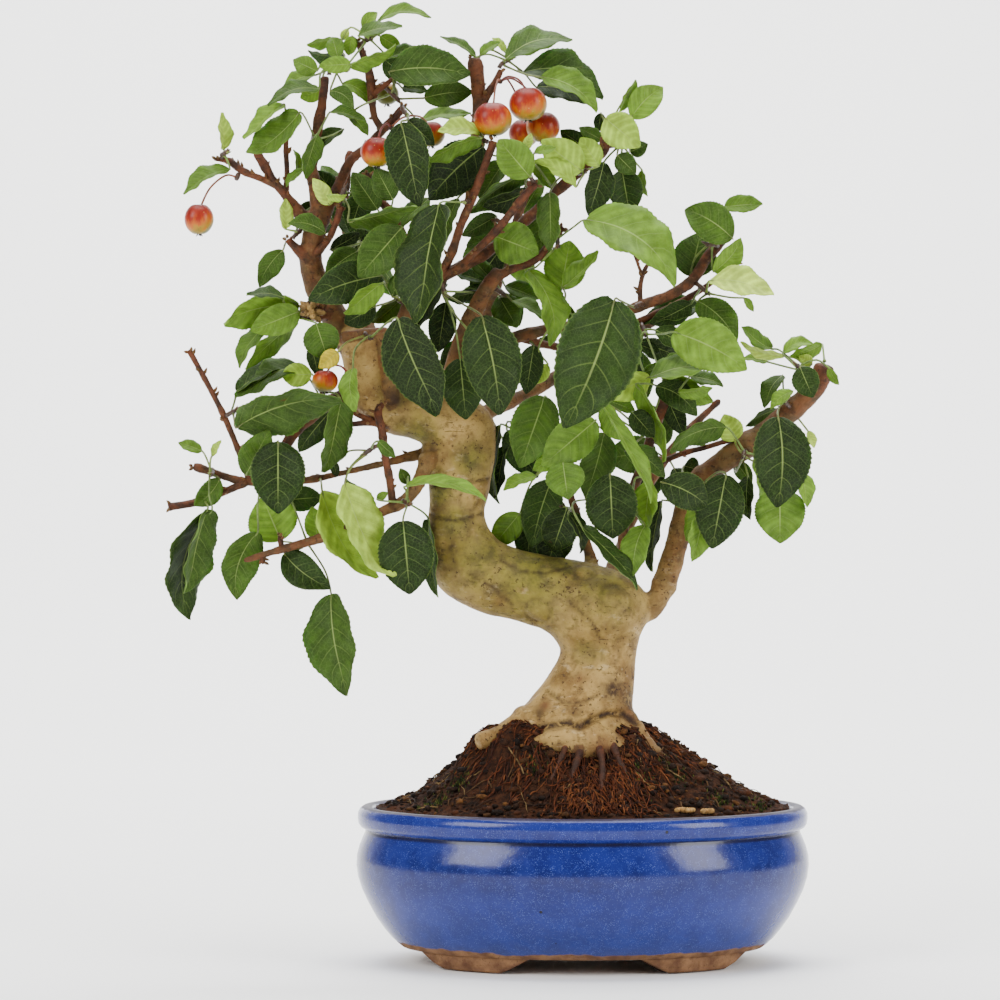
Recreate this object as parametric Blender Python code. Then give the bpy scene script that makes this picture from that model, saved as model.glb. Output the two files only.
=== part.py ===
"""Crabapple bonsai in a blue glazed oval pot, about 379 mm tall.

Up is +Z and the front is -Y. The origin is on the ground, midway across and through the whole
plant. Sizes here are in millimetres, and each mesh is made in metres.

Places in the plant are read on a front view as steps across and down, one step being STEP mm on
the upright plane through the trunk, with the depth behind that plane in mm (negative is nearer).
"""

import math
import random

import bmesh
import bpy
from mathutils import Vector
from mathutils.bvhtree import BVHTree

# Driving dimensions, mm.
POT_LENGTH = 180.0
POT_DEPTH = 140.0
POT_HEIGHT = 62.0
POT_MIDDLE_X = 33.0
POT_WALL = 7.5
FLOOR_TOP = 12.8
FLOOR_UNDER = 5.8
DRAIN_RADIUS = 7.0
DRAIN_SPACING = 68.0
SCREEN_SIDE = 22.0
SCREEN_THICK = 0.8
SOIL_EDGE_HEIGHT = 61.3
SOIL_MOUND_HEIGHT = 35.0
SOIL_MIDDLE_X = 30.0
SEAT_GAP = 0.3
BLADE_THICK = 1.2
STALK_RADIUS = 0.5
SHOOT_RADIUS = 0.95
DEEPEST_LEAF = 66.0

# The front view that places are read on.
STEP = 0.4
MIDDLE_STEP = 500
GROUND_STEP = 960
EYE_DISTANCE = 1500.0
EYE_HEIGHT = 184.0

TO_METRES = 0.001

# Half length, half depth and height of each ring of the pot, outside from the foot ring up and
# then inside from the rim down.
POT_RINGS = (
    (72.0, 51.0, 5.8),
    (78.6, 57.8, 12.6),
    (85.6, 65.2, 23.6),
    (89.6, 69.4, 33.0),
    (90.4, 70.2, 40.0),
    (88.6, 68.6, 47.6),
    (87.0, 67.0, 52.4),
    (89.4, 69.4, 54.6),
    (89.8, 69.8, 59.6),
    (87.4, 67.4, 62.0),
    (83.4, 63.4, 61.0),
    (83.0, 63.0, 34.0),
    (77.0, 56.5, 21.0),
    (67.0, 46.5, 12.8),
)
POT_SIDES = 32

# Left edge and right edge of the trunk on the front view, from the soil up to the cut top.
TRUNK_EDGES = (
    (508, 785, 638, 785),
    (507, 755, 639, 752),
    (508, 735, 637, 733),
    (514, 717, 634, 719),
    (528, 701, 633, 703),
    (541, 685, 634, 688),
    (551, 671, 635, 672),
    (558, 658, 636, 658),
    (560, 650, 638, 645),
    (557, 643, 642, 631),
    (552, 636, 650, 615),
    (546, 631, 645, 592),
    (540, 628, 623, 573),
    (532, 626, 588, 563),
    (518, 622, 553, 557),
    (499, 617, 532, 552),
    (479, 612, 514, 547),
    (458, 602, 502, 542),
    (440, 589, 494, 536),
    (430, 572, 488, 527),
    (425, 552, 485, 520),
    (425, 535, 484, 512),
    (428, 517, 485, 505),
    (429, 500, 488, 497),
    (428, 482, 491, 480),
    (430, 464, 494, 462),
    (428, 452, 496, 440),
    (420, 443, 493, 418),
    (407, 438, 475, 401),
    (390, 434, 440, 394),
    (370, 424, 420, 385),
    (356, 410, 408, 372),
    (348, 388, 402, 362),
    (343, 366, 397, 350),
    (338, 344, 392, 331),
)
TRUNK_SIDES = 12
TRUNK_DEPTH_SHARE = 0.88

# Each limb as points of steps across, steps down, radius in steps and depth in mm.
LIMBS = {
    "front stub": ((384, 340, 9, -8), (388, 365, 9, -10.5), (391, 390, 9, -11.5), (391, 405, 6, -11)),
    "cut top": ((341, 338, 6, -7), (366, 335, 8, -8), (390, 334, 6, -7)),
    "right limb": (
        (618, 598, 17, 2), (645, 610, 13.5, 2), (660, 594, 11.5, 2), (670, 566, 11.5, 3),
        (679, 536, 12, 4), (687, 506, 12.5, 5), (702, 480, 12.5, 5), (728, 458, 12, 3),
        (758, 438, 12, 0), (788, 413, 11, -3), (809, 395, 10.5, -5), (820, 379, 10.5, -6),
        (825, 365, 9.5, -7),
    ),
    "inner left": (
        (593, 590, 8, 4), (591, 560, 6, 6), (583, 535, 5, 8), (574, 508, 4.5, 9),
        (566, 475, 4.5, 9), (568, 440, 4, 8), (585, 405, 3.5, 6),
    ),
    "inner right": (
        (620, 596, 9, 6), (622, 565, 6.5, 8), (623, 535, 6, 9), (628, 503, 6, 9),
        (640, 472, 5.5, 8), (650, 442, 5.5, 6), (660, 412, 6, 2), (671, 385, 5.5, 0),
    ),
    "low right twig": (
        (639, 472, 4, 8), (662, 462, 3.6, 6), (684, 453, 3.4, 4), (707, 447, 3.2, 2),
        (735, 438, 3, 0),
    ),
    "centre limb": (
        (447, 422, 15, 2), (452, 385, 10.5, -2), (458, 350, 9.5, -4), (472, 318, 9, -6),
        (487, 288, 8.5, -8), (500, 270, 7, -9),
    ),
    "centre twig": (
        (490, 282, 6.5, -8), (510, 270, 5, -9), (534, 261, 4.5, -10), (548, 246, 4, -10),
        (563, 226, 4.5, -11),
    ),
    "upper limb": (
        (385, 372, 14, 0), (400, 335, 10.5, -2), (412, 305, 9.5, -4), (428, 285, 9, -6),
        (448, 269, 8, -8),
    ),
    "twig a": (
        (440, 277, 6, -7), (452, 252, 5.5, -11), (461, 225, 5, -14), (473, 197, 5, -16),
        (484, 168, 4.6, -17), (494, 141, 5, -18),
    ),
    "twig b": (
        (436, 282, 6, -7), (458, 268, 4.8, -12), (476, 251, 4.6, -15), (497, 230, 5, -17),
        (515, 208, 4.6, -18), (527, 193, 5, -18), (537, 184, 3.5, -18),
    ),
    "twig c": (
        (438, 278, 6.5, -6), (470, 262, 6, -4), (500, 243, 6, -3), (525, 221, 6, -2),
        (550, 198, 6, -2), (572, 178, 6, -3), (590, 163, 5, -4), (604, 150, 6.5, -6),
        (604, 134, 4, -6),
    ),
    "left limb": (
        (374, 374, 19, 2), (350, 340, 16, 1), (332, 312, 14, 0), (317, 285, 12.5, -1),
        (310, 258, 11.5, -2), (314, 235, 11, -2), (319, 212, 9.5, -2), (316, 190, 7.5, -3),
        (312, 170, 6, -3), (314, 148, 5.5, -4), (319, 122, 5, -4), (323, 98, 4.6, -5),
        (325, 76, 5.6, -5),
    ),
    "left inner limb": (
        (319, 228, 7.5, -2), (331, 203, 6, 0), (340, 182, 5.5, 2), (351, 160, 5.5, 2),
        (367, 147, 5, 2), (382, 131, 5, 0), (395, 117, 5, -3), (404, 107, 5, -4),
    ),
    "left stub": ((314, 256, 5.5, -4), (328, 240, 4.2, -8), (336, 223, 3.8, -10), (341, 206, 4.6, -12)),
    "far left limb": (
        (316, 232, 8, -3), (300, 214, 6.5, -4), (286, 196, 5.5, -5), (273, 180, 4.8, -5),
        (263, 163, 4.6, -5), (256, 152, 4.8, -5),
    ),
    "far left stub": ((285, 197, 4, -4), (287, 175, 3.3, -3), (286, 148, 3, -3), (287, 123, 4, -3)),
    "far left twig": (
        (279, 187, 4.6, -5), (262, 179, 4, -6), (249, 174, 4, -7), (238, 168, 4.6, -8),
        (229, 161, 4.4, -8), (214, 159, 1.8, -8),
    ),
    "left spur": ((311, 262, 6.5, -4), (298, 250, 5, -6), (287, 239, 4, -8)),
    "bud spur": ((328, 312, 8, -3), (319, 316, 5, -8), (306, 318, 3.6, -10)),
    "bud spur top": ((318, 316, 4.4, -8), (313, 308, 5, -10), (308, 301, 3.4, -11)),
    "bud spur tip": ((319, 315, 4.4, -8), (322, 307, 4.6, -11), (326, 302, 2.6, -12)),
    "top twig": (
        (384, 131, 4.6, -1), (375, 118, 4.2, 0), (372, 100, 4.6, 0), (371, 84, 6, 0),
        (368, 68, 5, 0), (362, 52, 4, 0), (359, 42, 5, 0),
    ),
    "top side twig": ((372, 95, 3.6, 0), (384, 86, 3.4, -2), (396, 76, 2.6, -3)),
    "middle twig": (
        (412, 302, 6.5, -4), (407, 265, 5, -5), (403, 236, 5, -5), (388, 209, 5, -5),
        (371, 192, 5, -4), (367, 172, 4, -4),
    ),
    "thick stub": (
        (467, 213, 5, -15), (472, 180, 5.6, -9), (477, 145, 6.6, -3), (479, 115, 7.6, 0),
        (478, 85, 7.6, 0), (474, 58, 6.6, 0),
    ),
    "thick stub spur": ((480, 110, 5.5, 0), (489, 92, 4.6, -2), (497, 79, 4, -3), (501, 70, 3.6, -3)),
    "right upper limb": (
        (458, 415, 10, 6), (480, 374, 8, 8), (505, 343, 7, 9), (540, 331, 6.6, 8),
        (575, 325, 6, 6), (610, 317, 6, 3), (642, 305, 6, 0), (668, 296, 5.6, -2),
        (692, 281, 5.6, -3), (707, 258, 6, -4), (725, 237, 5.6, -5),
    ),
    "right under limb": (
        (518, 337, 5.5, 9), (560, 347, 4.2, 12), (600, 340, 4.2, 10), (640, 321, 4.2, 6),
        (672, 306, 3.6, 4), (704, 288, 3.6, 3), (737, 261, 3.6, 2),
    ),
    "right thin twig": (
        (641, 307, 4, 0), (640, 290, 2.7, 1), (643, 274, 3, 1), (650, 260, 2, 1),
        (656, 246, 1.7, 1), (660, 226, 2.7, 1),
    ),
    "right thin fork": ((643, 277, 2.4, 1), (637, 262, 1.6, 0), (632, 247, 1.5, 0)),
    "upright left twig": (
        (250, 481, 4.4, -5), (238, 449, 3.6, -6), (225, 418, 3.8, -7), (213, 394, 3.4, -7),
        (200, 370, 3.3, -8), (189, 350, 3.7, -8),
    ),
    "low left limb": (
        (430, 452, 8, 3), (405, 458, 5, 0), (381, 464, 4, -2), (350, 471, 3.6, -3),
        (320, 478, 4, -4), (290, 482, 4, -5), (264, 482, 4.2, -5), (240, 481, 5, -6),
        (215, 473, 4.6, -7), (193, 466, 4.6, -8),
    ),
    "low left fork": ((247, 482, 4.6, -6), (226, 491, 4.6, -8), (197, 502, 4.6, -9), (168, 507, 4.8, -10)),
    "lowest left limb": (
        (436, 434, 13, -2), (429, 457, 9.5, -8), (421, 477, 7.5, -12), (407, 499, 6.6, -15),
        (384, 511, 5.2, -16), (350, 526, 4.6, -16), (321, 538, 5.4, -16), (283, 549, 4.2, -15),
        (243, 561, 3.9, -15),
    ),
    "lowest left bud": ((282, 551, 3.4, -15), (280, 536, 3, -15)),
    "lowest left knob": ((261, 555, 3.2, -15), (264, 564, 2.8, -15)),
    "red twig": (
        (393, 507, 5, -16), (390, 482, 4.6, -18), (385, 454, 4.6, -20), (382, 431, 5, -20),
        (378, 412, 5, -19), (383, 404, 3.2, -18),
    ),
    "dark left limb": (
        (364, 392, 10, -3), (345, 396, 8.5, -4), (325, 405, 8, -6), (305, 421, 7.2, -7),
        (290, 438, 6.6, -8), (283, 450, 5, -8),
    ),
    "dark left twig": ((388, 424, 5.5, -5), (367, 423, 3.6, -8), (346, 425, 3, -9)),
    "dark left fork": ((372, 421, 3.6, -7), (356, 414, 3, -8), (342, 405, 2.8, -9)),
    "back left limb": (
        (380, 372, 10, 8), (366, 320, 7, 24), (350, 260, 6, 36), (345, 205, 5, 43),
        (350, 150, 3.6, 46),
    ),
    "back middle limb": (
        (450, 414, 10, 6), (470, 360, 7.5, 24), (492, 300, 6.5, 36), (512, 235, 5, 43),
        (530, 180, 3.6, 46),
    ),
    "back right limb": (
        (470, 420, 9, 8), (530, 392, 6.6, 27), (585, 360, 5.6, 38), (640, 330, 4.6, 44),
        (690, 300, 3.6, 46),
    ),
    "back low limb": (
        (606, 594, 10, 8), (622, 545, 7, 24), (645, 490, 6, 34), (680, 440, 5, 40),
        (720, 400, 3.6, 42),
    ),
    "left root": ((548, 718, 26, -6), (520, 730, 18, -11), (497, 738, 11.5, -16), (477, 742, 9.6, -20)),
    "root burl": (
        (530, 750, 10, -20), (552, 742, 20, -20), (585, 744, 22, -21), (612, 748, 16, -20),
        (628, 752, 9, -18),
    ),
    "green root": ((532, 760, 8, -22), (527, 771, 6.4, -27), (521, 779, 5, -30)),
    "right root": ((622, 722, 15, -8), (645, 745, 10, -14), (660, 760, 7.4, -19), (670, 768, 6, -22)),
}
THICK_LIMB_SIDES = 6
THIN_LIMB_SIDES = 5
THICK_LIMB_RADIUS = 8.0
POINT_SLACK = 0.75

# Thin roots that run down the mound: across x in mm, depth in mm and radius in mm.
THIN_ROOTS = (
    ((33.0, -22.0, 3.4), (31.0, -31.0, 2.8), (27.0, -41.0, 1.8)),
    ((38.0, -24.0, 3.4), (40.0, -34.0, 2.6), (39.0, -46.0, 1.6)),
    ((43.0, -22.0, 3.2), (47.0, -32.0, 2.4), (52.0, -43.0, 1.4)),
    ((28.0, -22.0, 3.2), (24.0, -32.0, 2.2), (20.0, -40.0, 1.4)),
)

DARK, MID, LIGHT, PALE, YELLOW = range(5)

# Each spray: the place that its shoot grows at (steps, steps, mm), and its leaves. A leaf is the
# place of its blade's base and tip, its width as seen, its depth in mm, its tone and, where the
# midrib is bowed, how far it bows to the left of the way from base to tip, in steps.
SPRAYS = {
    "spray_far_left": ((230, 162, -8), (
        (224, 150, 219, 112, 14, -6, PALE), (230, 169, 184, 196, 15, -10, LIGHT, -3),
    )),
    "spray_left_upright": ((315, 130, -4), (
        (300, 112, 248, 156, 28, -12, LIGHT, 5), (317, 134, 303, 178, 17, -9, MID, -3),
        (344, 129, 316, 165, 17, -1, MID, -5), (330, 112, 364, 123, 12, -8, MID, 2),
        (298, 176, 295, 149, 7, -6, LIGHT), (303, 170, 285, 186, 8, -8, LIGHT),
    )),
    "spray_left_top": ((324, 80, -5), (
        (316, 75, 283, 90, 14, -3, LIGHT, -2), (317, 71, 293, 60, 20, -9, LIGHT),
        (319, 89, 268, 108, 14, -12, MID, -6), (321, 90, 300, 98, 18, 2, LIGHT),
        (351, 64, 318, 66, 18, -12, LIGHT), (344, 43, 307, 48, 12, 3, LIGHT, -6),
        (338, 58, 332, 36, 18, -6, LIGHT), (330, 91, 354, 109, 18, -10, MID, 5),
        (342, 83, 371, 105, 16, 1, LIGHT, 4), (345, 56, 307, 53, 13, 9, DARK),
    )),
    "spray_top": ((360, 44, 0), (
        (363, 31, 378, 12, 14, -4, LIGHT, 3), (376, 23, 432, 20, 11, 0, LIGHT, 7),
        (358, 36, 403, 28, 13, -8, MID, 2), (348, 65, 398, 47, 14, -13, LIGHT, 2),
        (380, 36, 402, 50, 16, 3, LIGHT), (342, 40, 348, 28, 9, -2, PALE),
        (388, 58, 425, 50, 12, -3, MID),
    )),
    "spray_top_middle": ((380, 88, -1), (
        (389, 72, 471, 76, 42, -8, MID, 5), (385, 60, 412, 82, 26, 6, DARK),
        (424, 98, 472, 92, 28, 3, MID, 2), (418, 122, 472, 117, 12, 9, LIGHT, 2),
        (350, 114, 368, 136, 14, -4, LIGHT),
    )),
    "spray_stub_top": ((488, 68, -1), (
        (476, 57, 439, 39, 8, -3, MID, -2), (480, 55, 500, 42, 10, -6, LIGHT),
        (505, 60, 573, 44, 24, -8, MID, 8), (522, 73, 601, 104, 32, -1, MID, 14),
        (540, 77, 598, 111, 26, -10, LIGHT, 5), (536, 87, 590, 103, 24, 8, DARK, 3),
        (505, 52, 492, 38, 8, 1, PALE),
    )),
    "spray_twig_a": ((493, 146, -17), (
        (481, 138, 428, 164, 16, -20, LIGHT, -8), (480, 133, 437, 134, 18, -14, PALE, -4),
        (484, 146, 428, 201, 50, -5, DARK, -3),
    )),
    "spray_inner_spur": ((407, 104, -8), (
        (401, 122, 418, 207, 44, -26, DARK, 2), (408, 120, 434, 145, 22, -16, DARK),
    )),
    "spray_twig_b": ((533, 187, -18), (
        (530, 177, 498, 139, 36, -24, LIGHT), (526, 174, 468, 218, 18, -10, MID, -8),
        (534, 153, 556, 149, 9, -22, LIGHT), (524, 151, 531, 133, 10, -21, PALE),
        (527, 190, 481, 204, 22, -2, DARK, 2),
    )),
    "spray_twig_c": ((574, 177, -4), (
        (582, 171, 541, 140, 36, -10, PALE), (599, 166, 581, 138, 24, -12, PALE),
        (576, 187, 533, 161, 16, -17, PALE, -3), (550, 192, 551, 251, 24, -7, MID, 3),
        (588, 150, 560, 130, 20, 4, DARK),
    )),
    "spray_twig_c_end": ((607, 148, -6), (
        (631, 118, 663, 87, 31, -4, LIGHT, 3), (605, 118, 640, 147, 38, -12, PALE),
        (630, 152, 648, 144, 18, 3, MID), (617, 155, 636, 174, 22, -6, MID),
        (622, 170, 630, 216, 38, 3, DARK), (604, 162, 588, 216, 30, -4, DARK),
        (601, 113, 598, 132, 12, 5, DARK), (642, 170, 646, 197, 10, 7, LIGHT),
    )),
    "spray_left_stub": ((340, 210, -12), (
        (329, 205, 313, 178, 16, -14, PALE), (327, 196, 347, 196, 8, -17, PALE),
        (336, 196, 316, 171, 24, 1, DARK), (348, 222, 417, 204, 20, -18, MID, 3),
        (362, 195, 350, 232, 28, -3, DARK),
    )),
    "spray_left_spur": ((290, 241, -8), (
        (285, 229, 284, 199, 14, -6, PALE), (325, 233, 288, 223, 18, -12, MID, -3),
        (283, 250, 258, 287, 22, -8, MID, -4), (316, 204, 296, 216, 16, 6, DARK),
    )),
    "spray_bud_cluster": ((312, 314, -10), (
        (300, 306, 222, 322, 34, -10, LIGHT, -8), (300, 311, 250, 331, 32, -15, LIGHT),
        (284, 298, 246, 297, 11, 1, DARK, -2), (298, 321, 244, 369, 17, -12, LIGHT, -7),
        (316, 323, 328, 360, 36, -20, MID),
    )),
    "spray_middle_twig": ((403, 234, -5), (
        (402, 227, 358, 278, 44, -18, MID), (358, 251, 325, 276, 26, -10, MID, -2),
        (378, 210, 352, 172, 28, -9, MID), (393, 200, 376, 168, 26, -14, MID),
        (330, 250, 360, 233, 18, 1, DARK),
    )),
    "spray_upper_limb": ((392, 300, -2), (
        (382, 276, 309, 300, 44, -12, DARK, -4), (382, 283, 345, 316, 22, -18, LIGHT, -3),
        (376, 306, 344, 324, 26, -5, DARK), (392, 296, 408, 268, 16, -12, MID),
    )),
    "spray_trunk_top": ((366, 334, -8), (
        (397, 318, 440, 413, 54, -38, DARK, -2), (353, 368, 358, 412, 19, -28, LIGHT, -4),
        (338, 352, 319, 368, 18, -19, YELLOW),
    )),
    "spray_limb_joint": ((444, 288, -8), (
        (481, 315, 500, 416, 58, -34, DARK, 3), (460, 358, 466, 420, 42, -17, DARK),
        (486, 292, 446, 300, 14, -1, DARK, -3), (468, 330, 478, 372, 12, -9, MID),
        (446, 302, 438, 352, 28, 4, DARK),
    )),
    "spray_folded": ((471, 199, -16), (
        (440, 203, 421, 327, 48, -30, DARK, 3),
    )),
    "spray_twig_b_low": ((505, 222, -17), (
        (497, 216, 462, 236, 22, -8, MID), (495, 236, 539, 253, 42, -8, LIGHT),
    )),
    "spray_centre_tip": ((560, 229, -11), (
        (584, 220, 677, 282, 50, -18, LIGHT, 10), (528, 270, 555, 344, 27, -8, LIGHT, 4),
    )),
    "spray_centre_limb": ((494, 284, -8), (
        (500, 298, 517, 327, 32, 4, MID), (490, 278, 468, 256, 16, 1, MID),
        (512, 301, 545, 322, 12, -3, LIGHT, 3), (484, 282, 455, 274, 14, 6, DARK),
    )),
    "spray_behind_big": ((558, 325, 7), (
        (561, 290, 570, 240, 42, 0, LIGHT), (563, 288, 601, 253, 16, -8, LIGHT, -2),
        (556, 340, 532, 348, 12, 12, DARK), (548, 364, 536, 384, 14, 8, PALE),
        (575, 318, 558, 300, 12, 12, MID),
    )),
    "spray_big_leaf": ((643, 303, 0), (
        (615, 299, 565, 428, 82, -30, DARK, 4),
    )),
    "spray_right_tip": ((724, 239, -5), (
        (733, 239, 684, 209, 40, -10, MID, -4), (724, 207, 763, 204, 19, 0, LIGHT),
        (713, 272, 742, 238, 22, -9, LIGHT, -2), (690, 277, 701, 232, 44, 3, MID),
    )),
    "spray_right_upper": ((700, 285, 2), (
        (709, 281, 774, 299, 27, -16, PALE, 4), (744, 298, 753, 312, 8, -6, LIGHT),
        (698, 301, 738, 345, 32, -4, MID, 6), (691, 304, 650, 324, 24, 3, DARK),
    )),
    "spray_right_middle": ((641, 325, 6), (
        (673, 332, 748, 370, 52, -22, LIGHT, 4), (655, 330, 691, 350, 20, -6, DARK),
        (650, 378, 722, 370, 20, -28, LIGHT, 4), (644, 372, 682, 352, 16, -8, MID),
        (640, 345, 660, 352, 14, 2, DARK),
    )),
    "spray_inner_right_top": ((671, 385, 0), (
        (662, 378, 713, 404, 28, -14, LIGHT, 3), (678, 392, 712, 386, 12, -20, LIGHT),
        (656, 386, 697, 416, 28, -12, DARK, 6), (690, 376, 724, 384, 14, 5, MID),
    )),
    "spray_limb_end": ((815, 378, -6), (
        (783, 353, 815, 344, 13, 0, LIGHT, 4), (800, 367, 813, 398, 27, -16, DARK),
        (829, 368, 839, 385, 9, -4, LIGHT), (812, 364, 799, 356, 13, 1, PALE),
        (785, 356, 740, 342, 10, 4, PALE, 1), (772, 349, 743, 325, 15, 8, LIGHT, 4),
        (768, 362, 742, 358, 10, 10, LIGHT),
    )),
    "spray_limb_near_end": ((788, 412, -3), (
        (783, 375, 766, 410, 17, -8, MID, -3), (793, 391, 770, 409, 13, -12, LIGHT, -2),
        (780, 409, 745, 426, 14, 2, MID, -4), (778, 416, 777, 508, 60, -24, DARK, 5),
        (808, 431, 815, 448, 9, 6, PALE),
    )),
    "spray_limb_under": ((745, 449, 1), (
        (780, 488, 780, 545, 50, -10, LIGHT), (755, 455, 767, 505, 20, -5, LIGHT),
        (735, 441, 724, 414, 27, 1, PALE), (726, 427, 668, 450, 22, -8, MID, -10),
        (736, 462, 752, 484, 18, 6, MID),
    )),
    "spray_limb_crook": ((698, 482, 5), (
        (726, 474, 712, 549, 48, -18, DARK), (661, 482, 708, 507, 38, -26, DARK, 4),
        (698, 504, 687, 541, 20, -5, LIGHT, 3), (704, 507, 692, 562, 25, -10, LIGHT),
        (684, 466, 700, 470, 22, 14, DARK),
    )),
    "spray_inner_right_middle": ((650, 442, 6), (
        (636, 384, 671, 460, 17, -18, LIGHT, 6), (650, 377, 602, 397, 28, -12, PALE),
        (603, 404, 658, 500, 14, -32, LIGHT, -5), (605, 402, 621, 442, 20, -24, LIGHT),
        (625, 451, 664, 478, 22, -9, MID, 4), (632, 412, 655, 438, 24, -2, DARK),
    )),
    "spray_inner_right_low": ((627, 503, 9), (
        (610, 474, 613, 540, 52, -16, DARK), (651, 480, 645, 530, 23, -10, LIGHT),
        (645, 525, 634, 578, 28, -12, LIGHT, -3), (582, 527, 642, 587, 16, -22, DARK, -3),
    )),
    "spray_inner_left_low": ((576, 512, 9), (
        (552, 479, 532, 548, 40, 8, DARK, -2), (567, 508, 552, 552, 38, -4, DARK),
        (568, 513, 583, 553, 14, -12, DARK, 2),
    )),
    "spray_inner_left_middle": ((570, 446, 8), (
        (596, 420, 542, 466, 42, -22, LIGHT), (563, 463, 568, 500, 38, -28, LIGHT),
        (545, 396, 520, 468, 48, -12, MID), (501, 424, 494, 504, 15, 13, DARK),
        (536, 476, 503, 490, 13, 2, LIGHT), (520, 513, 493, 546, 28, 6, LIGHT),
        (556, 457, 533, 470, 18, -9, LIGHT), (507, 430, 538, 478, 34, 16, DARK),
    )),
    "spray_left_upright_twig": ((226, 416, -7), (
        (236, 428, 342, 398, 42, -18, MID, 15), (236, 393, 300, 365, 16, -5, DARK, 5),
    )),
    "spray_low_left_fork": ((218, 474, -7), (
        (202, 451, 178, 443, 12, -6, LIGHT), (212, 456, 221, 440, 7, -8, PALE),
        (220, 479, 194, 506, 24, -12, MID, 3), (212, 510, 189, 620, 40, -18, DARK, -20),
    )),
    "spray_low_left": ((258, 482, -5), (
        (246, 475, 269, 430, 34, -9, MID), (278, 441, 278, 515, 54, -22, DARK),
        (258, 532, 236, 600, 36, -10, MID, -10), (277, 430, 255, 426, 13, 1, LIGHT),
    )),
    "spray_dark_limb": ((330, 402, -6), (
        (312, 374, 281, 376, 25, -10, PALE), (311, 346, 319, 379, 18, -6, DARK),
        (341, 401, 326, 474, 28, -16, MID, -3), (292, 412, 278, 424, 14, -1, PALE),
    )),
    "spray_lowest_left": ((312, 541, -16), (
        (281, 541, 262, 496, 52, -8, LIGHT), (285, 500, 323, 497, 27, 2, DARK),
        (318, 540, 312, 506, 22, -4, LIGHT), (284, 553, 330, 588, 34, -10, DARK, -4),
        (331, 593, 350, 697, 50, -14, MID, -3),
    )),
    "spray_red_twig": ((379, 440, -20), (
        (345, 482, 389, 580, 38, -24, PALE, -8), (378, 441, 396, 457, 12, -25, MID),
        (346, 479, 371, 507, 14, -10, MID), (333, 461, 337, 477, 10, -8, DARK),
    )),
    "spray_red_twig_low": ((398, 494, -17), (
        (404, 487, 487, 500, 12, -30, LIGHT, 5), (403, 520, 410, 595, 58, -22, DARK),
        (428, 518, 436, 598, 15, 6, DARK, 3), (377, 499, 388, 492, 9, -20, LIGHT),
        (408, 484, 400, 468, 12, -8, MID),
    )),
    "spray_back_left": ((347, 215, 43), (
        (342, 204, 322, 164, 24, 48, MID), (356, 222, 360, 268, 30, 50, DARK),
        (352, 206, 374, 162, 26, 46, MID), (362, 226, 404, 300, 30, 53, MID),
        (338, 222, 302, 234, 20, 47, DARK),
    )),
    "spray_back_middle": ((515, 225, 43), (
        (522, 214, 546, 176, 22, 47, MID), (524, 232, 552, 262, 26, 50, MID),
        (508, 236, 462, 258, 30, 52, MID), (508, 240, 478, 285, 26, 54, DARK),
        (520, 240, 534, 296, 26, 52, LIGHT),
    )),
    "spray_back_right": ((630, 335, 43), (
        (622, 340, 590, 392, 40, 50, DARK), (632, 350, 648, 398, 30, 52, MID),
        (640, 340, 680, 356, 22, 49, DARK), (618, 330, 582, 318, 26, 47, MID),
    )),
    "spray_back_low": ((668, 455, 40), (
        (656, 452, 604, 458, 40, 46, MID), (660, 462, 634, 508, 30, 50, DARK),
        (674, 468, 694, 512, 26, 48, DARK), (664, 446, 652, 404, 28, 50, MID),
    )),
}

# Each bunch: where its stalks meet (steps, steps, mm), and its fruit as centre, width as seen,
# height over width and depth in mm.
FRUIT = {
    "fruit_far_left": ((240, 178, -10), ((199, 219, 29, 1.12, -12),)),
    "fruit_bunch_top": ((499, 76, -6), (
        (493, 119, 38, 0.94, -16), (528, 104, 38, 0.94, -12), (543, 127, 34, 0.96, 2),
        (524, 133, 31, 0.96, 14),
    )),
    "fruit_pair": ((386, 126, -8), ((377, 152, 33, 0.96, -16), (431, 134, 28, 0.96, -6))),
    "fruit_shaded": ((379, 86, 3), ((387, 94, 24, 0.95, 10),)),
    "fruit_low_pink": ((344, 372, -10), ((325, 381, 26, 0.9, -16),)),
}
FRUIT_SIDES = 8

# Bits lying on the soil: where they lie across and through, in mm, their length and turn.
LITTER = {
    "litter_left": (71.5, -51.0, 7.5, 8.0),
    "litter_right": (80.5, -47.5, 7.0, 55.0),
}

# How far along the blade its edge points are and how far out each reaches, by their number.
EDGE_POINTS = {
    7: ((0.06, 0.19, 0.33, 0.47, 0.61, 0.75, 0.88), (1.0, 0.98, 1.05, 0.95, 1.06, 0.94, 1.04)),
    5: ((0.08, 0.26, 0.45, 0.65, 0.84), (1.0, 1.0, 1.04, 0.94, 1.05)),
    3: ((0.14, 0.42, 0.74), (1.0, 1.02, 0.98)),
}

# How much nearer or farther a leaf may stand than it was read to, in the order tried, mm.
DEPTH_TRIES = (0, -3, 3, -6, 6, -9, 9, -12, 12, -16, 16, -20, 20, -25, 25, -30, 30)

# How far a stalk bends out of its face and to one side, as shares of its reach, in order tried.
BENDS = ((0.14, 0.0), (0.38, 0.0), (0.25, 0.3), (0.25, -0.3))

# Width of a leaf over its length, where it is seen on edge.
NATURAL_WIDTH = 0.54

COLOURS = {
    "pot": ((0.02, 0.09, 0.42), 0.12),
    "soil": ((0.035, 0.018, 0.012), 0.95),
    "screen": ((0.03, 0.03, 0.03), 0.6),
    "wood": ((0.36, 0.25, 0.14), 0.75),
    "spray": ((0.07, 0.16, 0.03), 0.45),
    "fruit": ((0.55, 0.09, 0.05), 0.3),
    "litter": ((0.62, 0.42, 0.25), 0.8),
}


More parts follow.
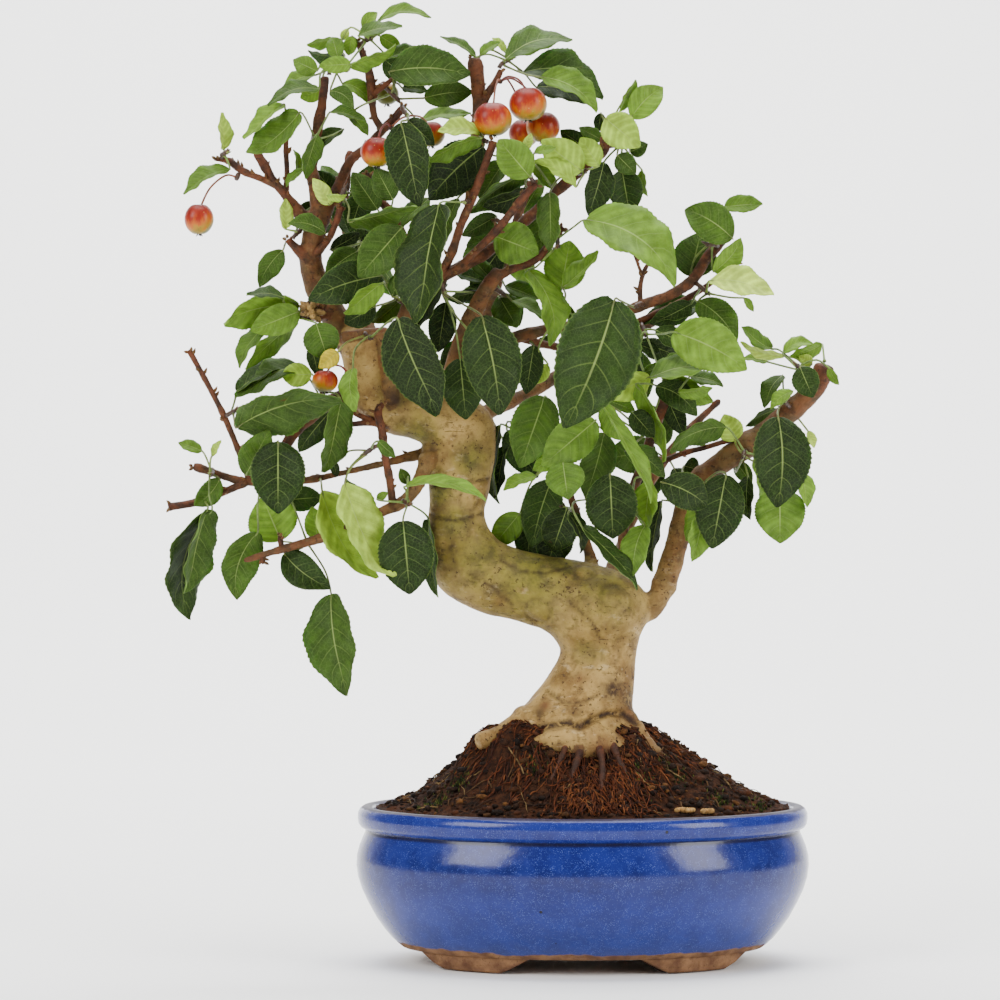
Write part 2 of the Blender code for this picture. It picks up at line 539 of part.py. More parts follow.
def spot(across, down, depth):
    """The point, in mm, that shows at a place of the front view and lies at a depth."""
    grow = (EYE_DISTANCE + depth) / EYE_DISTANCE
    height = (GROUND_STEP - down) * STEP
    return Vector(
        ((across - MIDDLE_STEP) * STEP * grow, depth, EYE_HEIGHT + (height - EYE_HEIGHT) * grow)
    )


def soil_height(x, y):
    """Height of the soil's surface without its crumbs."""
    half = 86.0 if x > SOIL_MIDDLE_X else 80.0
    away = math.hypot((x - SOIL_MIDDLE_X) / half, y / 62.0)
    t = min(max((away - 0.2) / 0.8, 0.0), 1.0)
    return SOIL_EDGE_HEIGHT + SOIL_MOUND_HEIGHT * (1 - t * t * (3 - 2 * t))


def tube(path, radii, sides, side_share=1.0, turn=0.0):
    """Vertices and faces of a closed tube of the given radii along a path of points."""
    verts = []
    faces = []
    across = None
    for k, point in enumerate(path):
        before = path[max(k - 1, 0)]
        after = path[min(k + 1, len(path) - 1)]
        along = (after - before).normalized()
        if across is None:
            away = Vector((0, 1, 0)) if abs(along.y) < 0.8 else Vector((1, 0, 0))
            across = away
        across = (across - along * across.dot(along)).normalized()
        other = along.cross(across)
        for i in range(sides):
            angle = 2 * math.pi * i / sides + turn
            verts.append(
                point
                + across * math.cos(angle) * radii[k] * side_share
                + other * math.sin(angle) * radii[k]
            )
    last = (len(path) - 1) * sides
    for k in range(len(path) - 1):
        for i in range(sides):
            j = (i + 1) % sides
            a, b = k * sides + i, k * sides + j
            faces.append((a, b, b + sides))
            faces.append((a, b + sides, a + sides))
    for i in range(1, sides - 1):
        faces.append((0, i + 1, i))
        faces.append((last, last + i, last + i + 1))
    return verts, faces


def slimmed(path, radii):
    """Leaves out the points of a path that its neighbours already give."""
    kept = [(point, radius) for point, radius in zip(path, radii)]
    k = 1
    while k < len(kept) - 1:
        (a, ra), (b, rb), (c, rc) = kept[k - 1], kept[k], kept[k + 1]
        share = min(max((b - a).dot(c - a) / (c - a).length_squared, 0.0), 1.0)
        off = (a.lerp(c, share) - b).length + abs(ra + (rc - ra) * share - rb)
        if off < POINT_SLACK:
            kept.pop(k)
        else:
            k += 1
    return [point for point, radius in kept], [radius for point, radius in kept]


def limb_tube(points, extra=0.0):
    path = [spot(x, z, y) for x, z, r, y in points]
    radii = [r * STEP for x, z, r, y in points]
    thick = max(radii) > THICK_LIMB_RADIUS * STEP
    path, radii = slimmed(path, radii)
    sides = THICK_LIMB_SIDES if thick else THIN_LIMB_SIDES
    return tube(path, [radius + extra for radius in radii], sides, 1.0, 0.3)


def trunk_rings():
    """The trunk's edges, without the pairs that their neighbours already give."""
    kept = [(spot(a, b, 0), spot(c, d, 0)) for a, b, c, d in TRUNK_EDGES]
    k = 2
    while k < len(kept) - 1:
        off = 0.0
        for side in (0, 1):
            a, b, c = (kept[n][side] for n in (k - 1, k, k + 1))
            share = min(max((b - a).dot(c - a) / (c - a).length_squared, 0.0), 1.0)
            off += (a.lerp(c, share) - b).length
        if off < POINT_SLACK:
            kept.pop(k)
        else:
            k += 1
    return kept


def trunk_tube(extra=0.0):
    """The trunk, ring by ring between its left and right edges on the front view."""
    verts = []
    faces = []
    sides = TRUNK_SIDES
    rings = trunk_rings()
    for k, (left, right) in enumerate(rings):
        half = (right - left) / 2
        middle = (left + right) / 2
        reach = half.length
        for i in range(sides):
            angle = 2 * math.pi * i / sides
            ripple = 1 + 0.035 * math.sin(3 * angle + 0.45 * k) * (math.sin(angle) ** 2)
            deep = reach * TRUNK_DEPTH_SHARE * ripple + extra
            verts.append(
                middle
                - half * math.cos(angle) * (1 + extra / reach)
                - Vector((0, math.sin(angle) * deep, 0))
            )
    for k in range(len(rings) - 1):
        for i in range(sides):
            j = (i + 1) % sides
            a, b = k * sides + i, k * sides + j
            faces.append((a, b, b + sides))
            faces.append((a, b + sides, a + sides))
    last = (len(rings) - 1) * sides
    for i in range(1, sides - 1):
        faces.append((0, i + 1, i))
        faces.append((last, last + i, last + i + 1))
    return verts, faces


def root_tube(points, extra=0.0):
    path = [Vector((x, y, soil_height(x, y) - 0.3 * r)) for x, y, r in points]
    return tube(path, [r + extra for x, y, r in points], 6)


class Solid:
    """A shape kept for the test that nothing crosses it."""

    def __init__(self, verts, faces, owner=""):
        self.low = [min(v[i] for v in verts) for i in range(3)]
        self.high = [max(v[i] for v in verts) for i in range(3)]
        self.tree = BVHTree.FromPolygons(verts, faces)
        self.owner = owner

    def crosses(self, other):
        for i in range(3):
            if self.high[i] < other.low[i] or other.high[i] < self.low[i]:
                return False
        return bool(self.tree.overlap(other.tree))


def tangled(verts, faces):
    """Whether a shape crosses itself anywhere but at a shared corner."""
    tree = BVHTree.FromPolygons(verts, faces)
    return any(a < b and not set(faces[a]) & set(faces[b]) for a, b in tree.overlap(tree))


def nearest_on(solids, point):
    """The nearest point of all the solids' surfaces, and the way out of it."""
    best = None
    for solid in solids:
        place, normal, _, away = solid.tree.find_nearest(point)
        if place is not None and (best is None or away < best[2]):
            best = (place, normal, away)
    return best


class Leaf:
    """One leaf: a stalk that grows out of a face of its shoot, and a folded, toothed blade."""

    def __init__(self, face, base, tip, width, tone, bow, rng, turned=False, bend=(0.16, 0.0)):
        self.face = face
        self.root = sum(face, Vector()) / 3
        self.out = (face[1] - face[0]).cross(face[2] - face[0]).normalized()
        self.base = base
        self.tone = tone
        self.length = (tip - base).length
        self.along = (tip - base).normalized()
        eye = Vector((0, -EYE_DISTANCE, EYE_HEIGHT))
        toward = (eye - base).normalized()
        flat = self.along.cross(toward).normalized()
        facing = flat.cross(self.along)
        full = min(max(width, NATURAL_WIDTH * self.length), 1.8 * width)
        roll = math.acos(min(width / full, 1.0))
        ways = [facing * math.cos(roll) + flat * math.sin(roll) * s for s in (1, -1)]
        ways.sort(key=lambda way: -way.z)
        pick = ways[0] if (rng.random() < 0.8) != turned else ways[1]
        self.normal = pick.normalized()
        self.side = self.along.cross(self.normal).normalized()
        self.bow = flat * -bow
        self.half = full / 2
        self.arch = rng.uniform(0.03, 0.09) * self.length
        self.fold = math.radians(rng.uniform(8, 24))
        self.phase = (rng.uniform(0, 6.28), rng.uniform(0, 6.28))
        self.lift = rng.uniform(0.02, 0.12)
        self.bend = bend
        self.teeth = 7 if width > 12 else 5 if width > 7 else 3

    def middle(self, s):
        hump = 4 * s * (1 - s)
        return (
            self.base
            + self.along * self.length * s
            + self.normal * self.arch * hump
            + self.bow * hump
        )

    def half_width(self, s):
        """Half the blade's width at a share s of its length: a round base and a drawn-out tip."""
        return self.half * s ** 0.6 * (1 - s) ** 0.8 / 0.3844

    def edge(self, s, way, share):
        """The blade's edge at s, with share as how far out it reaches."""
        out = self.half_width(s) * share
        wave = 0.035 * self.half * math.sin(9 * s + self.phase[way > 0])
        return (
            self.middle(s)
            + self.side * way * out * math.cos(self.fold)
            + self.normal * (out * math.sin(self.fold) + wave)
        )

    def stalk(self):
        """The middles of the stalk after its root: one bend on a long stalk, then the blade."""
        reach = (self.base - self.root).length
        out, aside = self.bend
        if reach < 6 and aside == 0 and out < 0.2:
            return [self.base]
        bend = self.root.lerp(self.base, 0.5) + self.out * out * reach
        bend += Vector((0, 0, 1)) * self.lift * reach
        bend += self.out.cross(self.base - self.root).normalized() * aside * reach
        return [bend, self.base]

    def mesh(self, swell=0.0):
        """Vertices and faces, open at the root. swell thickens it, to test that it is clear."""
        path = self.stalk()
        rings = []
        radius = STALK_RADIUS + swell / 2
        before = self.root
        for k, point in enumerate(path):
            after = self.along if point is path[-1] else (path[k + 1] - point).normalized()
            # Halfway between both ways, so the ring faces on from the last one and to the next.
            way = ((point - before).normalized() + after).normalized()
            across = self.side - way * self.side.dot(way)
            if across.length < 0.25:
                across = self.normal.cross(way)
            across.normalize()
            up = across.cross(way)
            rings.append([
                point - across * radius * 0.9 + up * radius * 0.5,
                point + across * radius * 0.9 + up * radius * 0.5,
                point - up * radius,
            ])
            before = point
        root = list(self.face)
        first = rings[0]
        way = path[0] - self.root
        turn = (first[1] - first[0]).cross(first[2] - first[0]).dot(way)
        if turn * (root[1] - root[0]).cross(root[2] - root[0]).dot(way) < 0:
            root = [root[0], root[2], root[1]]
        best = None
        for k in range(3):
            order = root[k:] + root[:k]
            off = sum(
                ((a - self.root).normalized() - (b - path[0]).normalized()).length_squared
                for a, b in zip(order, first)
            )
            if best is None or off < best[0]:
                best = (off, order)
        root = best[1]
        verts = root + [point for ring in rings for point in ring]
        faces = []
        for k in range(len(rings)):
            a = 3 * k
            for i, j in ((0, 1), (1, 2), (2, 0)):
                faces.append((a + i, a + 3 + i, a + 3 + j))
                faces.append((a + i, a + 3 + j, a + j))
        left, right, under = len(verts) - 3, len(verts) - 2, len(verts) - 1
        places, shares = EDGE_POINTS[self.teeth]
        ribs = [0.3, 0.64] if self.teeth == 7 else [0.42]
        thick = BLADE_THICK * min(1.0, 0.55 + self.half / 18)
        tops = []
        unders = []
        for s in ribs:
            half = (thick * (1 - 0.3 * s) + swell) / 2
            tops.append(len(verts))
            verts.append(self.middle(s) + self.normal * half)
            unders.append(len(verts))
            verts.append(self.middle(s) - self.normal * half)
        tip = len(verts)
        verts.append(self.base + self.along * self.length)
        for way, start in ((-1, left), (1, right)):
            rim = [start]
            rim_at = [0.0]
            for s, share in zip(places, shares):
                rim.append(len(verts))
                rim_at.append(s)
                verts.append(self.edge(s, way, share))
            for spine, upper in ((tops, True), (unders, False)):
                strip = [] if upper else [(start, spine[0], under)]
                i = j = 0
                while i < len(rim) - 1 or j < len(spine) - 1:
                    if j == len(spine) - 1 or (i < len(rim) - 1 and rim_at[i + 1] <= ribs[j + 1]):
                        strip.append((rim[i], rim[i + 1], spine[j]))
                        i += 1
                    else:
                        strip.append((rim[i], spine[j + 1], spine[j]))
                        j += 1
                strip.append((rim[i], tip, spine[j]))
                flip = (way < 0) == upper
                faces += [(a, c, b) if flip else (a, b, c) for a, b, c in strip]
        faces.append((left, tops[0], right))
        return verts, faces


def with_leaves(shoot, leaves):
    """One closed shape of a shoot and its leaves, each grown out of one of its faces."""
    verts = list(shoot[0])
    used = {number for number, leaf in leaves}
    faces = [face for number, face in enumerate(shoot[1]) if number not in used]
    for number, leaf in leaves:
        corners = shoot[1][number]
        points, parts = leaf.mesh()
        start = len(verts) - 3
        match = {}
        for k in range(3):
            match[k] = min(corners, key=lambda c: (shoot[0][c] - points[k]).length)
        verts += points[3:]
        for part in parts:
            faces.append(tuple(match[i] if i < 3 else start + i for i in part))
    return verts, faces


def limb_solids():
    """Every piece of the wood as a closed shape."""
    shapes = [trunk_tube()]
    shapes += [limb_tube(points) for points in LIMBS.values()]
    shapes += [root_tube(points) for points in THIN_ROOTS]
    return shapes


def fruit_mesh(centre, width, tall):
    """A fruit as a turned shape, dimpled at the stalk and with a raised calyx below."""
    radius = width / 2
    profile = (
        (0.0, 0.78), (0.5, 0.92), (0.98, 0.3), (0.92, -0.42), (0.42, -0.92), (0.2, -1.12),
        (0.0, -0.98),
    )
    verts = [centre + Vector((0, 0, profile[0][1] * radius * tall))]
    faces = []
    sides = FRUIT_SIDES
    for out, up in profile[1:-1]:
        for i in range(sides):
            angle = 2 * math.pi * i / sides
            verts.append(
                centre
                + Vector((math.cos(angle) * out * radius, math.sin(angle) * out * radius, 0))
                + Vector((0, 0, up * radius * tall))
            )
    rings = len(profile) - 2
    verts.append(centre + Vector((0, 0, profile[-1][1] * radius * tall)))
    for i in range(sides):
        j = (i + 1) % sides
        faces.append((0, 1 + i, 1 + j))
        for k in range(rings - 1):
            a, b = 1 + k * sides + i, 1 + k * sides + j
            faces.append((a, a + sides, b + sides))
            faces.append((a, b + sides, b))
        low = 1 + (rings - 1) * sides
        faces.append((low + i, len(verts) - 1, low + j))
    return verts, faces


def fruit_shapes(hub, fruits, wood):
    """The fruit and stalks of one bunch, with a short spur that their stalks meet on."""
    start = spot(*hub)
    middle = sum((spot(x, z, y) for x, z, w, t, y in fruits), Vector()) / len(fruits)
    probe = start + (middle - start).normalized() * 3.0
    place, normal, _ = nearest_on(wood, probe)
    seat = place + normal * (SEAT_GAP + 0.05)
    knot = place + normal * 3.2
    shapes = [tube([seat, place + normal * 1.8, knot], [1.0, 1.1, 0.9], 5)]
    for x, z, width, tall, y in fruits:
        centre = spot(x, z, y)
        radius = width * STEP / 2
        top = centre + Vector((0, 0, radius * tall * 0.78))
        root = place + normal * 2.2
        reach = (top - root).length
        rise = Vector((0, 0, 0.22 * reach))
        path = [root, root.lerp(top, 0.3) + rise, root.lerp(top, 0.72) + rise * 0.9]
        path.append(top - Vector((0, 0, radius * 0.3)))
        shapes.append(tube(path, [0.55, 0.5, 0.5, 0.55], 3))
        shapes.append(fruit_mesh(centre, width * STEP, tall))
    return shapes


def plan_leaves(name, leaves):
    """Every leaf of a spray as base, tip, width, tone and bow, in mm."""
    rng = random.Random(name)
    found = []
    for bx, bz, tx, tz, width, depth, tone, *bow in leaves:
        length = math.hypot(tx - bx, tz - bz) * STEP
        lean = length * rng.uniform(-0.28, 0.28)
        found.append((
            spot(bx, bz, depth),
            spot(tx, tz, depth + lean),
            width * STEP,
            tone,
            (bow[0] if bow else 0) * STEP,
        ))
    return found


def moved_in_depth(point, by):
    """The point moved nearer or farther along the line on which the eye sees it."""
    grow = (EYE_DISTANCE + point.y + by) / (EYE_DISTANCE + point.y)
    eye = Vector((0, -EYE_DISTANCE, EYE_HEIGHT))
    return eye + (point - eye) * grow


def place_shoots(wood, blocks):
    """A short shoot for each spray, standing just clear of the wood that it grows from."""
    shoots = {}
    for name, (hub, leaves) in SPRAYS.items():
        start = spot(*hub)
        plan = plan_leaves(name, leaves)
        middle = sum((base for base, *_ in plan), Vector()) / len(plan)
        toward = (middle - start).normalized()
        for step, reach in ((step, reach) for step in range(14) for reach in (7.0, 6.0, 5.0, 4.0)):
            probe = start + toward * 4.0 + Vector((0, -2.5 if hub[2] < 30 else 2.5, 0))
            if step:
                probe += Vector((math.cos(step * 2.4), -0.6, math.sin(step * 2.4))) * step * 0.6
            place, normal, _ = nearest_on(wood, probe)
            lean = middle - place
            lean -= normal * lean.dot(normal)
            end = place + normal * reach * 0.9 + lean.normalized() * reach * 0.4
            path = [
                place + normal * (SEAT_GAP + 0.08),
                place + normal * 2.0,
                end.lerp(place + normal * 2.0, 0.5) + normal * 0.2,
                end,
            ]
            radii = [SHOOT_RADIUS, SHOOT_RADIUS * 1.15, SHOOT_RADIUS * 1.1, SHOOT_RADIUS * 0.9]
            shape = tube(path, radii, 5)
            solid = Solid(*shape, name)
            if tangled(*shape) or any(solid.crosses(other) for other in wood + blocks):
                continue
            break
        else:
            raise RuntimeError("no room for the shoot of " + name)
        shoots[name] = shape
        blocks.append(solid)
    return shoots


def best_faces(shape, used, base):
    """The faces of a shoot that look towards a place and aren't taken, best first."""
    verts, faces = shape
    found = []
    for number, face in enumerate(faces):
        if number in used or number < 10:
            continue
        corners = [verts[i] for i in face]
        middle = sum(corners, Vector()) / 3
        out = (corners[1] - corners[0]).cross(corners[2] - corners[0]).normalized()
        shared = sum(len(set(face) & set(faces[other])) > 1 for other in used)
        score = out.dot((base - middle).normalized()) - 0.25 * shared
        found.append((-score, number, corners))
    found.sort(key=lambda item: item[:2])
    return found[:5]


def grow():
    """The leaves of every spray, each bent nearer or farther until it crosses nothing."""
    wood = [Solid(*shape) for shape in limb_solids()]
    bunches = {}
    blocks = []
    for name, (hub, fruits) in FRUIT.items():
        bunches[name] = fruit_shapes(hub, fruits, wood)
        blocks += [Solid(*shape, name) for shape in bunches[name]]
    shoots = place_shoots(wood, blocks)
    jobs = []
    for name, (hub, leaves) in SPRAYS.items():
        for order, plan in enumerate(plan_leaves(name, leaves)):
            jobs.append((-plan[2] * (plan[1] - plan[0]).length, name, order, plan))
    jobs.sort(key=lambda job: job[:3])
    grown = {name: [] for name in SPRAYS}
    missed = []
    for _, name, order, plan in jobs:
        leaf = placed_leaf(name, order, plan, shoots[name], grown[name], wood, blocks)
        if leaf:
            grown[name].append(leaf)
            blocks.append(Solid(*leaf[1].mesh(), name))
        else:
            missed.append((name, order))
    return shoots, grown, bunches, missed


def placed_leaf(name, order, plan, shoot, mates, wood, blocks):
    """The first way to set a leaf that crosses nothing, as its face's number and the leaf."""
    base, tip, width, tone, bow = plan
    used = {number for number, leaf in mates}
    for shrink in (1.0, 0.82):
        for by in DEPTH_TRIES:
            here = moved_in_depth(base, by)
            there = moved_in_depth(tip, by)
            if max(abs(here.y), abs(there.y)) > DEEPEST_LEAF:
                continue
            there = here.lerp(there, shrink)
            ways = [(bend, face) for bend in BENDS for face in best_faces(shoot, used, here)]
            for (bend, (_, number, corners)), turned in (
                (way, turned) for way in ways for turned in (False, True)
            ):
                rng = random.Random(f"{name} {order}")
                leaf = Leaf(
                    corners, here, there, width * shrink, tone, bow * shrink, rng, turned, bend
                )
                ring = leaf.mesh()[0][3:6]
                if min(leaf.out.dot(point - leaf.root) for point in ring) < 0.2:
                    continue
                full = Solid(*leaf.mesh(0.5), name)
                if any(full.crosses(other) for other in wood):
                    continue
                if any(other.owner != name and full.crosses(other) for other in blocks):
                    continue
                if tangled(*with_leaves(shoot, mates + [(number, leaf)])):
                    continue
                return number, leaf
    return None


def material(name, kind, shade=1.0):
    colour, rough = COLOURS[kind]
    mat = bpy.data.materials.new(name)
    mat.use_nodes = True
    shader = mat.node_tree.nodes["Principled BSDF"]
    shader.inputs["Base Color"].default_value = (*(c * shade for c in colour), 1)
    shader.inputs["Roughness"].default_value = rough
    shader.inputs["Metallic"].default_value = 0.0
    mat.diffuse_color = (*(c * shade for c in colour), 1)
    return mat


def mesh_object(name, shape, parent=None):
    """An object from vertices in mm and faces, with its faces turned outwards."""
    verts, faces = shape
    mesh = bpy.data.meshes.new(name)
    mesh.from_pydata([Vector(v) * TO_METRES for v in verts], [], faces)
    build = bmesh.new()
    build.from_mesh(mesh)
    bmesh.ops.recalc_face_normals(build, faces=build.faces)
    if build.calc_volume(signed=True) < 0:
        bmesh.ops.reverse_faces(build, faces=build.faces)
    build.to_mesh(mesh)
    build.free()
    made = bpy.data.objects.new(name, mesh)
    bpy.context.scene.collection.objects.link(made)
    made.parent = parent
    return made


def apply_boolean(target, operation, shapes, solver="EXACT"):
    """Joins or cuts the target with a collection of shapes, which is then removed."""
    group = bpy.data.collections.new(target.name + " shapes")
    bpy.context.scene.collection.children.link(group)
    helpers = []
    for k, shape in enumerate(shapes):
        helper = mesh_object(f"{target.name} shape {k}", shape)
        bpy.context.scene.collection.objects.unlink(helper)
        group.objects.link(helper)
        helpers.append(helper)
    modifier = target.modifiers.new("join", "BOOLEAN")
    modifier.operation = operation
    modifier.operand_type = "COLLECTION"
    modifier.collection = group
    modifier.solver = solver
    bpy.context.view_layer.update()
    bpy.context.view_layer.objects.active = target
    bpy.ops.object.modifier_apply(modifier="join")
    for helper in helpers:
        bpy.data.objects.remove(helper)
    bpy.data.collections.remove(group)


def drop_scraps(obj):
    """Keeps the largest body of a mesh."""
    build = bmesh.new()
    build.from_mesh(obj.data)
    left = set(build.verts)
    bodies = []
    while left:
        found = {left.pop()}
        edge = list(found)
        while edge:
            vert = edge.pop()
            for link in vert.link_edges:
                other = link.other_vert(vert)
                if other not in found:
                    found.add(other)
                    edge.append(other)
        left -= found
        bodies.append(found)
    bodies.sort(key=len)
    for body in bodies[:-1]:
        bmesh.ops.delete(build, geom=list(body), context="VERTS")
    build.to_mesh(obj.data)
    build.free()
    return len(bodies) - 1


def joined(name, shapes, mat, parent, solver="EXACT"):
    made = mesh_object(name, shapes[0], parent)
    if len(shapes) > 1:
        apply_boolean(made, "UNION", shapes[1:], solver)
    drop_scraps(made)
    made.data.materials.clear()
    made.data.materials.append(mat)
    return made


def oval(half_x, half_y, z, sides, turn=0.0):
    return [
        Vector((
            POT_MIDDLE_X + half_x * math.cos(2 * math.pi * i / sides + turn),
            half_y * math.sin(2 * math.pi * i / sides + turn),
            z,
        ))
        for i in range(sides)
    ]


def lofted(rings, sides):
    """A closed shape through rings of points, with flat first and last rings."""
    verts = [point for ring in rings for point in ring]
    faces = []
    for k in range(len(rings) - 1):
        for i in range(sides):
            j = (i + 1) % sides
            a, b = k * sides + i, k * sides + j
            faces.append((a, b, b + sides, a + sides))
    faces.append(tuple(reversed(range(sides))))
    last = (len(rings) - 1) * sides
    faces.append(tuple(range(last, last + sides)))
    return verts, faces


def foot(mirror_x, mirror_y):
    """A clay foot: its outer side follows the pot, and its ends slope up to the floor."""
    layers = []
    steps = 4
    for z, from_x, to_x, half_x, half_y, deep in (
        (0.0, 33.0, 55.5, 69.0, 49.0, 12.0),
        (2.2, 29.0, 60.0, 70.0, 49.5, 12.5),
        (6.6, 21.0, 65.5, 71.5, 50.5, 13.0),
    ):
        outer = []
        inner = []
        for k in range(steps + 1):
            x = from_x + (to_x - from_x) * k / steps
            y = half_y * math.sqrt(1 - (x / half_x) ** 2)
            slope = Vector((x / half_x ** 2, y / half_y ** 2)).normalized()
            outer.append((x, y))
            inner.append((x - slope.x * deep, y - slope.y * deep))
        layers.append([
            Vector((POT_MIDDLE_X + mirror_x * x, mirror_y * y, z))
            for x, y in outer + inner[::-1]
        ])
    return lofted(layers, 2 * (steps + 1))


def add_pot(parent):
    rings = [oval(x, y, z, POT_SIDES) for x, y, z in POT_RINGS]
    pot = mesh_object("pot", lofted(rings, POT_SIDES), parent)
    apply_boolean(pot, "UNION", [foot(x, y) for x in (-1, 1) for y in (-1, 1)])
    holes = []
    for way in (-1, 1):
        path = [
            Vector((POT_MIDDLE_X + way * DRAIN_SPACING / 2, 0, z)) for z in (-1.0, FLOOR_TOP + 2)
        ]
        holes.append(tube(path, [DRAIN_RADIUS, DRAIN_RADIUS], 16))
    apply_boolean(pot, "DIFFERENCE", holes)
    pot.data.materials.append(material("blue glaze", "pot"))
    pot.data.shade_smooth()
    pot.data.set_sharp_from_angle(angle=math.radians(35))
    return pot


def add_soil(parent):
    """Soil up to the rim with a mound at the trunk, and holes for the trunk and its roots."""
    sides = 32
    rng = random.Random("soil")
    low = (
        (66.0, 45.5, FLOOR_TOP + SEAT_GAP + SCREEN_THICK + SEAT_GAP),
        (76.4, 56.0, 22.5), (83.0, 63.0, 35.0),
    )
    rings = [oval(x - 0.6, y - 0.6, z, sides) for x, y, z in low]
    for share in (1.0, 0.92, 0.81, 0.68, 0.54, 0.4, 0.22):
        ring = oval(82.6 * share, 62.6 * share, 0, sides, 0.08 * (share < 1) * rng.random())
        for point in ring:
            rough = 0.0 if share == 1.0 else 1.1
            point.z = soil_height(point.x, point.y) + rng.uniform(-rough, rough)
            if share == 1.0:
                point.z = min(point.z, SOIL_EDGE_HEIGHT)
        rings.append(ring)
    soil = mesh_object("soil", lofted(rings, sides), parent)
    gap = SEAT_GAP + 0.05
    cutters = [trunk_tube(gap)]
    for name in ("left root", "root burl", "green root", "right root"):
        cutters.append(limb_tube(LIMBS[name], extra=gap))
    cutters += [root_tube(points, gap) for points in THIN_ROOTS]
    apply_boolean(soil, "DIFFERENCE", cutters)
    drop_scraps(soil)
    soil.data.materials.append(material("black peat", "soil"))
    return soil


def add_screens(parent):
    """A square of plastic mesh over each drainage hole."""
    for way, name in ((-1, "drain_screen_left"), (1, "drain_screen_right")):
        x = POT_MIDDLE_X + way * DRAIN_SPACING / 2
        half = SCREEN_SIDE / 2
        low = FLOOR_TOP + SEAT_GAP
        rings = []
        for z in (low, low + SCREEN_THICK):
            corners = ((-half, -half), (half, -half), (half, half), (-half, half))
            rings.append([Vector((x + a, b, z)) for a, b in corners])
        screen = mesh_object(name, lofted(rings, 4), parent)
        holes = []
        pitch = SCREEN_SIDE / 2.4
        for i in (-0.5, 0.5):
            for j in (-0.5, 0.5):
                path = [Vector((x + i * pitch, j * pitch, z)) for z in (low - 1, low + 2)]
                holes.append(tube(path, [5.4, 5.4], 4, turn=math.pi / 4))
        apply_boolean(screen, "DIFFERENCE", holes)
        screen.data.materials.append(material(name, "screen"))


def add_litter(parent, soil):
    """Bits of dry stalk that lie on the soil."""
    corners = [vert.co / TO_METRES for vert in soil.data.vertices]
    ground = BVHTree.FromPolygons(corners, [face.vertices[:] for face in soil.data.polygons])
    radii = (0.9, 1.3, 1.2, 0.8)
    for name, (x, y, length, turn) in LITTER.items():
        way = Vector((math.cos(math.radians(turn)), 0, 0))
        way.y = math.sin(math.radians(turn))
        path = []
        for k, (along, side) in enumerate(((-0.5, 0.0), (-0.2, 0.12), (0.15, -0.1), (0.5, 0.05))):
            point = Vector((x, y, 0)) + way * along * length
            point += Vector((-way.y, way.x, 0)) * side * length
            point.z = 150.0
            point = ground.ray_cast(point, Vector((0, 0, -1)))[0]
            path.append(point + Vector((0, 0, radii[k] + SEAT_GAP + 0.15)))
        shape = tube(path, radii, 6)
        made = mesh_object(name, shape, parent)
        made.data.materials.append(material(name, "litter"))


def main():
    for obj in list(bpy.data.objects):
        bpy.data.objects.remove(obj)
    plant = bpy.data.objects.new("bonsai", None)
    bpy.context.scene.collection.objects.link(plant)
    shoots, grown, bunches, missed = grow()
    add_pot(plant)
    soil = add_soil(plant)
    add_screens(plant)
    wood = joined("wood", limb_solids(), material("bark", "wood"), plant)
    wood.data.shade_smooth()
    wood.data.set_sharp_from_angle(angle=math.radians(45))
    for name in SPRAYS:
        spray = mesh_object(name, with_leaves(shoots[name], grown[name]), plant)
        spray.data.materials.append(material(name, "spray"))
    for name, shapes in bunches.items():
        joined(name, shapes, material(name, "fruit"), plant)
    add_litter(plant, soil)


if __name__ == "__main__":
    main()
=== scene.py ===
"""Crabapple bonsai in a cobalt blue glazed oval pot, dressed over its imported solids.

Each operator models one piece or group of like pieces. Sizes are in metres in the sidebar, and in
millimetres where a comment or name says so.
"""
import math
import random
import bmesh
import bpy
from mathutils import Matrix, Vector, noise
from mathutils.bvhtree import BVHTree


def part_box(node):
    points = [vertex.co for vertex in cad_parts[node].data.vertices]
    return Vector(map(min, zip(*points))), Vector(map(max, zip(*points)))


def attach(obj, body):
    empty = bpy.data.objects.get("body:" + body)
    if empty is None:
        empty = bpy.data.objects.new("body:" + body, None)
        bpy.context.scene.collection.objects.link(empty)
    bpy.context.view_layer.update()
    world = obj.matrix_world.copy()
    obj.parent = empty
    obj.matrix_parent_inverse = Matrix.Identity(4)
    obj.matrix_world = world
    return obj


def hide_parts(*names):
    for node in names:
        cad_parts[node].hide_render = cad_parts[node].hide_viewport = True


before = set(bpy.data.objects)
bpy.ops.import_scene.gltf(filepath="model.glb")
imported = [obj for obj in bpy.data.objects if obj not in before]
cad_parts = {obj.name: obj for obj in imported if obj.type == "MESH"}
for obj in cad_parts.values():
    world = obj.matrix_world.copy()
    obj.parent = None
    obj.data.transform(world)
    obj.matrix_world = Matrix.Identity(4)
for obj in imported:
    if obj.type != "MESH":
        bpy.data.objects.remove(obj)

bl_info = {
    "name": "Crabapple bonsai",
    "version": (1, 0, 0),
    "blender": (4, 5, 0),
    "location": "View3D > Sidebar > Bonsai",
    "description": "Models a crabapple bonsai in a glazed pot, piece by piece",
    "category": "Add Mesh",
}

# Driving dimensions, mm.
POT_MIDDLE_X = 33.0
SOIL_EDGE_HEIGHT = 61.3
SOIL_MOUND_HEIGHT = 35.0
SOIL_MIDDLE_X = 30.0
SEAT_GAP = 0.3
BLADE_THICK = 1.2
STALK_RADIUS = 0.5
SHOOT_RADIUS = 0.95
DEEPEST_LEAF = 66.0

# The front view that places are read on.
STEP = 0.4
MIDDLE_STEP = 500
GROUND_STEP = 960
EYE_DISTANCE = 1500.0
EYE_HEIGHT = 184.0
TO_METRES = 0.001

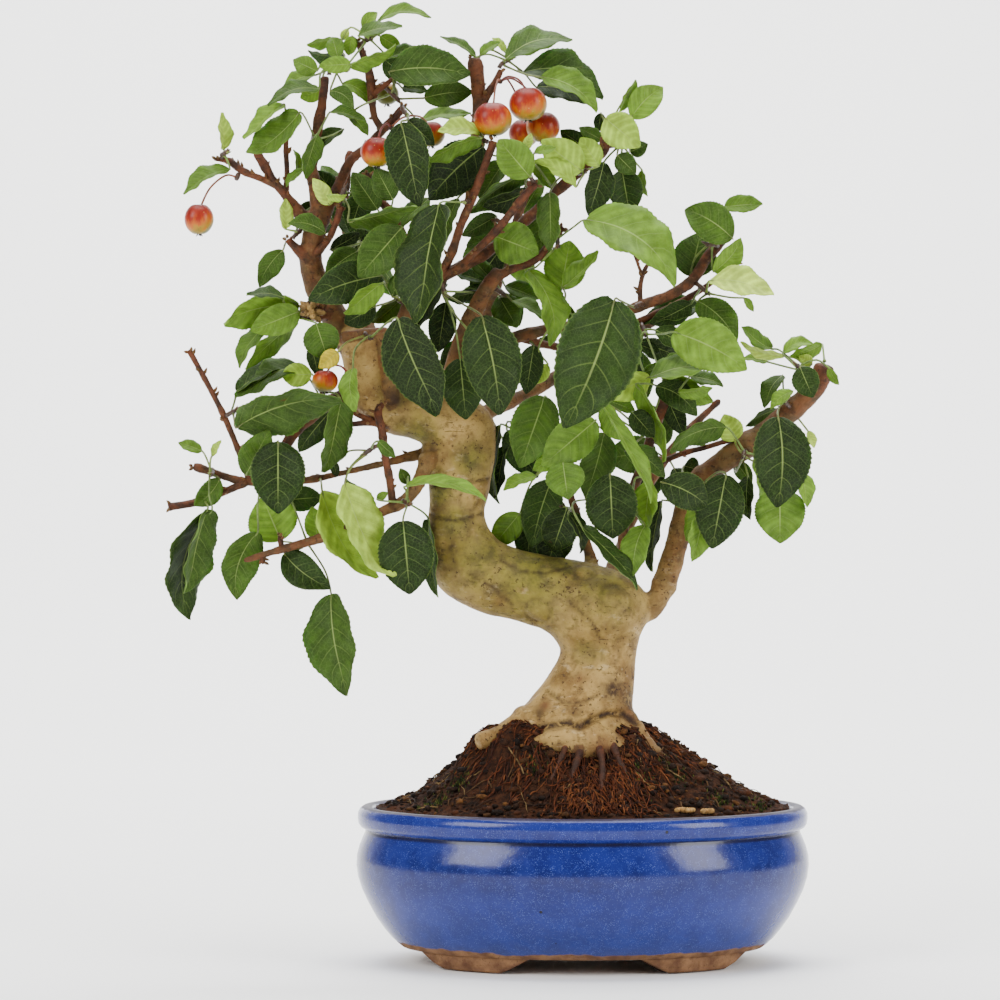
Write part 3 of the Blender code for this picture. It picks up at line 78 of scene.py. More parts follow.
# Left edge and right edge of the trunk on the front view, from the soil up to the cut top.
TRUNK_EDGES = (
    (508, 785, 638, 785), (507, 755, 639, 752), (508, 735, 637, 733), (514, 717, 634, 719),
    (528, 701, 633, 703), (541, 685, 634, 688), (551, 671, 635, 672), (558, 658, 636, 658),
    (560, 650, 638, 645), (557, 643, 642, 631), (552, 636, 650, 615), (546, 631, 645, 592),
    (540, 628, 623, 573), (532, 626, 588, 563), (518, 622, 553, 557), (499, 617, 532, 552),
    (479, 612, 514, 547), (458, 602, 502, 542), (440, 589, 494, 536), (430, 572, 488, 527),
    (425, 552, 485, 520), (425, 535, 484, 512), (428, 517, 485, 505), (429, 500, 488, 497),
    (428, 482, 491, 480), (430, 464, 494, 462), (428, 452, 496, 440), (420, 443, 493, 418),
    (407, 438, 475, 401), (390, 434, 440, 394), (370, 424, 420, 385), (356, 410, 408, 372),
    (348, 388, 402, 362), (343, 366, 397, 350), (338, 344, 392, 331),
)
TRUNK_SIDES = 12
TRUNK_DEPTH_SHARE = 0.88

# Each limb as points of steps across, steps down, radius in steps and depth in mm.
LIMBS = {
    "front stub": ((384, 340, 9, -8), (388, 365, 9, -10.5), (391, 390, 9, -11.5), (391, 405, 6, -11)),
    "cut top": ((341, 338, 6, -7), (366, 335, 8, -8), (390, 334, 6, -7)),
    "right limb": (
        (618, 598, 17, 2), (645, 610, 13.5, 2), (660, 594, 11.5, 2), (670, 566, 11.5, 3),
        (679, 536, 12, 4), (687, 506, 12.5, 5), (702, 480, 12.5, 5), (728, 458, 12, 3),
        (758, 438, 12, 0), (788, 413, 11, -3), (809, 395, 10.5, -5), (820, 379, 10.5, -6),
        (825, 365, 9.5, -7),
    ),
    "inner left": (
        (593, 590, 8, 4), (591, 560, 6, 6), (583, 535, 5, 8), (574, 508, 4.5, 9),
        (566, 475, 4.5, 9), (568, 440, 4, 8), (585, 405, 3.5, 6),
    ),
    "inner right": (
        (620, 596, 9, 6), (622, 565, 6.5, 8), (623, 535, 6, 9), (628, 503, 6, 9),
        (640, 472, 5.5, 8), (650, 442, 5.5, 6), (660, 412, 6, 2), (671, 385, 5.5, 0),
    ),
    "low right twig": (
        (639, 472, 4, 8), (662, 462, 3.6, 6), (684, 453, 3.4, 4), (707, 447, 3.2, 2),
        (735, 438, 3, 0),
    ),
    "centre limb": (
        (447, 422, 15, 2), (452, 385, 10.5, -2), (458, 350, 9.5, -4), (472, 318, 9, -6),
        (487, 288, 8.5, -8), (500, 270, 7, -9),
    ),
    "centre twig": (
        (490, 282, 6.5, -8), (510, 270, 5, -9), (534, 261, 4.5, -10), (548, 246, 4, -10),
        (563, 226, 4.5, -11),
    ),
    "upper limb": (
        (385, 372, 14, 0), (400, 335, 10.5, -2), (412, 305, 9.5, -4), (428, 285, 9, -6),
        (448, 269, 8, -8),
    ),
    "twig a": (
        (440, 277, 6, -7), (452, 252, 5.5, -11), (461, 225, 5, -14), (473, 197, 5, -16),
        (484, 168, 4.6, -17), (494, 141, 5, -18),
    ),
    "twig b": (
        (436, 282, 6, -7), (458, 268, 4.8, -12), (476, 251, 4.6, -15), (497, 230, 5, -17),
        (515, 208, 4.6, -18), (527, 193, 5, -18), (537, 184, 3.5, -18),
    ),
    "twig c": (
        (438, 278, 6.5, -6), (470, 262, 6, -4), (500, 243, 6, -3), (525, 221, 6, -2),
        (550, 198, 6, -2), (572, 178, 6, -3), (590, 163, 5, -4), (604, 150, 6.5, -6),
        (604, 134, 4, -6),
    ),
    "left limb": (
        (374, 374, 19, 2), (350, 340, 16, 1), (332, 312, 14, 0), (317, 285, 12.5, -1),
        (310, 258, 11.5, -2), (314, 235, 11, -2), (319, 212, 9.5, -2), (316, 190, 7.5, -3),
        (312, 170, 6, -3), (314, 148, 5.5, -4), (319, 122, 5, -4), (323, 98, 4.6, -5),
        (325, 76, 5.6, -5),
    ),
    "left inner limb": (
        (319, 228, 7.5, -2), (331, 203, 6, 0), (340, 182, 5.5, 2), (351, 160, 5.5, 2),
        (367, 147, 5, 2), (382, 131, 5, 0), (395, 117, 5, -3), (404, 107, 5, -4),
    ),
    "left stub": ((314, 256, 5.5, -4), (328, 240, 4.2, -8), (336, 223, 3.8, -10), (341, 206, 4.6, -12)),
    "far left limb": (
        (316, 232, 8, -3), (300, 214, 6.5, -4), (286, 196, 5.5, -5), (273, 180, 4.8, -5),
        (263, 163, 4.6, -5), (256, 152, 4.8, -5),
    ),
    "far left stub": ((285, 197, 4, -4), (287, 175, 3.3, -3), (286, 148, 3, -3), (287, 123, 4, -3)),
    "far left twig": (
        (279, 187, 4.6, -5), (262, 179, 4, -6), (249, 174, 4, -7), (238, 168, 4.6, -8),
        (229, 161, 4.4, -8), (214, 159, 1.8, -8),
    ),
    "left spur": ((311, 262, 6.5, -4), (298, 250, 5, -6), (287, 239, 4, -8)),
    "bud spur": ((328, 312, 8, -3), (319, 316, 5, -8), (306, 318, 3.6, -10)),
    "bud spur top": ((318, 316, 4.4, -8), (313, 308, 5, -10), (308, 301, 3.4, -11)),
    "bud spur tip": ((319, 315, 4.4, -8), (322, 307, 4.6, -11), (326, 302, 2.6, -12)),
    "top twig": (
        (384, 131, 4.6, -1), (375, 118, 4.2, 0), (372, 100, 4.6, 0), (371, 84, 6, 0),
        (368, 68, 5, 0), (362, 52, 4, 0), (359, 42, 5, 0),
    ),
    "top side twig": ((372, 95, 3.6, 0), (384, 86, 3.4, -2), (396, 76, 2.6, -3)),
    "middle twig": (
        (412, 302, 6.5, -4), (407, 265, 5, -5), (403, 236, 5, -5), (388, 209, 5, -5),
        (371, 192, 5, -4), (367, 172, 4, -4),
    ),
    "thick stub": (
        (467, 213, 5, -15), (472, 180, 5.6, -9), (477, 145, 6.6, -3), (479, 115, 7.6, 0),
        (478, 85, 7.6, 0), (474, 58, 6.6, 0),
    ),
    "thick stub spur": ((480, 110, 5.5, 0), (489, 92, 4.6, -2), (497, 79, 4, -3), (501, 70, 3.6, -3)),
    "right upper limb": (
        (458, 415, 10, 6), (480, 374, 8, 8), (505, 343, 7, 9), (540, 331, 6.6, 8),
        (575, 325, 6, 6), (610, 317, 6, 3), (642, 305, 6, 0), (668, 296, 5.6, -2),
        (692, 281, 5.6, -3), (707, 258, 6, -4), (725, 237, 5.6, -5),
    ),
    "right under limb": (
        (518, 337, 5.5, 9), (560, 347, 4.2, 12), (600, 340, 4.2, 10), (640, 321, 4.2, 6),
        (672, 306, 3.6, 4), (704, 288, 3.6, 3), (737, 261, 3.6, 2),
    ),
    "right thin twig": (
        (641, 307, 4, 0), (640, 290, 2.7, 1), (643, 274, 3, 1), (650, 260, 2, 1),
        (656, 246, 1.7, 1), (660, 226, 2.7, 1),
    ),
    "right thin fork": ((643, 277, 2.4, 1), (637, 262, 1.6, 0), (632, 247, 1.5, 0)),
    "upright left twig": (
        (250, 481, 4.4, -5), (238, 449, 3.6, -6), (225, 418, 3.8, -7), (213, 394, 3.4, -7),
        (200, 370, 3.3, -8), (189, 350, 3.7, -8),
    ),
    "low left limb": (
        (430, 452, 8, 3), (405, 458, 5, 0), (381, 464, 4, -2), (350, 471, 3.6, -3),
        (320, 478, 4, -4), (290, 482, 4, -5), (264, 482, 4.2, -5), (240, 481, 5, -6),
        (215, 473, 4.6, -7), (193, 466, 4.6, -8),
    ),
    "low left fork": ((247, 482, 4.6, -6), (226, 491, 4.6, -8), (197, 502, 4.6, -9), (168, 507, 4.8, -10)),
    "lowest left limb": (
        (436, 434, 13, -2), (429, 457, 9.5, -8), (421, 477, 7.5, -12), (407, 499, 6.6, -15),
        (384, 511, 5.2, -16), (350, 526, 4.6, -16), (321, 538, 5.4, -16), (283, 549, 4.2, -15),
        (243, 561, 3.9, -15),
    ),
    "lowest left bud": ((282, 551, 3.4, -15), (280, 536, 3, -15)),
    "lowest left knob": ((261, 555, 3.2, -15), (264, 564, 2.8, -15)),
    "red twig": (
        (393, 507, 5, -16), (390, 482, 4.6, -18), (385, 454, 4.6, -20), (382, 431, 5, -20),
        (378, 412, 5, -19), (383, 404, 3.2, -18),
    ),
    "dark left limb": (
        (364, 392, 10, -3), (345, 396, 8.5, -4), (325, 405, 8, -6), (305, 421, 7.2, -7),
        (290, 438, 6.6, -8), (283, 450, 5, -8),
    ),
    "dark left twig": ((388, 424, 5.5, -5), (367, 423, 3.6, -8), (346, 425, 3, -9)),
    "dark left fork": ((372, 421, 3.6, -7), (356, 414, 3, -8), (342, 405, 2.8, -9)),
    "back left limb": (
        (380, 372, 10, 8), (366, 320, 7, 24), (350, 260, 6, 36), (345, 205, 5, 43),
        (350, 150, 3.6, 46),
    ),
    "back middle limb": (
        (450, 414, 10, 6), (470, 360, 7.5, 24), (492, 300, 6.5, 36), (512, 235, 5, 43),
        (530, 180, 3.6, 46),
    ),
    "back right limb": (
        (470, 420, 9, 8), (530, 392, 6.6, 27), (585, 360, 5.6, 38), (640, 330, 4.6, 44),
        (690, 300, 3.6, 46),
    ),
    "back low limb": (
        (606, 594, 10, 8), (622, 545, 7, 24), (645, 490, 6, 34), (680, 440, 5, 40),
        (720, 400, 3.6, 42),
    ),
    "left root": ((548, 718, 26, -6), (520, 730, 18, -11), (497, 738, 11.5, -16), (477, 742, 9.6, -20)),
    "root burl": (
        (530, 750, 10, -20), (552, 742, 20, -20), (585, 744, 22, -21), (612, 748, 16, -20),
        (628, 752, 9, -18),
    ),
    "green root": ((532, 760, 8, -22), (527, 771, 6.4, -27), (521, 779, 5, -30)),
    "right root": ((622, 722, 15, -8), (645, 745, 10, -14), (660, 760, 7.4, -19), (670, 768, 6, -22)),
}
THICK_LIMB_SIDES = 6
THIN_LIMB_SIDES = 5
THICK_LIMB_RADIUS = 8.0
POINT_SLACK = 0.75

# Thin roots that run down the mound: across x in mm, depth in mm and radius in mm.
THIN_ROOTS = (
    ((33.0, -22.0, 3.4), (31.0, -31.0, 2.8), (27.0, -41.0, 1.8)),
    ((38.0, -24.0, 3.4), (40.0, -34.0, 2.6), (39.0, -46.0, 1.6)),
    ((43.0, -22.0, 3.2), (47.0, -32.0, 2.4), (52.0, -43.0, 1.4)),
    ((28.0, -22.0, 3.2), (24.0, -32.0, 2.2), (20.0, -40.0, 1.4)),
)
# Leaf tones, read from how bright each leaf looked: partly the leaf's own green and partly painted light
# and shade, darker where a leaf lay in shade and lighter where it was lit.
DARK, MID, LIGHT, PALE, YELLOW = range(5)

# Each spray: the place that its shoot grows at (steps, steps, mm), and its leaves. A leaf is the
# place of its blade's base and tip, its width as seen, its depth in mm, its tone and, where the
# midrib is bowed, how far it bows to the left of the way from base to tip, in steps.
SPRAYS = {
    "spray_far_left": ((230, 162, -8), (
        (224, 150, 219, 112, 14, -6, PALE), (230, 169, 184, 196, 15, -10, LIGHT, -3),
    )),
    "spray_left_upright": ((315, 130, -4), (
        (300, 112, 248, 156, 28, -12, LIGHT, 5), (317, 134, 303, 178, 17, -9, MID, -3),
        (344, 129, 316, 165, 17, -1, MID, -5), (330, 112, 364, 123, 12, -8, MID, 2),
        (298, 176, 295, 149, 7, -6, LIGHT), (303, 170, 285, 186, 8, -8, LIGHT),
    )),
    "spray_left_top": ((324, 80, -5), (
        (316, 75, 283, 90, 14, -3, LIGHT, -2), (317, 71, 293, 60, 20, -9, LIGHT),
        (319, 89, 268, 108, 14, -12, MID, -6), (321, 90, 300, 98, 18, 2, LIGHT),
        (351, 64, 318, 66, 18, -12, LIGHT), (344, 43, 307, 48, 12, 3, LIGHT, -6),
        (338, 58, 332, 36, 18, -6, LIGHT), (330, 91, 354, 109, 18, -10, MID, 5),
        (342, 83, 371, 105, 16, 1, LIGHT, 4), (345, 56, 307, 53, 13, 9, DARK),
    )),
    "spray_top": ((360, 44, 0), (
        (363, 31, 378, 12, 14, -4, LIGHT, 3), (376, 23, 432, 20, 11, 0, LIGHT, 7),
        (358, 36, 403, 28, 13, -8, MID, 2), (348, 65, 398, 47, 14, -13, LIGHT, 2),
        (380, 36, 402, 50, 16, 3, LIGHT), (342, 40, 348, 28, 9, -2, PALE),
        (388, 58, 425, 50, 12, -3, MID),
    )),
    "spray_top_middle": ((380, 88, -1), (
        (389, 72, 471, 76, 42, -8, MID, 5), (385, 60, 412, 82, 26, 6, DARK),
        (424, 98, 472, 92, 28, 3, MID, 2), (418, 122, 472, 117, 12, 9, LIGHT, 2),
        (350, 114, 368, 136, 14, -4, LIGHT),
    )),
    "spray_stub_top": ((488, 68, -1), (
        (476, 57, 439, 39, 8, -3, MID, -2), (480, 55, 500, 42, 10, -6, LIGHT),
        (505, 60, 573, 44, 24, -8, MID, 8), (522, 73, 601, 104, 32, -1, MID, 14),
        (540, 77, 598, 111, 26, -10, LIGHT, 5), (536, 87, 590, 103, 24, 8, DARK, 3),
        (505, 52, 492, 38, 8, 1, PALE),
    )),
    "spray_twig_a": ((493, 146, -17), (
        (481, 138, 428, 164, 16, -20, LIGHT, -8), (480, 133, 437, 134, 18, -14, PALE, -4),
        (484, 146, 428, 201, 50, -5, DARK, -3),
    )),
    "spray_inner_spur": ((407, 104, -8), (
        (401, 122, 418, 207, 44, -26, DARK, 2), (408, 120, 434, 145, 22, -16, DARK),
    )),
    "spray_twig_b": ((533, 187, -18), (
        (530, 177, 498, 139, 36, -24, LIGHT), (526, 174, 468, 218, 18, -10, MID, -8),
        (534, 153, 556, 149, 9, -22, LIGHT), (524, 151, 531, 133, 10, -21, PALE),
        (527, 190, 481, 204, 22, -2, DARK, 2),
    )),
    "spray_twig_c": ((574, 177, -4), (
        (582, 171, 541, 140, 36, -10, PALE), (599, 166, 581, 138, 24, -12, PALE),
        (576, 187, 533, 161, 16, -17, PALE, -3), (550, 192, 551, 251, 24, -7, MID, 3),
        (588, 150, 560, 130, 20, 4, DARK),
    )),
    "spray_twig_c_end": ((607, 148, -6), (
        (631, 118, 663, 87, 31, -4, LIGHT, 3), (605, 118, 640, 147, 38, -12, PALE),
        (630, 152, 648, 144, 18, 3, MID), (617, 155, 636, 174, 22, -6, MID),
        (622, 170, 630, 216, 38, 3, DARK), (604, 162, 588, 216, 30, -4, DARK),
        (601, 113, 598, 132, 12, 5, DARK), (642, 170, 646, 197, 10, 7, LIGHT),
    )),
    "spray_left_stub": ((340, 210, -12), (
        (329, 205, 313, 178, 16, -14, PALE), (327, 196, 347, 196, 8, -17, PALE),
        (336, 196, 316, 171, 24, 1, DARK), (348, 222, 417, 204, 20, -18, MID, 3),
        (362, 195, 350, 232, 28, -3, DARK),
    )),
    "spray_left_spur": ((290, 241, -8), (
        (285, 229, 284, 199, 14, -6, PALE), (325, 233, 288, 223, 18, -12, MID, -3),
        (283, 250, 258, 287, 22, -8, MID, -4), (316, 204, 296, 216, 16, 6, DARK),
    )),
    "spray_bud_cluster": ((312, 314, -10), (
        (300, 306, 222, 322, 34, -10, LIGHT, -8), (300, 311, 250, 331, 32, -15, LIGHT),
        (284, 298, 246, 297, 11, 1, DARK, -2), (298, 321, 244, 369, 17, -12, LIGHT, -7),
        (316, 323, 328, 360, 36, -20, MID),
    )),
    "spray_middle_twig": ((403, 234, -5), (
        (402, 227, 358, 278, 44, -18, MID), (358, 251, 325, 276, 26, -10, MID, -2),
        (378, 210, 352, 172, 28, -9, MID), (393, 200, 376, 168, 26, -14, MID),
        (330, 250, 360, 233, 18, 1, DARK),
    )),
    "spray_upper_limb": ((392, 300, -2), (
        (382, 276, 309, 300, 44, -12, DARK, -4), (382, 283, 345, 316, 22, -18, LIGHT, -3),
        (376, 306, 344, 324, 26, -5, DARK), (392, 296, 408, 268, 16, -12, MID),
    )),
    "spray_trunk_top": ((366, 334, -8), (
        (397, 318, 440, 413, 54, -38, DARK, -2), (353, 368, 358, 412, 19, -28, LIGHT, -4),
        (338, 352, 319, 368, 18, -19, YELLOW),
    )),
    "spray_limb_joint": ((444, 288, -8), (
        (481, 315, 500, 416, 58, -34, DARK, 3), (460, 358, 466, 420, 42, -17, DARK),
        (486, 292, 446, 300, 14, -1, DARK, -3), (468, 330, 478, 372, 12, -9, MID),
        (446, 302, 438, 352, 28, 4, DARK),
    )),
    "spray_folded": ((471, 199, -16), (
        (440, 203, 421, 327, 48, -30, DARK, 3),
    )),
    "spray_twig_b_low": ((505, 222, -17), (
        (497, 216, 462, 236, 22, -8, MID), (495, 236, 539, 253, 42, -8, LIGHT),
    )),
    "spray_centre_tip": ((560, 229, -11), (
        (584, 220, 677, 282, 50, -18, LIGHT, 10), (528, 270, 555, 344, 27, -8, LIGHT, 4),
    )),
    "spray_centre_limb": ((494, 284, -8), (
        (500, 298, 517, 327, 32, 4, MID), (490, 278, 468, 256, 16, 1, MID),
        (512, 301, 545, 322, 12, -3, LIGHT, 3), (484, 282, 455, 274, 14, 6, DARK),
    )),
    "spray_behind_big": ((558, 325, 7), (
        (561, 290, 570, 240, 42, 0, LIGHT), (563, 288, 601, 253, 16, -8, LIGHT, -2),
        (556, 340, 532, 348, 12, 12, DARK), (548, 364, 536, 384, 14, 8, PALE),
        (575, 318, 558, 300, 12, 12, MID),
    )),
    "spray_big_leaf": ((643, 303, 0), (
        (615, 299, 565, 428, 82, -30, DARK, 4),
    )),
    "spray_right_tip": ((724, 239, -5), (
        (733, 239, 684, 209, 40, -10, MID, -4), (724, 207, 763, 204, 19, 0, LIGHT),
        (713, 272, 742, 238, 22, -9, LIGHT, -2), (690, 277, 701, 232, 44, 3, MID),
    )),
    "spray_right_upper": ((700, 285, 2), (
        (709, 281, 774, 299, 27, -16, PALE, 4), (744, 298, 753, 312, 8, -6, LIGHT),
        (698, 301, 738, 345, 32, -4, MID, 6), (691, 304, 650, 324, 24, 3, DARK),
    )),
    "spray_right_middle": ((641, 325, 6), (
        (673, 332, 748, 370, 52, -22, LIGHT, 4), (655, 330, 691, 350, 20, -6, DARK),
        (650, 378, 722, 370, 20, -28, LIGHT, 4), (644, 372, 682, 352, 16, -8, MID),
        (640, 345, 660, 352, 14, 2, DARK),
    )),
    "spray_inner_right_top": ((671, 385, 0), (
        (662, 378, 713, 404, 28, -14, LIGHT, 3), (678, 392, 712, 386, 12, -20, LIGHT),
        (656, 386, 697, 416, 28, -12, DARK, 6), (690, 376, 724, 384, 14, 5, MID),
    )),
    "spray_limb_end": ((815, 378, -6), (
        (783, 353, 815, 344, 13, 0, LIGHT, 4), (800, 367, 813, 398, 27, -16, DARK),
        (829, 368, 839, 385, 9, -4, LIGHT), (812, 364, 799, 356, 13, 1, PALE),
        (785, 356, 740, 342, 10, 4, PALE, 1), (772, 349, 743, 325, 15, 8, LIGHT, 4),
        (768, 362, 742, 358, 10, 10, LIGHT),
    )),
    "spray_limb_near_end": ((788, 412, -3), (
        (783, 375, 766, 410, 17, -8, MID, -3), (793, 391, 770, 409, 13, -12, LIGHT, -2),
        (780, 409, 745, 426, 14, 2, MID, -4), (778, 416, 777, 508, 60, -24, DARK, 5),
        (808, 431, 815, 448, 9, 6, PALE),
    )),
    "spray_limb_under": ((745, 449, 1), (
        (780, 488, 780, 545, 50, -10, LIGHT), (755, 455, 767, 505, 20, -5, LIGHT),
        (735, 441, 724, 414, 27, 1, PALE), (726, 427, 668, 450, 22, -8, MID, -10),
        (736, 462, 752, 484, 18, 6, MID),
    )),
    "spray_limb_crook": ((698, 482, 5), (
        (726, 474, 712, 549, 48, -18, DARK), (661, 482, 708, 507, 38, -26, DARK, 4),
        (698, 504, 687, 541, 20, -5, LIGHT, 3), (704, 507, 692, 562, 25, -10, LIGHT),
        (684, 466, 700, 470, 22, 14, DARK),
    )),
    "spray_inner_right_middle": ((650, 442, 6), (
        (636, 384, 671, 460, 17, -18, LIGHT, 6), (650, 377, 602, 397, 28, -12, PALE),
        (603, 404, 658, 500, 14, -32, LIGHT, -5), (605, 402, 621, 442, 20, -24, LIGHT),
        (625, 451, 664, 478, 22, -9, MID, 4), (632, 412, 655, 438, 24, -2, DARK),
    )),
    "spray_inner_right_low": ((627, 503, 9), (
        (610, 474, 613, 540, 52, -16, DARK), (651, 480, 645, 530, 23, -10, LIGHT),
        (645, 525, 634, 578, 28, -12, LIGHT, -3), (582, 527, 642, 587, 16, -22, DARK, -3),
    )),
    "spray_inner_left_low": ((576, 512, 9), (
        (552, 479, 532, 548, 40, 8, DARK, -2), (567, 508, 552, 552, 38, -4, DARK),
        (568, 513, 583, 553, 14, -12, DARK, 2),
    )),
    "spray_inner_left_middle": ((570, 446, 8), (
        (596, 420, 542, 466, 42, -22, LIGHT), (563, 463, 568, 500, 38, -28, LIGHT),
        (545, 396, 520, 468, 48, -12, MID), (501, 424, 494, 504, 15, 13, DARK),
        (536, 476, 503, 490, 13, 2, LIGHT), (520, 513, 493, 546, 28, 6, LIGHT),
        (556, 457, 533, 470, 18, -9, LIGHT), (507, 430, 538, 478, 34, 16, DARK),
    )),
    "spray_left_upright_twig": ((226, 416, -7), (
        (236, 428, 342, 398, 42, -18, MID, 15), (236, 393, 300, 365, 16, -5, DARK, 5),
    )),
    "spray_low_left_fork": ((218, 474, -7), (
        (202, 451, 178, 443, 12, -6, LIGHT), (212, 456, 221, 440, 7, -8, PALE),
        (220, 479, 194, 506, 24, -12, MID, 3), (212, 510, 189, 620, 40, -18, DARK, -20),
    )),
    "spray_low_left": ((258, 482, -5), (
        (246, 475, 269, 430, 34, -9, MID), (278, 441, 278, 515, 54, -22, DARK),
        (258, 532, 236, 600, 36, -10, MID, -10), (277, 430, 255, 426, 13, 1, LIGHT),
    )),
    "spray_dark_limb": ((330, 402, -6), (
        (312, 374, 281, 376, 25, -10, PALE), (311, 346, 319, 379, 18, -6, DARK),
        (341, 401, 326, 474, 28, -16, MID, -3), (292, 412, 278, 424, 14, -1, PALE),
    )),
    "spray_lowest_left": ((312, 541, -16), (
        (281, 541, 262, 496, 52, -8, LIGHT), (285, 500, 323, 497, 27, 2, DARK),
        (318, 540, 312, 506, 22, -4, LIGHT), (284, 553, 330, 588, 34, -10, DARK, -4),
        (331, 593, 350, 697, 50, -14, MID, -3),
    )),
    "spray_red_twig": ((379, 440, -20), (
        (345, 482, 389, 580, 38, -24, PALE, -8), (378, 441, 396, 457, 12, -25, MID),
        (346, 479, 371, 507, 14, -10, MID), (333, 461, 337, 477, 10, -8, DARK),
    )),
    "spray_red_twig_low": ((398, 494, -17), (
        (404, 487, 487, 500, 12, -30, LIGHT, 5), (403, 520, 410, 595, 58, -22, DARK),
        (428, 518, 436, 598, 15, 6, DARK, 3), (377, 499, 388, 492, 9, -20, LIGHT),
        (408, 484, 400, 468, 12, -8, MID),
    )),
    "spray_back_left": ((347, 215, 43), (
        (342, 204, 322, 164, 24, 48, MID), (356, 222, 360, 268, 30, 50, DARK),
        (352, 206, 374, 162, 26, 46, MID), (362, 226, 404, 300, 30, 53, MID),
        (338, 222, 302, 234, 20, 47, DARK),
    )),
    "spray_back_middle": ((515, 225, 43), (
        (522, 214, 546, 176, 22, 47, MID), (524, 232, 552, 262, 26, 50, MID),
        (508, 236, 462, 258, 30, 52, MID), (508, 240, 478, 285, 26, 54, DARK),
        (520, 240, 534, 296, 26, 52, LIGHT),
    )),
    "spray_back_right": ((630, 335, 43), (
        (622, 340, 590, 392, 40, 50, DARK), (632, 350, 648, 398, 30, 52, MID),
        (640, 340, 680, 356, 22, 49, DARK), (618, 330, 582, 318, 26, 47, MID),
    )),
    "spray_back_low": ((668, 455, 40), (
        (656, 452, 604, 458, 40, 46, MID), (660, 462, 634, 508, 30, 50, DARK),
        (674, 468, 694, 512, 26, 48, DARK), (664, 446, 652, 404, 28, 50, MID),
    )),
}

# Each bunch: where its stalks meet (steps, steps, mm), and its fruit as centre, width as seen,
# height over width and depth in mm.
FRUIT = {
    "fruit_far_left": ((240, 178, -10), ((199, 219, 29, 1.12, -12),)),
    "fruit_bunch_top": ((499, 76, -6), (
        (493, 119, 38, 0.94, -16), (528, 104, 38, 0.94, -12), (543, 127, 34, 0.96, 2),
        (524, 133, 31, 0.96, 14),
    )),
    "fruit_pair": ((386, 126, -8), ((377, 152, 33, 0.96, -16), (431, 134, 28, 0.96, -6))),
    "fruit_shaded": ((379, 86, 3), ((387, 94, 24, 0.95, 10),)),
    "fruit_low_pink": ((344, 372, -10), ((325, 381, 26, 0.9, -16),)),
}
FRUIT_SIDES = 8

# Bits lying on the soil: where they lie across and through, in mm, their length and turn.
LITTER = {
    "litter_left": (71.5, -51.0, 7.5, 8.0),
    "litter_right": (80.5, -47.5, 7.0, 55.0),
}

# How far along the blade its edge points are and how far out each reaches, by their number.
EDGE_POINTS = {
    7: ((0.06, 0.19, 0.33, 0.47, 0.61, 0.75, 0.88), (1.0, 0.98, 1.05, 0.95, 1.06, 0.94, 1.04)),
    5: ((0.08, 0.26, 0.45, 0.65, 0.84), (1.0, 1.0, 1.04, 0.94, 1.05)),
    3: ((0.14, 0.42, 0.74), (1.0, 1.02, 0.98)),
}

# How much nearer or farther a leaf may stand than it was read to, in the order tried, mm.
DEPTH_TRIES = (0, -3, 3, -6, 6, -9, 9, -12, 12, -16, 16, -20, 20, -25, 25, -30, 30)

# How far a stalk bends out of its face and to one side, as shares of its reach, in order tried.
BENDS = ((0.14, 0.0), (0.38, 0.0), (0.25, 0.3), (0.25, -0.3))

# Width of a leaf over its length, where it is seen on edge.
NATURAL_WIDTH = 0.54


def spot(across, down, depth):
    """The point, in mm, that shows at a place of the front view and lies at a depth."""
    grow = (EYE_DISTANCE + depth) / EYE_DISTANCE
    height = (GROUND_STEP - down) * STEP
    return Vector(
        ((across - MIDDLE_STEP) * STEP * grow, depth, EYE_HEIGHT + (height - EYE_HEIGHT) * grow)
    )


def soil_height(x, y):
    """Height of the soil's surface without its crumbs."""
    half = 86.0 if x > SOIL_MIDDLE_X else 80.0
    away = math.hypot((x - SOIL_MIDDLE_X) / half, y / 62.0)
    t = min(max((away - 0.2) / 0.8, 0.0), 1.0)
    return SOIL_EDGE_HEIGHT + SOIL_MOUND_HEIGHT * (1 - t * t * (3 - 2 * t))


def ring_faces(rows, sides):
    """Triangles between rings of points, with a fan over the first and the last ring."""
    faces = []
    for k in range(rows - 1):
        for i in range(sides):
            a, b = k * sides + i, k * sides + (i + 1) % sides
            faces += [(a, b, b + sides), (a, b + sides, a + sides)]
    last = (rows - 1) * sides
    for i in range(1, sides - 1):
        faces += [(0, i + 1, i), (last, last + i, last + i + 1)]
    return faces


def tube(path, radii, sides, turn=0.0):
    """Vertices and faces of a closed tube of the given radii along a path of points."""
    verts = []
    across = None
    for k, point in enumerate(path):
        along = (path[min(k + 1, len(path) - 1)] - path[max(k - 1, 0)]).normalized()
        if across is None:
            across = Vector((0, 1, 0)) if abs(along.y) < 0.8 else Vector((1, 0, 0))
        across = (across - along * across.dot(along)).normalized()
        other = along.cross(across)
        for i in range(sides):
            angle = math.tau * i / sides + turn
            verts.append(
                point + across * math.cos(angle) * radii[k] + other * math.sin(angle) * radii[k]
            )
    return verts, ring_faces(len(path), sides)


def slimmed(path, radii):
    """Leaves out the points of a path that its neighbours already give."""
    kept = list(zip(path, radii))
    k = 1
    while k < len(kept) - 1:
        (a, ra), (b, rb), (c, rc) = kept[k - 1:k + 2]
        share = min(max((b - a).dot(c - a) / (c - a).length_squared, 0.0), 1.0)
        off = (a.lerp(c, share) - b).length + abs(ra + (rc - ra) * share - rb)
        if off < POINT_SLACK:
            kept.pop(k)
        else:
            k += 1
    return [point for point, radius in kept], [radius for point, radius in kept]


def limb_line(points, slim=1.0):
    """A limb's places and radii, in mm."""
    return [spot(x, z, y) for x, z, r, y in points], [r * STEP * slim for x, z, r, y in points]


def limb_tube(points):
    path, radii = limb_line(points)
    thick = max(radii) > THICK_LIMB_RADIUS * STEP
    path, radii = slimmed(path, radii)
    return tube(path, radii, THICK_LIMB_SIDES if thick else THIN_LIMB_SIDES, 0.3)


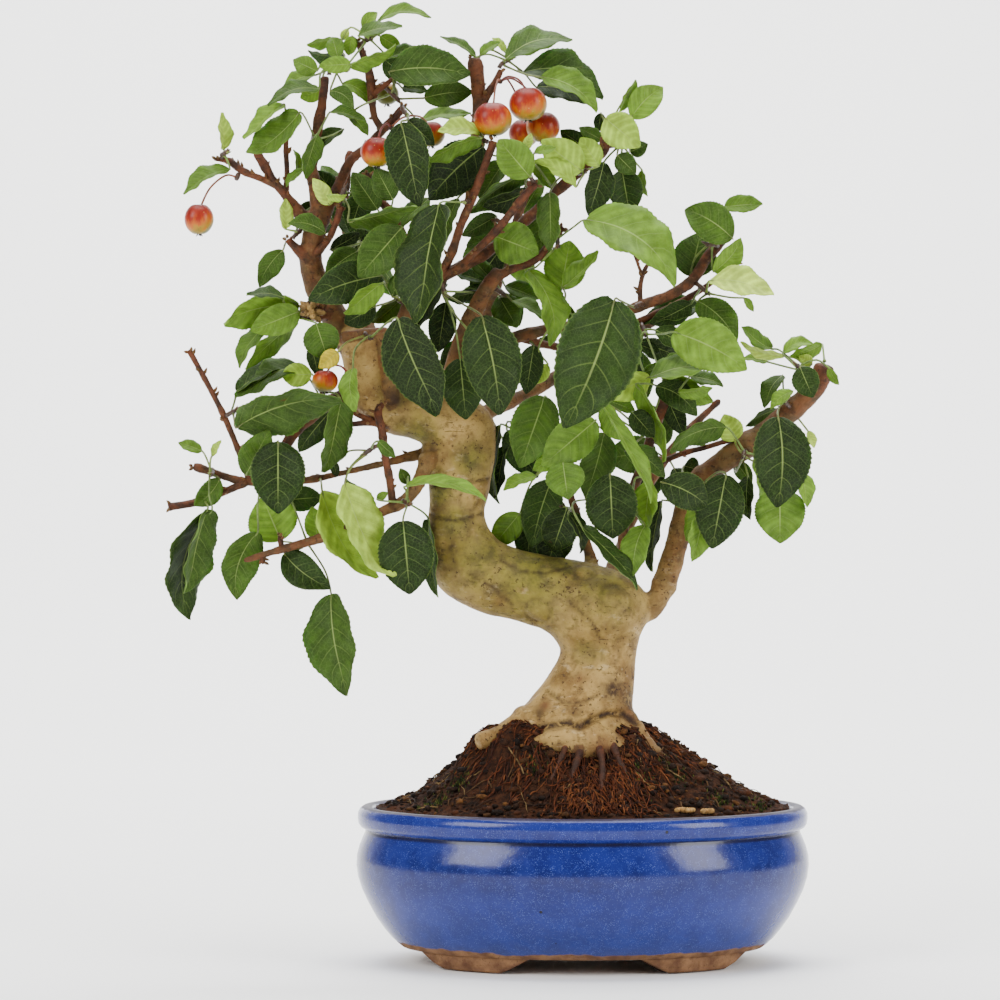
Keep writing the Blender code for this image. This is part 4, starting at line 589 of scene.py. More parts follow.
def trunk_rings():
    """The trunk's edges, without the pairs that their neighbours already give."""
    kept = [(spot(a, b, 0), spot(c, d, 0)) for a, b, c, d in TRUNK_EDGES]
    k = 2
    while k < len(kept) - 1:
        off = 0.0
        for side in (0, 1):
            a, b, c = (kept[n][side] for n in (k - 1, k, k + 1))
            share = min(max((b - a).dot(c - a) / (c - a).length_squared, 0.0), 1.0)
            off += (a.lerp(c, share) - b).length
        if off < POINT_SLACK:
            kept.pop(k)
        else:
            k += 1
    return kept


def trunk_tube():
    """The trunk, ring by ring between its left and right edges on the front view."""
    verts = []
    rings = trunk_rings()
    for k, (left, right) in enumerate(rings):
        half = (right - left) / 2
        for i in range(TRUNK_SIDES):
            angle = math.tau * i / TRUNK_SIDES
            ripple = 1 + 0.035 * math.sin(3 * angle + 0.45 * k) * (math.sin(angle) ** 2)
            deep = half.length * TRUNK_DEPTH_SHARE * ripple
            verts.append(
                (left + right) / 2 - half * math.cos(angle)
                - Vector((0, math.sin(angle) * deep, 0))
            )
    return verts, ring_faces(len(rings), TRUNK_SIDES)


def root_line(points):
    """A thin root's places, just sunk in the soil."""
    return [Vector((x, y, soil_height(x, y) - 0.3 * r)) for x, y, r in points]


def root_tube(points):
    return tube(root_line(points), [r for x, y, r in points], 6)


class Solid:
    """A shape kept for the test that nothing crosses it."""

    def __init__(self, verts, faces, owner=""):
        self.low = [min(v[i] for v in verts) for i in range(3)]
        self.high = [max(v[i] for v in verts) for i in range(3)]
        self.tree = BVHTree.FromPolygons(verts, faces)
        self.owner = owner

    def crosses(self, other):
        for i in range(3):
            if self.high[i] < other.low[i] or other.high[i] < self.low[i]:
                return False
        return bool(self.tree.overlap(other.tree))


def tangled(verts, faces):
    """Whether a shape crosses itself anywhere but at a shared corner."""
    tree = BVHTree.FromPolygons(verts, faces)
    return any(a < b and not set(faces[a]) & set(faces[b]) for a, b in tree.overlap(tree))


def nearest_on(solids, point):
    """The nearest point of all the solids' surfaces, and the way out of it."""
    best = None
    for solid in solids:
        place, normal, _, away = solid.tree.find_nearest(point)
        if place is not None and (best is None or away < best[2]):
            best = (place, normal, away)
    return best


class Leaf:
    """One leaf: a stalk that grows out of a face of its shoot, and a folded, toothed blade."""

    def __init__(self, face, base, tip, width, tone, bow, rng, turned=False, bend=(0.16, 0.0)):
        self.face = face
        self.root = sum(face, Vector()) / 3
        self.out = (face[1] - face[0]).cross(face[2] - face[0]).normalized()
        self.base = base
        self.tone = tone
        self.length = (tip - base).length
        self.along = (tip - base).normalized()
        eye = Vector((0, -EYE_DISTANCE, EYE_HEIGHT))
        toward = (eye - base).normalized()
        flat = self.along.cross(toward).normalized()
        facing = flat.cross(self.along)
        full = min(max(width, NATURAL_WIDTH * self.length), 1.8 * width)
        roll = math.acos(min(width / full, 1.0))
        ways = [facing * math.cos(roll) + flat * math.sin(roll) * s for s in (1, -1)]
        ways.sort(key=lambda way: -way.z)
        pick = ways[0] if (rng.random() < 0.8) != turned else ways[1]
        self.normal = pick.normalized()
        self.side = self.along.cross(self.normal).normalized()
        self.bow = flat * -bow
        self.half = full / 2
        self.arch = rng.uniform(0.03, 0.09) * self.length
        self.fold = math.radians(rng.uniform(8, 24))
        self.phase = (rng.uniform(0, 6.28), rng.uniform(0, 6.28))
        self.lift = rng.uniform(0.02, 0.12)
        self.bend = bend
        self.teeth = 7 if width > 12 else 5 if width > 7 else 3

    def middle(self, s):
        hump = 4 * s * (1 - s)
        return (
            self.base
            + self.along * self.length * s
            + self.normal * self.arch * hump
            + self.bow * hump
        )

    def half_width(self, s):
        """Half the blade's width at a share s of its length: a round base and a drawn-out tip."""
        return self.half * s ** 0.6 * (1 - s) ** 0.8 / 0.3844

    def edge(self, s, way, share):
        """The blade's edge at s, with share as how far out it reaches."""
        out = self.half_width(s) * share
        wave = 0.035 * self.half * math.sin(9 * s + self.phase[way > 0])
        return (
            self.middle(s)
            + self.side * way * out * math.cos(self.fold)
            + self.normal * (out * math.sin(self.fold) + wave)
        )

    def stalk(self):
        """The middles of the stalk after its root: one bend on a long stalk, then the blade."""
        reach = (self.base - self.root).length
        out, aside = self.bend
        if reach < 6 and aside == 0 and out < 0.2:
            return [self.base]
        bend = self.root.lerp(self.base, 0.5) + self.out * out * reach
        bend += Vector((0, 0, 1)) * self.lift * reach
        bend += self.out.cross(self.base - self.root).normalized() * aside * reach
        return [bend, self.base]

    def mesh(self, swell=0.0):
        """Vertices and faces, open at the root. swell thickens it, to test that it is clear."""
        path = self.stalk()
        rings = []
        radius = STALK_RADIUS + swell / 2
        before = self.root
        for k, point in enumerate(path):
            after = self.along if point is path[-1] else (path[k + 1] - point).normalized()
            # Halfway between both ways, so the ring faces on from the last one and to the next.
            way = ((point - before).normalized() + after).normalized()
            across = self.side - way * self.side.dot(way)
            if across.length < 0.25:
                across = self.normal.cross(way)
            across.normalize()
            up = across.cross(way)
            rings.append([
                point - across * radius * 0.9 + up * radius * 0.5,
                point + across * radius * 0.9 + up * radius * 0.5,
                point - up * radius,
            ])
            before = point
        root = list(self.face)
        first = rings[0]
        way = path[0] - self.root
        turn = (first[1] - first[0]).cross(first[2] - first[0]).dot(way)
        if turn * (root[1] - root[0]).cross(root[2] - root[0]).dot(way) < 0:
            root = [root[0], root[2], root[1]]
        best = None
        for k in range(3):
            order = root[k:] + root[:k]
            off = sum(
                ((a - self.root).normalized() - (b - path[0]).normalized()).length_squared
                for a, b in zip(order, first)
            )
            if best is None or off < best[0]:
                best = (off, order)
        root = best[1]
        verts = root + [point for ring in rings for point in ring]
        faces = []
        for k in range(len(rings)):
            a = 3 * k
            for i, j in ((0, 1), (1, 2), (2, 0)):
                faces.append((a + i, a + 3 + i, a + 3 + j))
                faces.append((a + i, a + 3 + j, a + j))
        left, right, under = len(verts) - 3, len(verts) - 2, len(verts) - 1
        places, shares = EDGE_POINTS[self.teeth]
        ribs = [0.3, 0.64] if self.teeth == 7 else [0.42]
        thick = BLADE_THICK * min(1.0, 0.55 + self.half / 18)
        tops = []
        unders = []
        for s in ribs:
            half = (thick * (1 - 0.3 * s) + swell) / 2
            tops.append(len(verts))
            verts.append(self.middle(s) + self.normal * half)
            unders.append(len(verts))
            verts.append(self.middle(s) - self.normal * half)
        tip = len(verts)
        verts.append(self.base + self.along * self.length)
        for way, start in ((-1, left), (1, right)):
            rim = [start]
            rim_at = [0.0]
            for s, share in zip(places, shares):
                rim.append(len(verts))
                rim_at.append(s)
                verts.append(self.edge(s, way, share))
            for spine, upper in ((tops, True), (unders, False)):
                strip = [] if upper else [(start, spine[0], under)]
                i = j = 0
                while i < len(rim) - 1 or j < len(spine) - 1:
                    if j == len(spine) - 1 or (i < len(rim) - 1 and rim_at[i + 1] <= ribs[j + 1]):
                        strip.append((rim[i], rim[i + 1], spine[j]))
                        i += 1
                    else:
                        strip.append((rim[i], spine[j + 1], spine[j]))
                        j += 1
                strip.append((rim[i], tip, spine[j]))
                flip = (way < 0) == upper
                faces += [(a, c, b) if flip else (a, b, c) for a, b, c in strip]
        faces.append((left, tops[0], right))
        return verts, faces


def with_leaves(shoot, leaves):
    """One closed shape of a shoot and its leaves, each grown out of one of its faces."""
    verts = list(shoot[0])
    used = {number for number, leaf in leaves}
    faces = [face for number, face in enumerate(shoot[1]) if number not in used]
    for number, leaf in leaves:
        corners = shoot[1][number]
        points, parts = leaf.mesh()
        start = len(verts) - 3
        match = {}
        for k in range(3):
            match[k] = min(corners, key=lambda c: (shoot[0][c] - points[k]).length)
        verts += points[3:]
        for part in parts:
            faces.append(tuple(match[i] if i < 3 else start + i for i in part))
    return verts, faces


def limb_solids():
    """Every piece of the wood as a closed shape."""
    shapes = [trunk_tube()]
    shapes += [limb_tube(points) for points in LIMBS.values()]
    shapes += [root_tube(points) for points in THIN_ROOTS]
    return shapes


def fruit_mesh(centre, width, tall):
    """A fruit as a turned shape, dimpled at the stalk and with a raised calyx below."""
    radius = width / 2
    top, *profile, under = (
        (0.0, 0.78), (0.5, 0.92), (0.98, 0.3), (0.92, -0.42), (0.42, -0.92), (0.2, -1.12),
        (0.0, -0.98),
    )
    sides = FRUIT_SIDES
    verts = [centre + Vector((0, 0, top[1] * radius * tall))]
    for out, up in profile:
        for i in range(sides):
            angle = math.tau * i / sides
            verts.append(
                centre
                + Vector((math.cos(angle) * out * radius, math.sin(angle) * out * radius, 0))
                + Vector((0, 0, up * radius * tall))
            )
    verts.append(centre + Vector((0, 0, under[1] * radius * tall)))
    faces = []
    low = 1 + (len(profile) - 1) * sides
    for i in range(sides):
        j = (i + 1) % sides
        faces.append((0, 1 + i, 1 + j))
        for k in range(len(profile) - 1):
            a, b = 1 + k * sides + i, 1 + k * sides + j
            faces += [(a, a + sides, b + sides), (a, b + sides, b)]
        faces.append((low + i, len(verts) - 1, low + j))
    return verts, faces


def fruit_shapes(hub, fruits, wood):
    """The fruit and stalks of one bunch, with a short spur that their stalks meet on."""
    start = spot(*hub)
    middle = sum((spot(x, z, y) for x, z, w, t, y in fruits), Vector()) / len(fruits)
    probe = start + (middle - start).normalized() * 3.0
    place, normal, _ = nearest_on(wood, probe)
    seat = place + normal * (SEAT_GAP + 0.05)
    knot = place + normal * 3.2
    shapes = [tube([seat, place + normal * 1.8, knot], [1.0, 1.1, 0.9], 5)]
    for x, z, width, tall, y in fruits:
        centre = spot(x, z, y)
        radius = width * STEP / 2
        top = centre + Vector((0, 0, radius * tall * 0.78))
        root = place + normal * 2.2
        reach = (top - root).length
        rise = Vector((0, 0, 0.22 * reach))
        path = [root, root.lerp(top, 0.3) + rise, root.lerp(top, 0.72) + rise * 0.9]
        path.append(top - Vector((0, 0, radius * 0.3)))
        shapes.append(tube(path, [0.55, 0.5, 0.5, 0.55], 3))
        shapes.append(fruit_mesh(centre, width * STEP, tall))
    return shapes


def plan_leaves(name, leaves):
    """Every leaf of a spray as base, tip, width, tone and bow, in mm."""
    rng = random.Random(name)
    found = []
    for bx, bz, tx, tz, width, depth, tone, *bow in leaves:
        length = math.hypot(tx - bx, tz - bz) * STEP
        lean = length * rng.uniform(-0.28, 0.28)
        found.append((
            spot(bx, bz, depth),
            spot(tx, tz, depth + lean),
            width * STEP,
            tone,
            (bow[0] if bow else 0) * STEP,
        ))
    return found


def moved_in_depth(point, by):
    """The point moved nearer or farther along the line on which the eye sees it."""
    grow = (EYE_DISTANCE + point.y + by) / (EYE_DISTANCE + point.y)
    eye = Vector((0, -EYE_DISTANCE, EYE_HEIGHT))
    return eye + (point - eye) * grow


def place_shoots(wood, blocks):
    """A short shoot for each spray, standing just clear of the wood that it grows from."""
    shoots = {}
    for name, (hub, leaves) in SPRAYS.items():
        start = spot(*hub)
        plan = plan_leaves(name, leaves)
        middle = sum((base for base, *_ in plan), Vector()) / len(plan)
        toward = (middle - start).normalized()
        for step, reach in ((step, reach) for step in range(14) for reach in (7.0, 6.0, 5.0, 4.0)):
            probe = start + toward * 4.0 + Vector((0, -2.5 if hub[2] < 30 else 2.5, 0))
            if step:
                probe += Vector((math.cos(step * 2.4), -0.6, math.sin(step * 2.4))) * step * 0.6
            place, normal, _ = nearest_on(wood, probe)
            lean = middle - place
            lean -= normal * lean.dot(normal)
            end = place + normal * reach * 0.9 + lean.normalized() * reach * 0.4
            path = [
                place + normal * (SEAT_GAP + 0.08),
                place + normal * 2.0,
                end.lerp(place + normal * 2.0, 0.5) + normal * 0.2,
                end,
            ]
            radii = [SHOOT_RADIUS, SHOOT_RADIUS * 1.15, SHOOT_RADIUS * 1.1, SHOOT_RADIUS * 0.9]
            shape = tube(path, radii, 5)
            solid = Solid(*shape, name)
            if tangled(*shape) or any(solid.crosses(other) for other in wood + blocks):
                continue
            break
        else:
            raise RuntimeError("no room for the shoot of " + name)
        shoots[name] = shape
        blocks.append(solid)
    return shoots


def best_faces(shape, used, base):
    """The faces of a shoot that look towards a place and aren't taken, best first."""
    verts, faces = shape
    found = []
    for number, face in enumerate(faces):
        if number in used or number < 10:
            continue
        corners = [verts[i] for i in face]
        middle = sum(corners, Vector()) / 3
        out = (corners[1] - corners[0]).cross(corners[2] - corners[0]).normalized()
        shared = sum(len(set(face) & set(faces[other])) > 1 for other in used)
        score = out.dot((base - middle).normalized()) - 0.25 * shared
        found.append((-score, number, corners))
    found.sort(key=lambda item: item[:2])
    return found[:5]


def grow():
    """The shoots, leaves and bunches. Each leaf stands nearer or farther, so it crosses nothing."""
    wood = [Solid(*shape) for shape in limb_solids()]
    bunches = {}
    blocks = []
    for name, (hub, fruits) in FRUIT.items():
        bunches[name] = fruit_shapes(hub, fruits, wood)
        blocks += [Solid(*shape, name) for shape in bunches[name]]
    shoots = place_shoots(wood, blocks)
    jobs = []
    for name, (hub, leaves) in SPRAYS.items():
        for order, plan in enumerate(plan_leaves(name, leaves)):
            jobs.append((-plan[2] * (plan[1] - plan[0]).length, name, order, plan))
    jobs.sort(key=lambda job: job[:3])
    grown = {name: [] for name in SPRAYS}
    for _, name, order, plan in jobs:
        leaf = placed_leaf(name, order, plan, shoots[name], grown[name], wood, blocks)
        if leaf:
            grown[name].append(leaf)
            blocks.append(Solid(*leaf[1].mesh(), name))
    return shoots, grown, bunches


def placed_leaf(name, order, plan, shoot, mates, wood, blocks):
    """The first way to set a leaf that crosses nothing, as its face's number and the leaf."""
    base, tip, width, tone, bow = plan
    used = {number for number, leaf in mates}
    for shrink in (1.0, 0.82):
        for by in DEPTH_TRIES:
            here = moved_in_depth(base, by)
            there = moved_in_depth(tip, by)
            if max(abs(here.y), abs(there.y)) > DEEPEST_LEAF:
                continue
            there = here.lerp(there, shrink)
            ways = [(bend, face) for bend in BENDS for face in best_faces(shoot, used, here)]
            for (bend, (_, number, corners)), turned in (
                (way, turned) for way in ways for turned in (False, True)
            ):
                rng = random.Random(f"{name} {order}")
                leaf = Leaf(
                    corners, here, there, width * shrink, tone, bow * shrink, rng, turned, bend
                )
                ring = leaf.mesh()[0][3:6]
                if min(leaf.out.dot(point - leaf.root) for point in ring) < 0.2:
                    continue
                full = Solid(*leaf.mesh(0.5), name)
                if any(full.crosses(other) for other in wood):
                    continue
                if any(other.owner != name and full.crosses(other) for other in blocks):
                    continue
                if tangled(*with_leaves(shoot, mates + [(number, leaf)])):
                    continue
                return number, leaf
    return None


def lofted(rings, sides):
    """A closed shape through rings of points, with flat first and last rings."""
    verts = [point for ring in rings for point in ring]
    faces = []
    for k in range(len(rings) - 1):
        for i in range(sides):
            j = (i + 1) % sides
            a, b = k * sides + i, k * sides + j
            faces.append((a, b, b + sides, a + sides))
    faces.append(tuple(reversed(range(sides))))
    last = (len(rings) - 1) * sides
    faces.append(tuple(range(last, last + sides)))
    return verts, faces


def foot(mirror_x, mirror_y):
    """A clay foot: its outer side follows the pot, and its ends slope up to the floor."""
    layers = []
    steps = 4
    for z, from_x, to_x, half_x, half_y, deep in (
        (0.0, 33.0, 55.5, 69.0, 49.0, 12.0),
        (2.2, 29.0, 60.0, 70.0, 49.5, 12.5),
        (6.6, 21.0, 65.5, 71.5, 50.5, 13.0),
    ):
        outer = []
        inner = []
        for k in range(steps + 1):
            x = from_x + (to_x - from_x) * k / steps
            y = half_y * math.sqrt(1 - (x / half_x) ** 2)
            slope = Vector((x / half_x ** 2, y / half_y ** 2)).normalized()
            outer.append((x, y))
            inner.append((x - slope.x * deep, y - slope.y * deep))
        layers.append([
            Vector((POT_MIDDLE_X + mirror_x * x, mirror_y * y, z))
            for x, y in outer + inner[::-1]
        ])
    return lofted(layers, 2 * (steps + 1))


def linear(hex_colour):
    """A linear colour from an sRGB hex value."""
    parts = [int(hex_colour[i:i + 2], 16) / 255 for i in (1, 3, 5)]
    return [p / 12.92 if p <= 0.04045 else ((p + 0.055) / 1.055) ** 2.4 for p in parts] + [1.0]


def blend_colours(a, b, share):
    return [p + (q - p) * share for p, q in zip(a, b)]


def settings():
    return bpy.context.scene.bonsai


def add(mat, kind, inputs=(), stops=(), **options):
    """Adds a node with its options, its inputs (value, hex colour or socket) and its stops."""
    made = mat.node_tree.nodes.new(kind)
    for name, value in options.items():
        setattr(made, name, value)
    for key, value in dict(inputs).items():
        if isinstance(value, bpy.types.NodeSocket):
            mat.node_tree.links.new(value, made.inputs[key])
        else:
            made.inputs[key].default_value = linear(value) if isinstance(value, str) else value
    for k, (place, colour) in enumerate(stops):
        ramp = made.color_ramp.elements
        stop = ramp[k] if k < 2 else ramp.new(place)
        stop.position = place
        stop.color = linear(colour)
    return made


class Skin:
    """A material with its shader, and a short way to say each kind of node."""

    def __init__(self, name, colour, roughness, ior=1.5, gloss=0.5):
        self.mat = bpy.data.materials.new(name)
        self.mat.use_nodes = True
        self.inputs = self.mat.node_tree.nodes["Principled BSDF"].inputs
        self.keep("Base Color", linear(colour))
        self.keep("Roughness", roughness)
        self.keep("IOR", ior)
        self.keep("Specular IOR Level", gloss)
        self.place = self.node("ShaderNodeTexCoord")["Object"]

    def keep(self, socket, value):
        """Sets a value that is the same all over on the shader's own socket."""
        self.inputs[socket].default_value = value

    def plug(self, value, socket):
        self.mat.node_tree.links.new(value, self.inputs[socket])

    def node(self, kind, inputs=(), stops=(), **options):
        return add(self.mat, kind, inputs, stops, **options).outputs

    def grain(self, size_mm, detail=4.0, rough=0.6, stretch=None):
        """Noise whose blotches are about size_mm across."""
        where = self.place
        if stretch:
            where = self.node("ShaderNodeMapping", {"Vector": where, "Scale": stretch})[0]
        return self.node("ShaderNodeTexNoise", {
            "Vector": where, "Scale": 1000.0 / size_mm, "Detail": detail, "Roughness": rough,
        })["Fac"]

    def cells(self, scale, feature="F1"):
        """Cells, scale of them in a metre."""
        return self.node("ShaderNodeTexVoronoi", {
            "Vector": self.place, "Scale": scale,
        }, feature=feature)["Distance"]

    def own(self, name="tint", socket="Color"):
        """What the piece's own points carry."""
        return self.node("ShaderNodeAttribute", attribute_name=name)[socket]

    def ranged(self, value, low, high, to_low=0.0, to_high=1.0):
        return self.node("ShaderNodeMapRange", {
            "Value": value, "From Min": low, "From Max": high, "To Min": to_low, "To Max": to_high,
        }, interpolation_type="SMOOTHSTEP")[0]

    def maths(self, operation, a, b=0.0, c=0.0):
        return self.node("ShaderNodeMath", {0: a, 1: b, 2: c}, operation=operation)[0]

    def times(self, a, b):
        return self.maths("MULTIPLY", a, b)

    def mixed(self, share, a, b, mode="MIX"):
        return self.node("ShaderNodeMix", {
            0: share, 6: a, 7: b,
        }, data_type="RGBA", blend_type=mode)[2]

    def blots(self, low, high, *grain):
        """A mask of the places where noise lies above a level."""
        return self.ranged(self.grain(*grain), low, high)

    def clouded(self, low, high, a, b, *grain):
        """Clouds of one colour in another."""
        return self.mixed(self.blots(low, high, *grain), a, b)

    def laid(self, tint, mask, strength, colour):
        """The tint with a colour laid on it where a mask says."""
        return self.mixed(self.times(mask, strength), tint, colour)

    def shaded(self, shade):
        """The piece's own colours times a shade."""
        return self.mixed(1.0, self.own(), shade, "MULTIPLY")

    def finished(self, tint, height, depth_mm, strength):
        """Plugs in the colour and the relief, and gives the material."""
        bump = self.node("ShaderNodeBump", {
            "Height": height, "Distance": depth_mm / 1000, "Strength": strength,
        })
        self.plug(tint, "Base Color")
        self.plug(bump[0], "Normal")
        return self.mat


def clay_tint(skin):
    """The colour of bare stoneware: tan-brown clouds with dark grit."""
    tint = skin.clouded(0.3, 0.7, "#583a26", "#8c6746", 7.0)
    return skin.laid(tint, skin.blots(0.58, 0.72, 0.7, 2.0), 0.6, "#2b1d13")


def glaze_material():
    """Cobalt glaze fired on clay: glassy, mottled with fine pale specks and a few pinholes, with a
    wavy edge near the foot below which the clay is bare."""
    skin = Skin("cobalt glaze", "#141c5c", 0.12, 1.45, 0.32)
    deep, mid, pale = (list(colour) + [1] for colour in (
        settings().glaze_deep, settings().glaze, settings().glaze_pale
    ))
    height = skin.node("ShaderNodeSeparateXYZ", {"Vector": skin.place})["Z"]
    cloud = skin.grain(9.0, 3.0)
    # By height: paler low on the belly, darkest on the upper belly just under the rim, lighter again on
    # the rim. This is painted reflection of the bright floor below and of the dim room above.
    painted_reflection_band = skin.maths("ADD", height, skin.times(cloud, 0.006))
    tint = skin.node("ShaderNodeValToRGB", {"Fac": skin.ranged(painted_reflection_band, 0.004, 0.066)}, (
        (0.0, "#243676"), (1.0, "#18246e"), (0.16, "#1c2d74"), (0.42, "#17256e"),
        (0.55, "#101a58"), (0.72, "#0d144a"), (0.80, "#121c5c"), (0.9, "#16226a"),
    ))["Color"]
    tint = skin.mixed(0.5, tint, skin.mixed(skin.ranged(cloud, 0.35, 0.65), deep, mid))
    # Specks of about 0.4 mm, as pale flecks float in the glaze, and pinholes about 16 mm apart.
    fleck = skin.times(skin.ranged(skin.cells(1900.0), 0.42, 0.12), skin.blots(0.36, 0.64, 2.0, 5.0))
    tint = skin.laid(tint, fleck, 0.5, pale)
    pin = skin.ranged(skin.cells(62.0), 0.055, 0.03)
    tint = skin.mixed(pin, tint, "#07091c")
    # The glaze runs thin and brown on the rim's edge, and the groove under the rim is darkened nearly
    # black as painted shade.
    edge = skin.maths("ADD", height, skin.times(cloud, 0.0012))
    edge = skin.ranged(edge, 0.0616, 0.0622)
    tint = skin.laid(tint, edge, 0.8, "#241712")
    groove_shade = skin.times(skin.ranged(height, 0.0507, 0.0518), skin.ranged(height, 0.0534, 0.0524))
    tint = skin.laid(tint, groove_shade, 0.8, "#0e0b12")
    rag = skin.maths("MULTIPLY_ADD", skin.grain(16.0, 3.0), 0.005, height)
    raw = skin.ranged(rag, 0.0112, 0.0106)
    tint = skin.mixed(raw, tint, clay_tint(skin))
    gloss = skin.ranged(cloud, 0.2, 0.8, 0.15, 0.24)
    worn = skin.maths("MAXIMUM", raw, skin.times(edge, 0.5))
    skin.plug(skin.maths("MULTIPLY_ADD", worn, 0.7, gloss), "Roughness")
    skin.keep("Coat Roughness", 0.14)
    skin.plug(skin.maths("MULTIPLY_ADD", worn, -0.1, 0.1), "Coat Weight")
    rough = skin.maths("ADD", skin.grain(3.0, 2.0), skin.times(raw, skin.grain(0.8, 4.0)))
    return skin.finished(tint, skin.maths("SUBTRACT", rough, pin), 0.14, 0.5)


def clay_material():
    """Bare stoneware: matt, gritty and tan-brown."""
    skin = Skin("bare stoneware", "#6a533e", 0.85, 1.5, 0.3)
    return skin.finished(clay_tint(skin), skin.grain(0.8, 4.0), 0.25, 0.6)


def peat_material():
    """Damp peat and grit: nearly black brown, crumbly, with rusty bits."""
    skin = Skin("damp peat", "#24140a", 0.95, 1.4, 0.2)
    tint = skin.clouded(0.36, 0.66, "#140a05", "#3c2212", 3.2, 6.0, 0.7)
    tint = skin.laid(tint, skin.blots(0.52, 0.7, 14.0, 3.0), 0.45, "#3f2110")
    tint = skin.laid(tint, skin.blots(0.64, 0.72, 0.9, 3.0), 0.5, "#5c4730")
    return skin.finished(tint, skin.grain(1.1, 6.0, 0.75), 0.8, 0.8)


def tinted_material(name, roughness, size_mm, dark, light):
    """A matt plant scrap coloured by its own attribute, with a fine grain."""
    skin = Skin(name, light, roughness, 1.4, 0.25)
    tint = skin.shaded(skin.clouded(0.3, 0.7, dark, light, size_mm, 5.0))
    return skin.finished(tint, skin.grain(size_mm / 3, 3.0), 0.15, 0.5)


def bark_material():
    """Crabapple bark: smooth pale tan with brown flecks and fine cross cracks, and red-brown young
    wood. The piece's own attribute says where it is young (red), mossy (green) and darkened (blue),
    by scars, dark marks and painted shade in the bark's fold creases."""
    skin = Skin("crabapple bark", "#856640", 0.66, 1.45, 0.3)
    zone = skin.node("ShaderNodeSeparateColor", {"Color": skin.own("zones")})
    young, moss, dark_marks_and_crease_shade = (zone[k] for k in range(3))
    old = skin.clouded(0.32, 0.66, "#74562a", "#a98a4e", 11.0, 5.0)
    old = skin.laid(old, skin.blots(0.5, 0.66, 4.5, 5.0, 0.65), 0.62, "#4c3316")
    old = skin.laid(old, skin.blots(0.58, 0.7, 6.5, 4.0, 0.6, (1, 1, 1.8)), 0.45, "#cbb182")
    # Lenticels: short dark dashes that lie across the trunk, about 3 mm by 0.6 mm.
    dash = skin.blots(0.66, 0.74, 2.2, 2.0, 0.5, (0.55, 0.55, 2.4))
    old = skin.laid(old, dash, 0.7, "#35231a")
    twig = skin.clouded(0.34, 0.66, "#2a1409", "#5c2f17", 5.0, 5.0)
    twig = skin.laid(twig, skin.blots(0.58, 0.74, 2.6, 4.0), 0.3, "#80603f")
    tint = skin.mixed(young, old, twig)
    green = skin.clouded(0.35, 0.7, "#363a10", "#6c681c", 5.0)
    tint = skin.laid(tint, skin.times(moss, skin.blots(0.16, 0.46, 7.5, 5.0, 0.7)), 0.88, green)
    # Flecks of 0.5 to 1.5 mm, where old buds and pores have turned dark.
    fleck = skin.times(skin.blots(0.6, 0.66, 1.5, 2.0), skin.blots(0.42, 0.56, 8.0, 3.0))
    tint = skin.laid(tint, fleck, 0.8, "#2c190b")
    # Dark brown on scars and dark marks, and as painted shade along the bark's fold creases.
    tint = skin.mixed(skin.times(dark_marks_and_crease_shade, skin.blots(0.28, 0.55, 3.0, 5.0)), tint, "#27150b")
    relief = skin.maths("ADD", skin.grain(1.8, 6.0, 0.7), skin.times(dash, -0.6))
    relief = skin.maths("ADD", relief, skin.grain(7.0, 3.0, 0.5, (1, 1, 2.0)))
    return skin.finished(tint, relief, 0.55, 0.85)


def leaf_material(name, under):
    """Apple leaf. Above: waxy, sunk veins, soft gloss. Below: pale, matt and downy, raised veins."""
    skin = Skin(name, "#334221", 0.72 if under else 0.52, 1.45, 0.08 if under else 0.13)
    spread = skin.node("ShaderNodeUVMap", uv_map="blade")[0]
    axes = skin.node("ShaderNodeSeparateXYZ", {"Vector": spread})
    along, across = axes["X"], axes["Y"]
    aside = skin.maths("ABSOLUTE", skin.maths("MULTIPLY_ADD", across, 2.0, -1.0))
    # Six pairs of side veins sweep forward from the midrib to the edge.
    sweep = skin.times(skin.maths("POWER", aside, VEIN_POWER), VEIN_SWEEP)
    near = skin.maths("PINGPONG", skin.times(skin.maths("SUBTRACT", along, sweep), VEINS), 0.5)
    vein = skin.times(skin.ranged(near, 0.06, 0.0), skin.ranged(aside, 1.0, 0.2, 0.1, 0.75))
    rib = skin.times(skin.ranged(aside, 0.04, 0.01), skin.ranged(along, 1.0, 0.3, 0.15, 1.0))
    veins = skin.maths("MAXIMUM", vein, rib)
    fine = skin.ranged(skin.cells(700.0, "DISTANCE_TO_EDGE"), 0.08, 0.0)
    shade = skin.ranged(skin.grain(6.0, 4.0), 0.3, 0.7, 0.72, 1.24)
    tint = skin.shaded(skin.node("ShaderNodeCombineColor", {
        "Red": shade, "Green": shade, "Blue": shade,
    })[0])
    # On the face, the first layer darkens a band along each sunk vein as painted shade in the vein's
    # groove.
    layers = ((veins, 0.4, "#a8c060"), (fine, 0.2, "#a4bc70")) if under else (
        (skin.ranged(near, 0.5, 0.15), 0.22, "#10180a"), (vein, 0.34, "#7f9648"),
        (rib, 0.55, "#94a85c"), (fine, 0.14, "#6f8844"),
        (skin.ranged(aside, 0.93, 1.0), 0.25, "#7e9448"),
    )
    # A few rusty spots of scab, 1 to 3 mm across, lie over the rest.
    for mask, strength, colour in layers + ((skin.blots(0.72, 0.76, 9.0, 3.0), 0.8, "#4a2a10"),):
        tint = skin.laid(tint, mask, strength, colour)
    sign = 1.0 if under else -1.0
    height = skin.maths("ADD", skin.times(veins, sign), skin.times(fine, 0.25 * sign))
    height = skin.maths("ADD", height, skin.times(skin.grain(1.2, 3.0), 0.5))
    skin.keep("Subsurface Weight", 0.12)
    skin.keep("Subsurface Radius", (0.4, 1.0, 0.15))
    skin.keep("Subsurface Scale", 0.001)
    return skin.finished(tint, height, 0.12, 0.7)


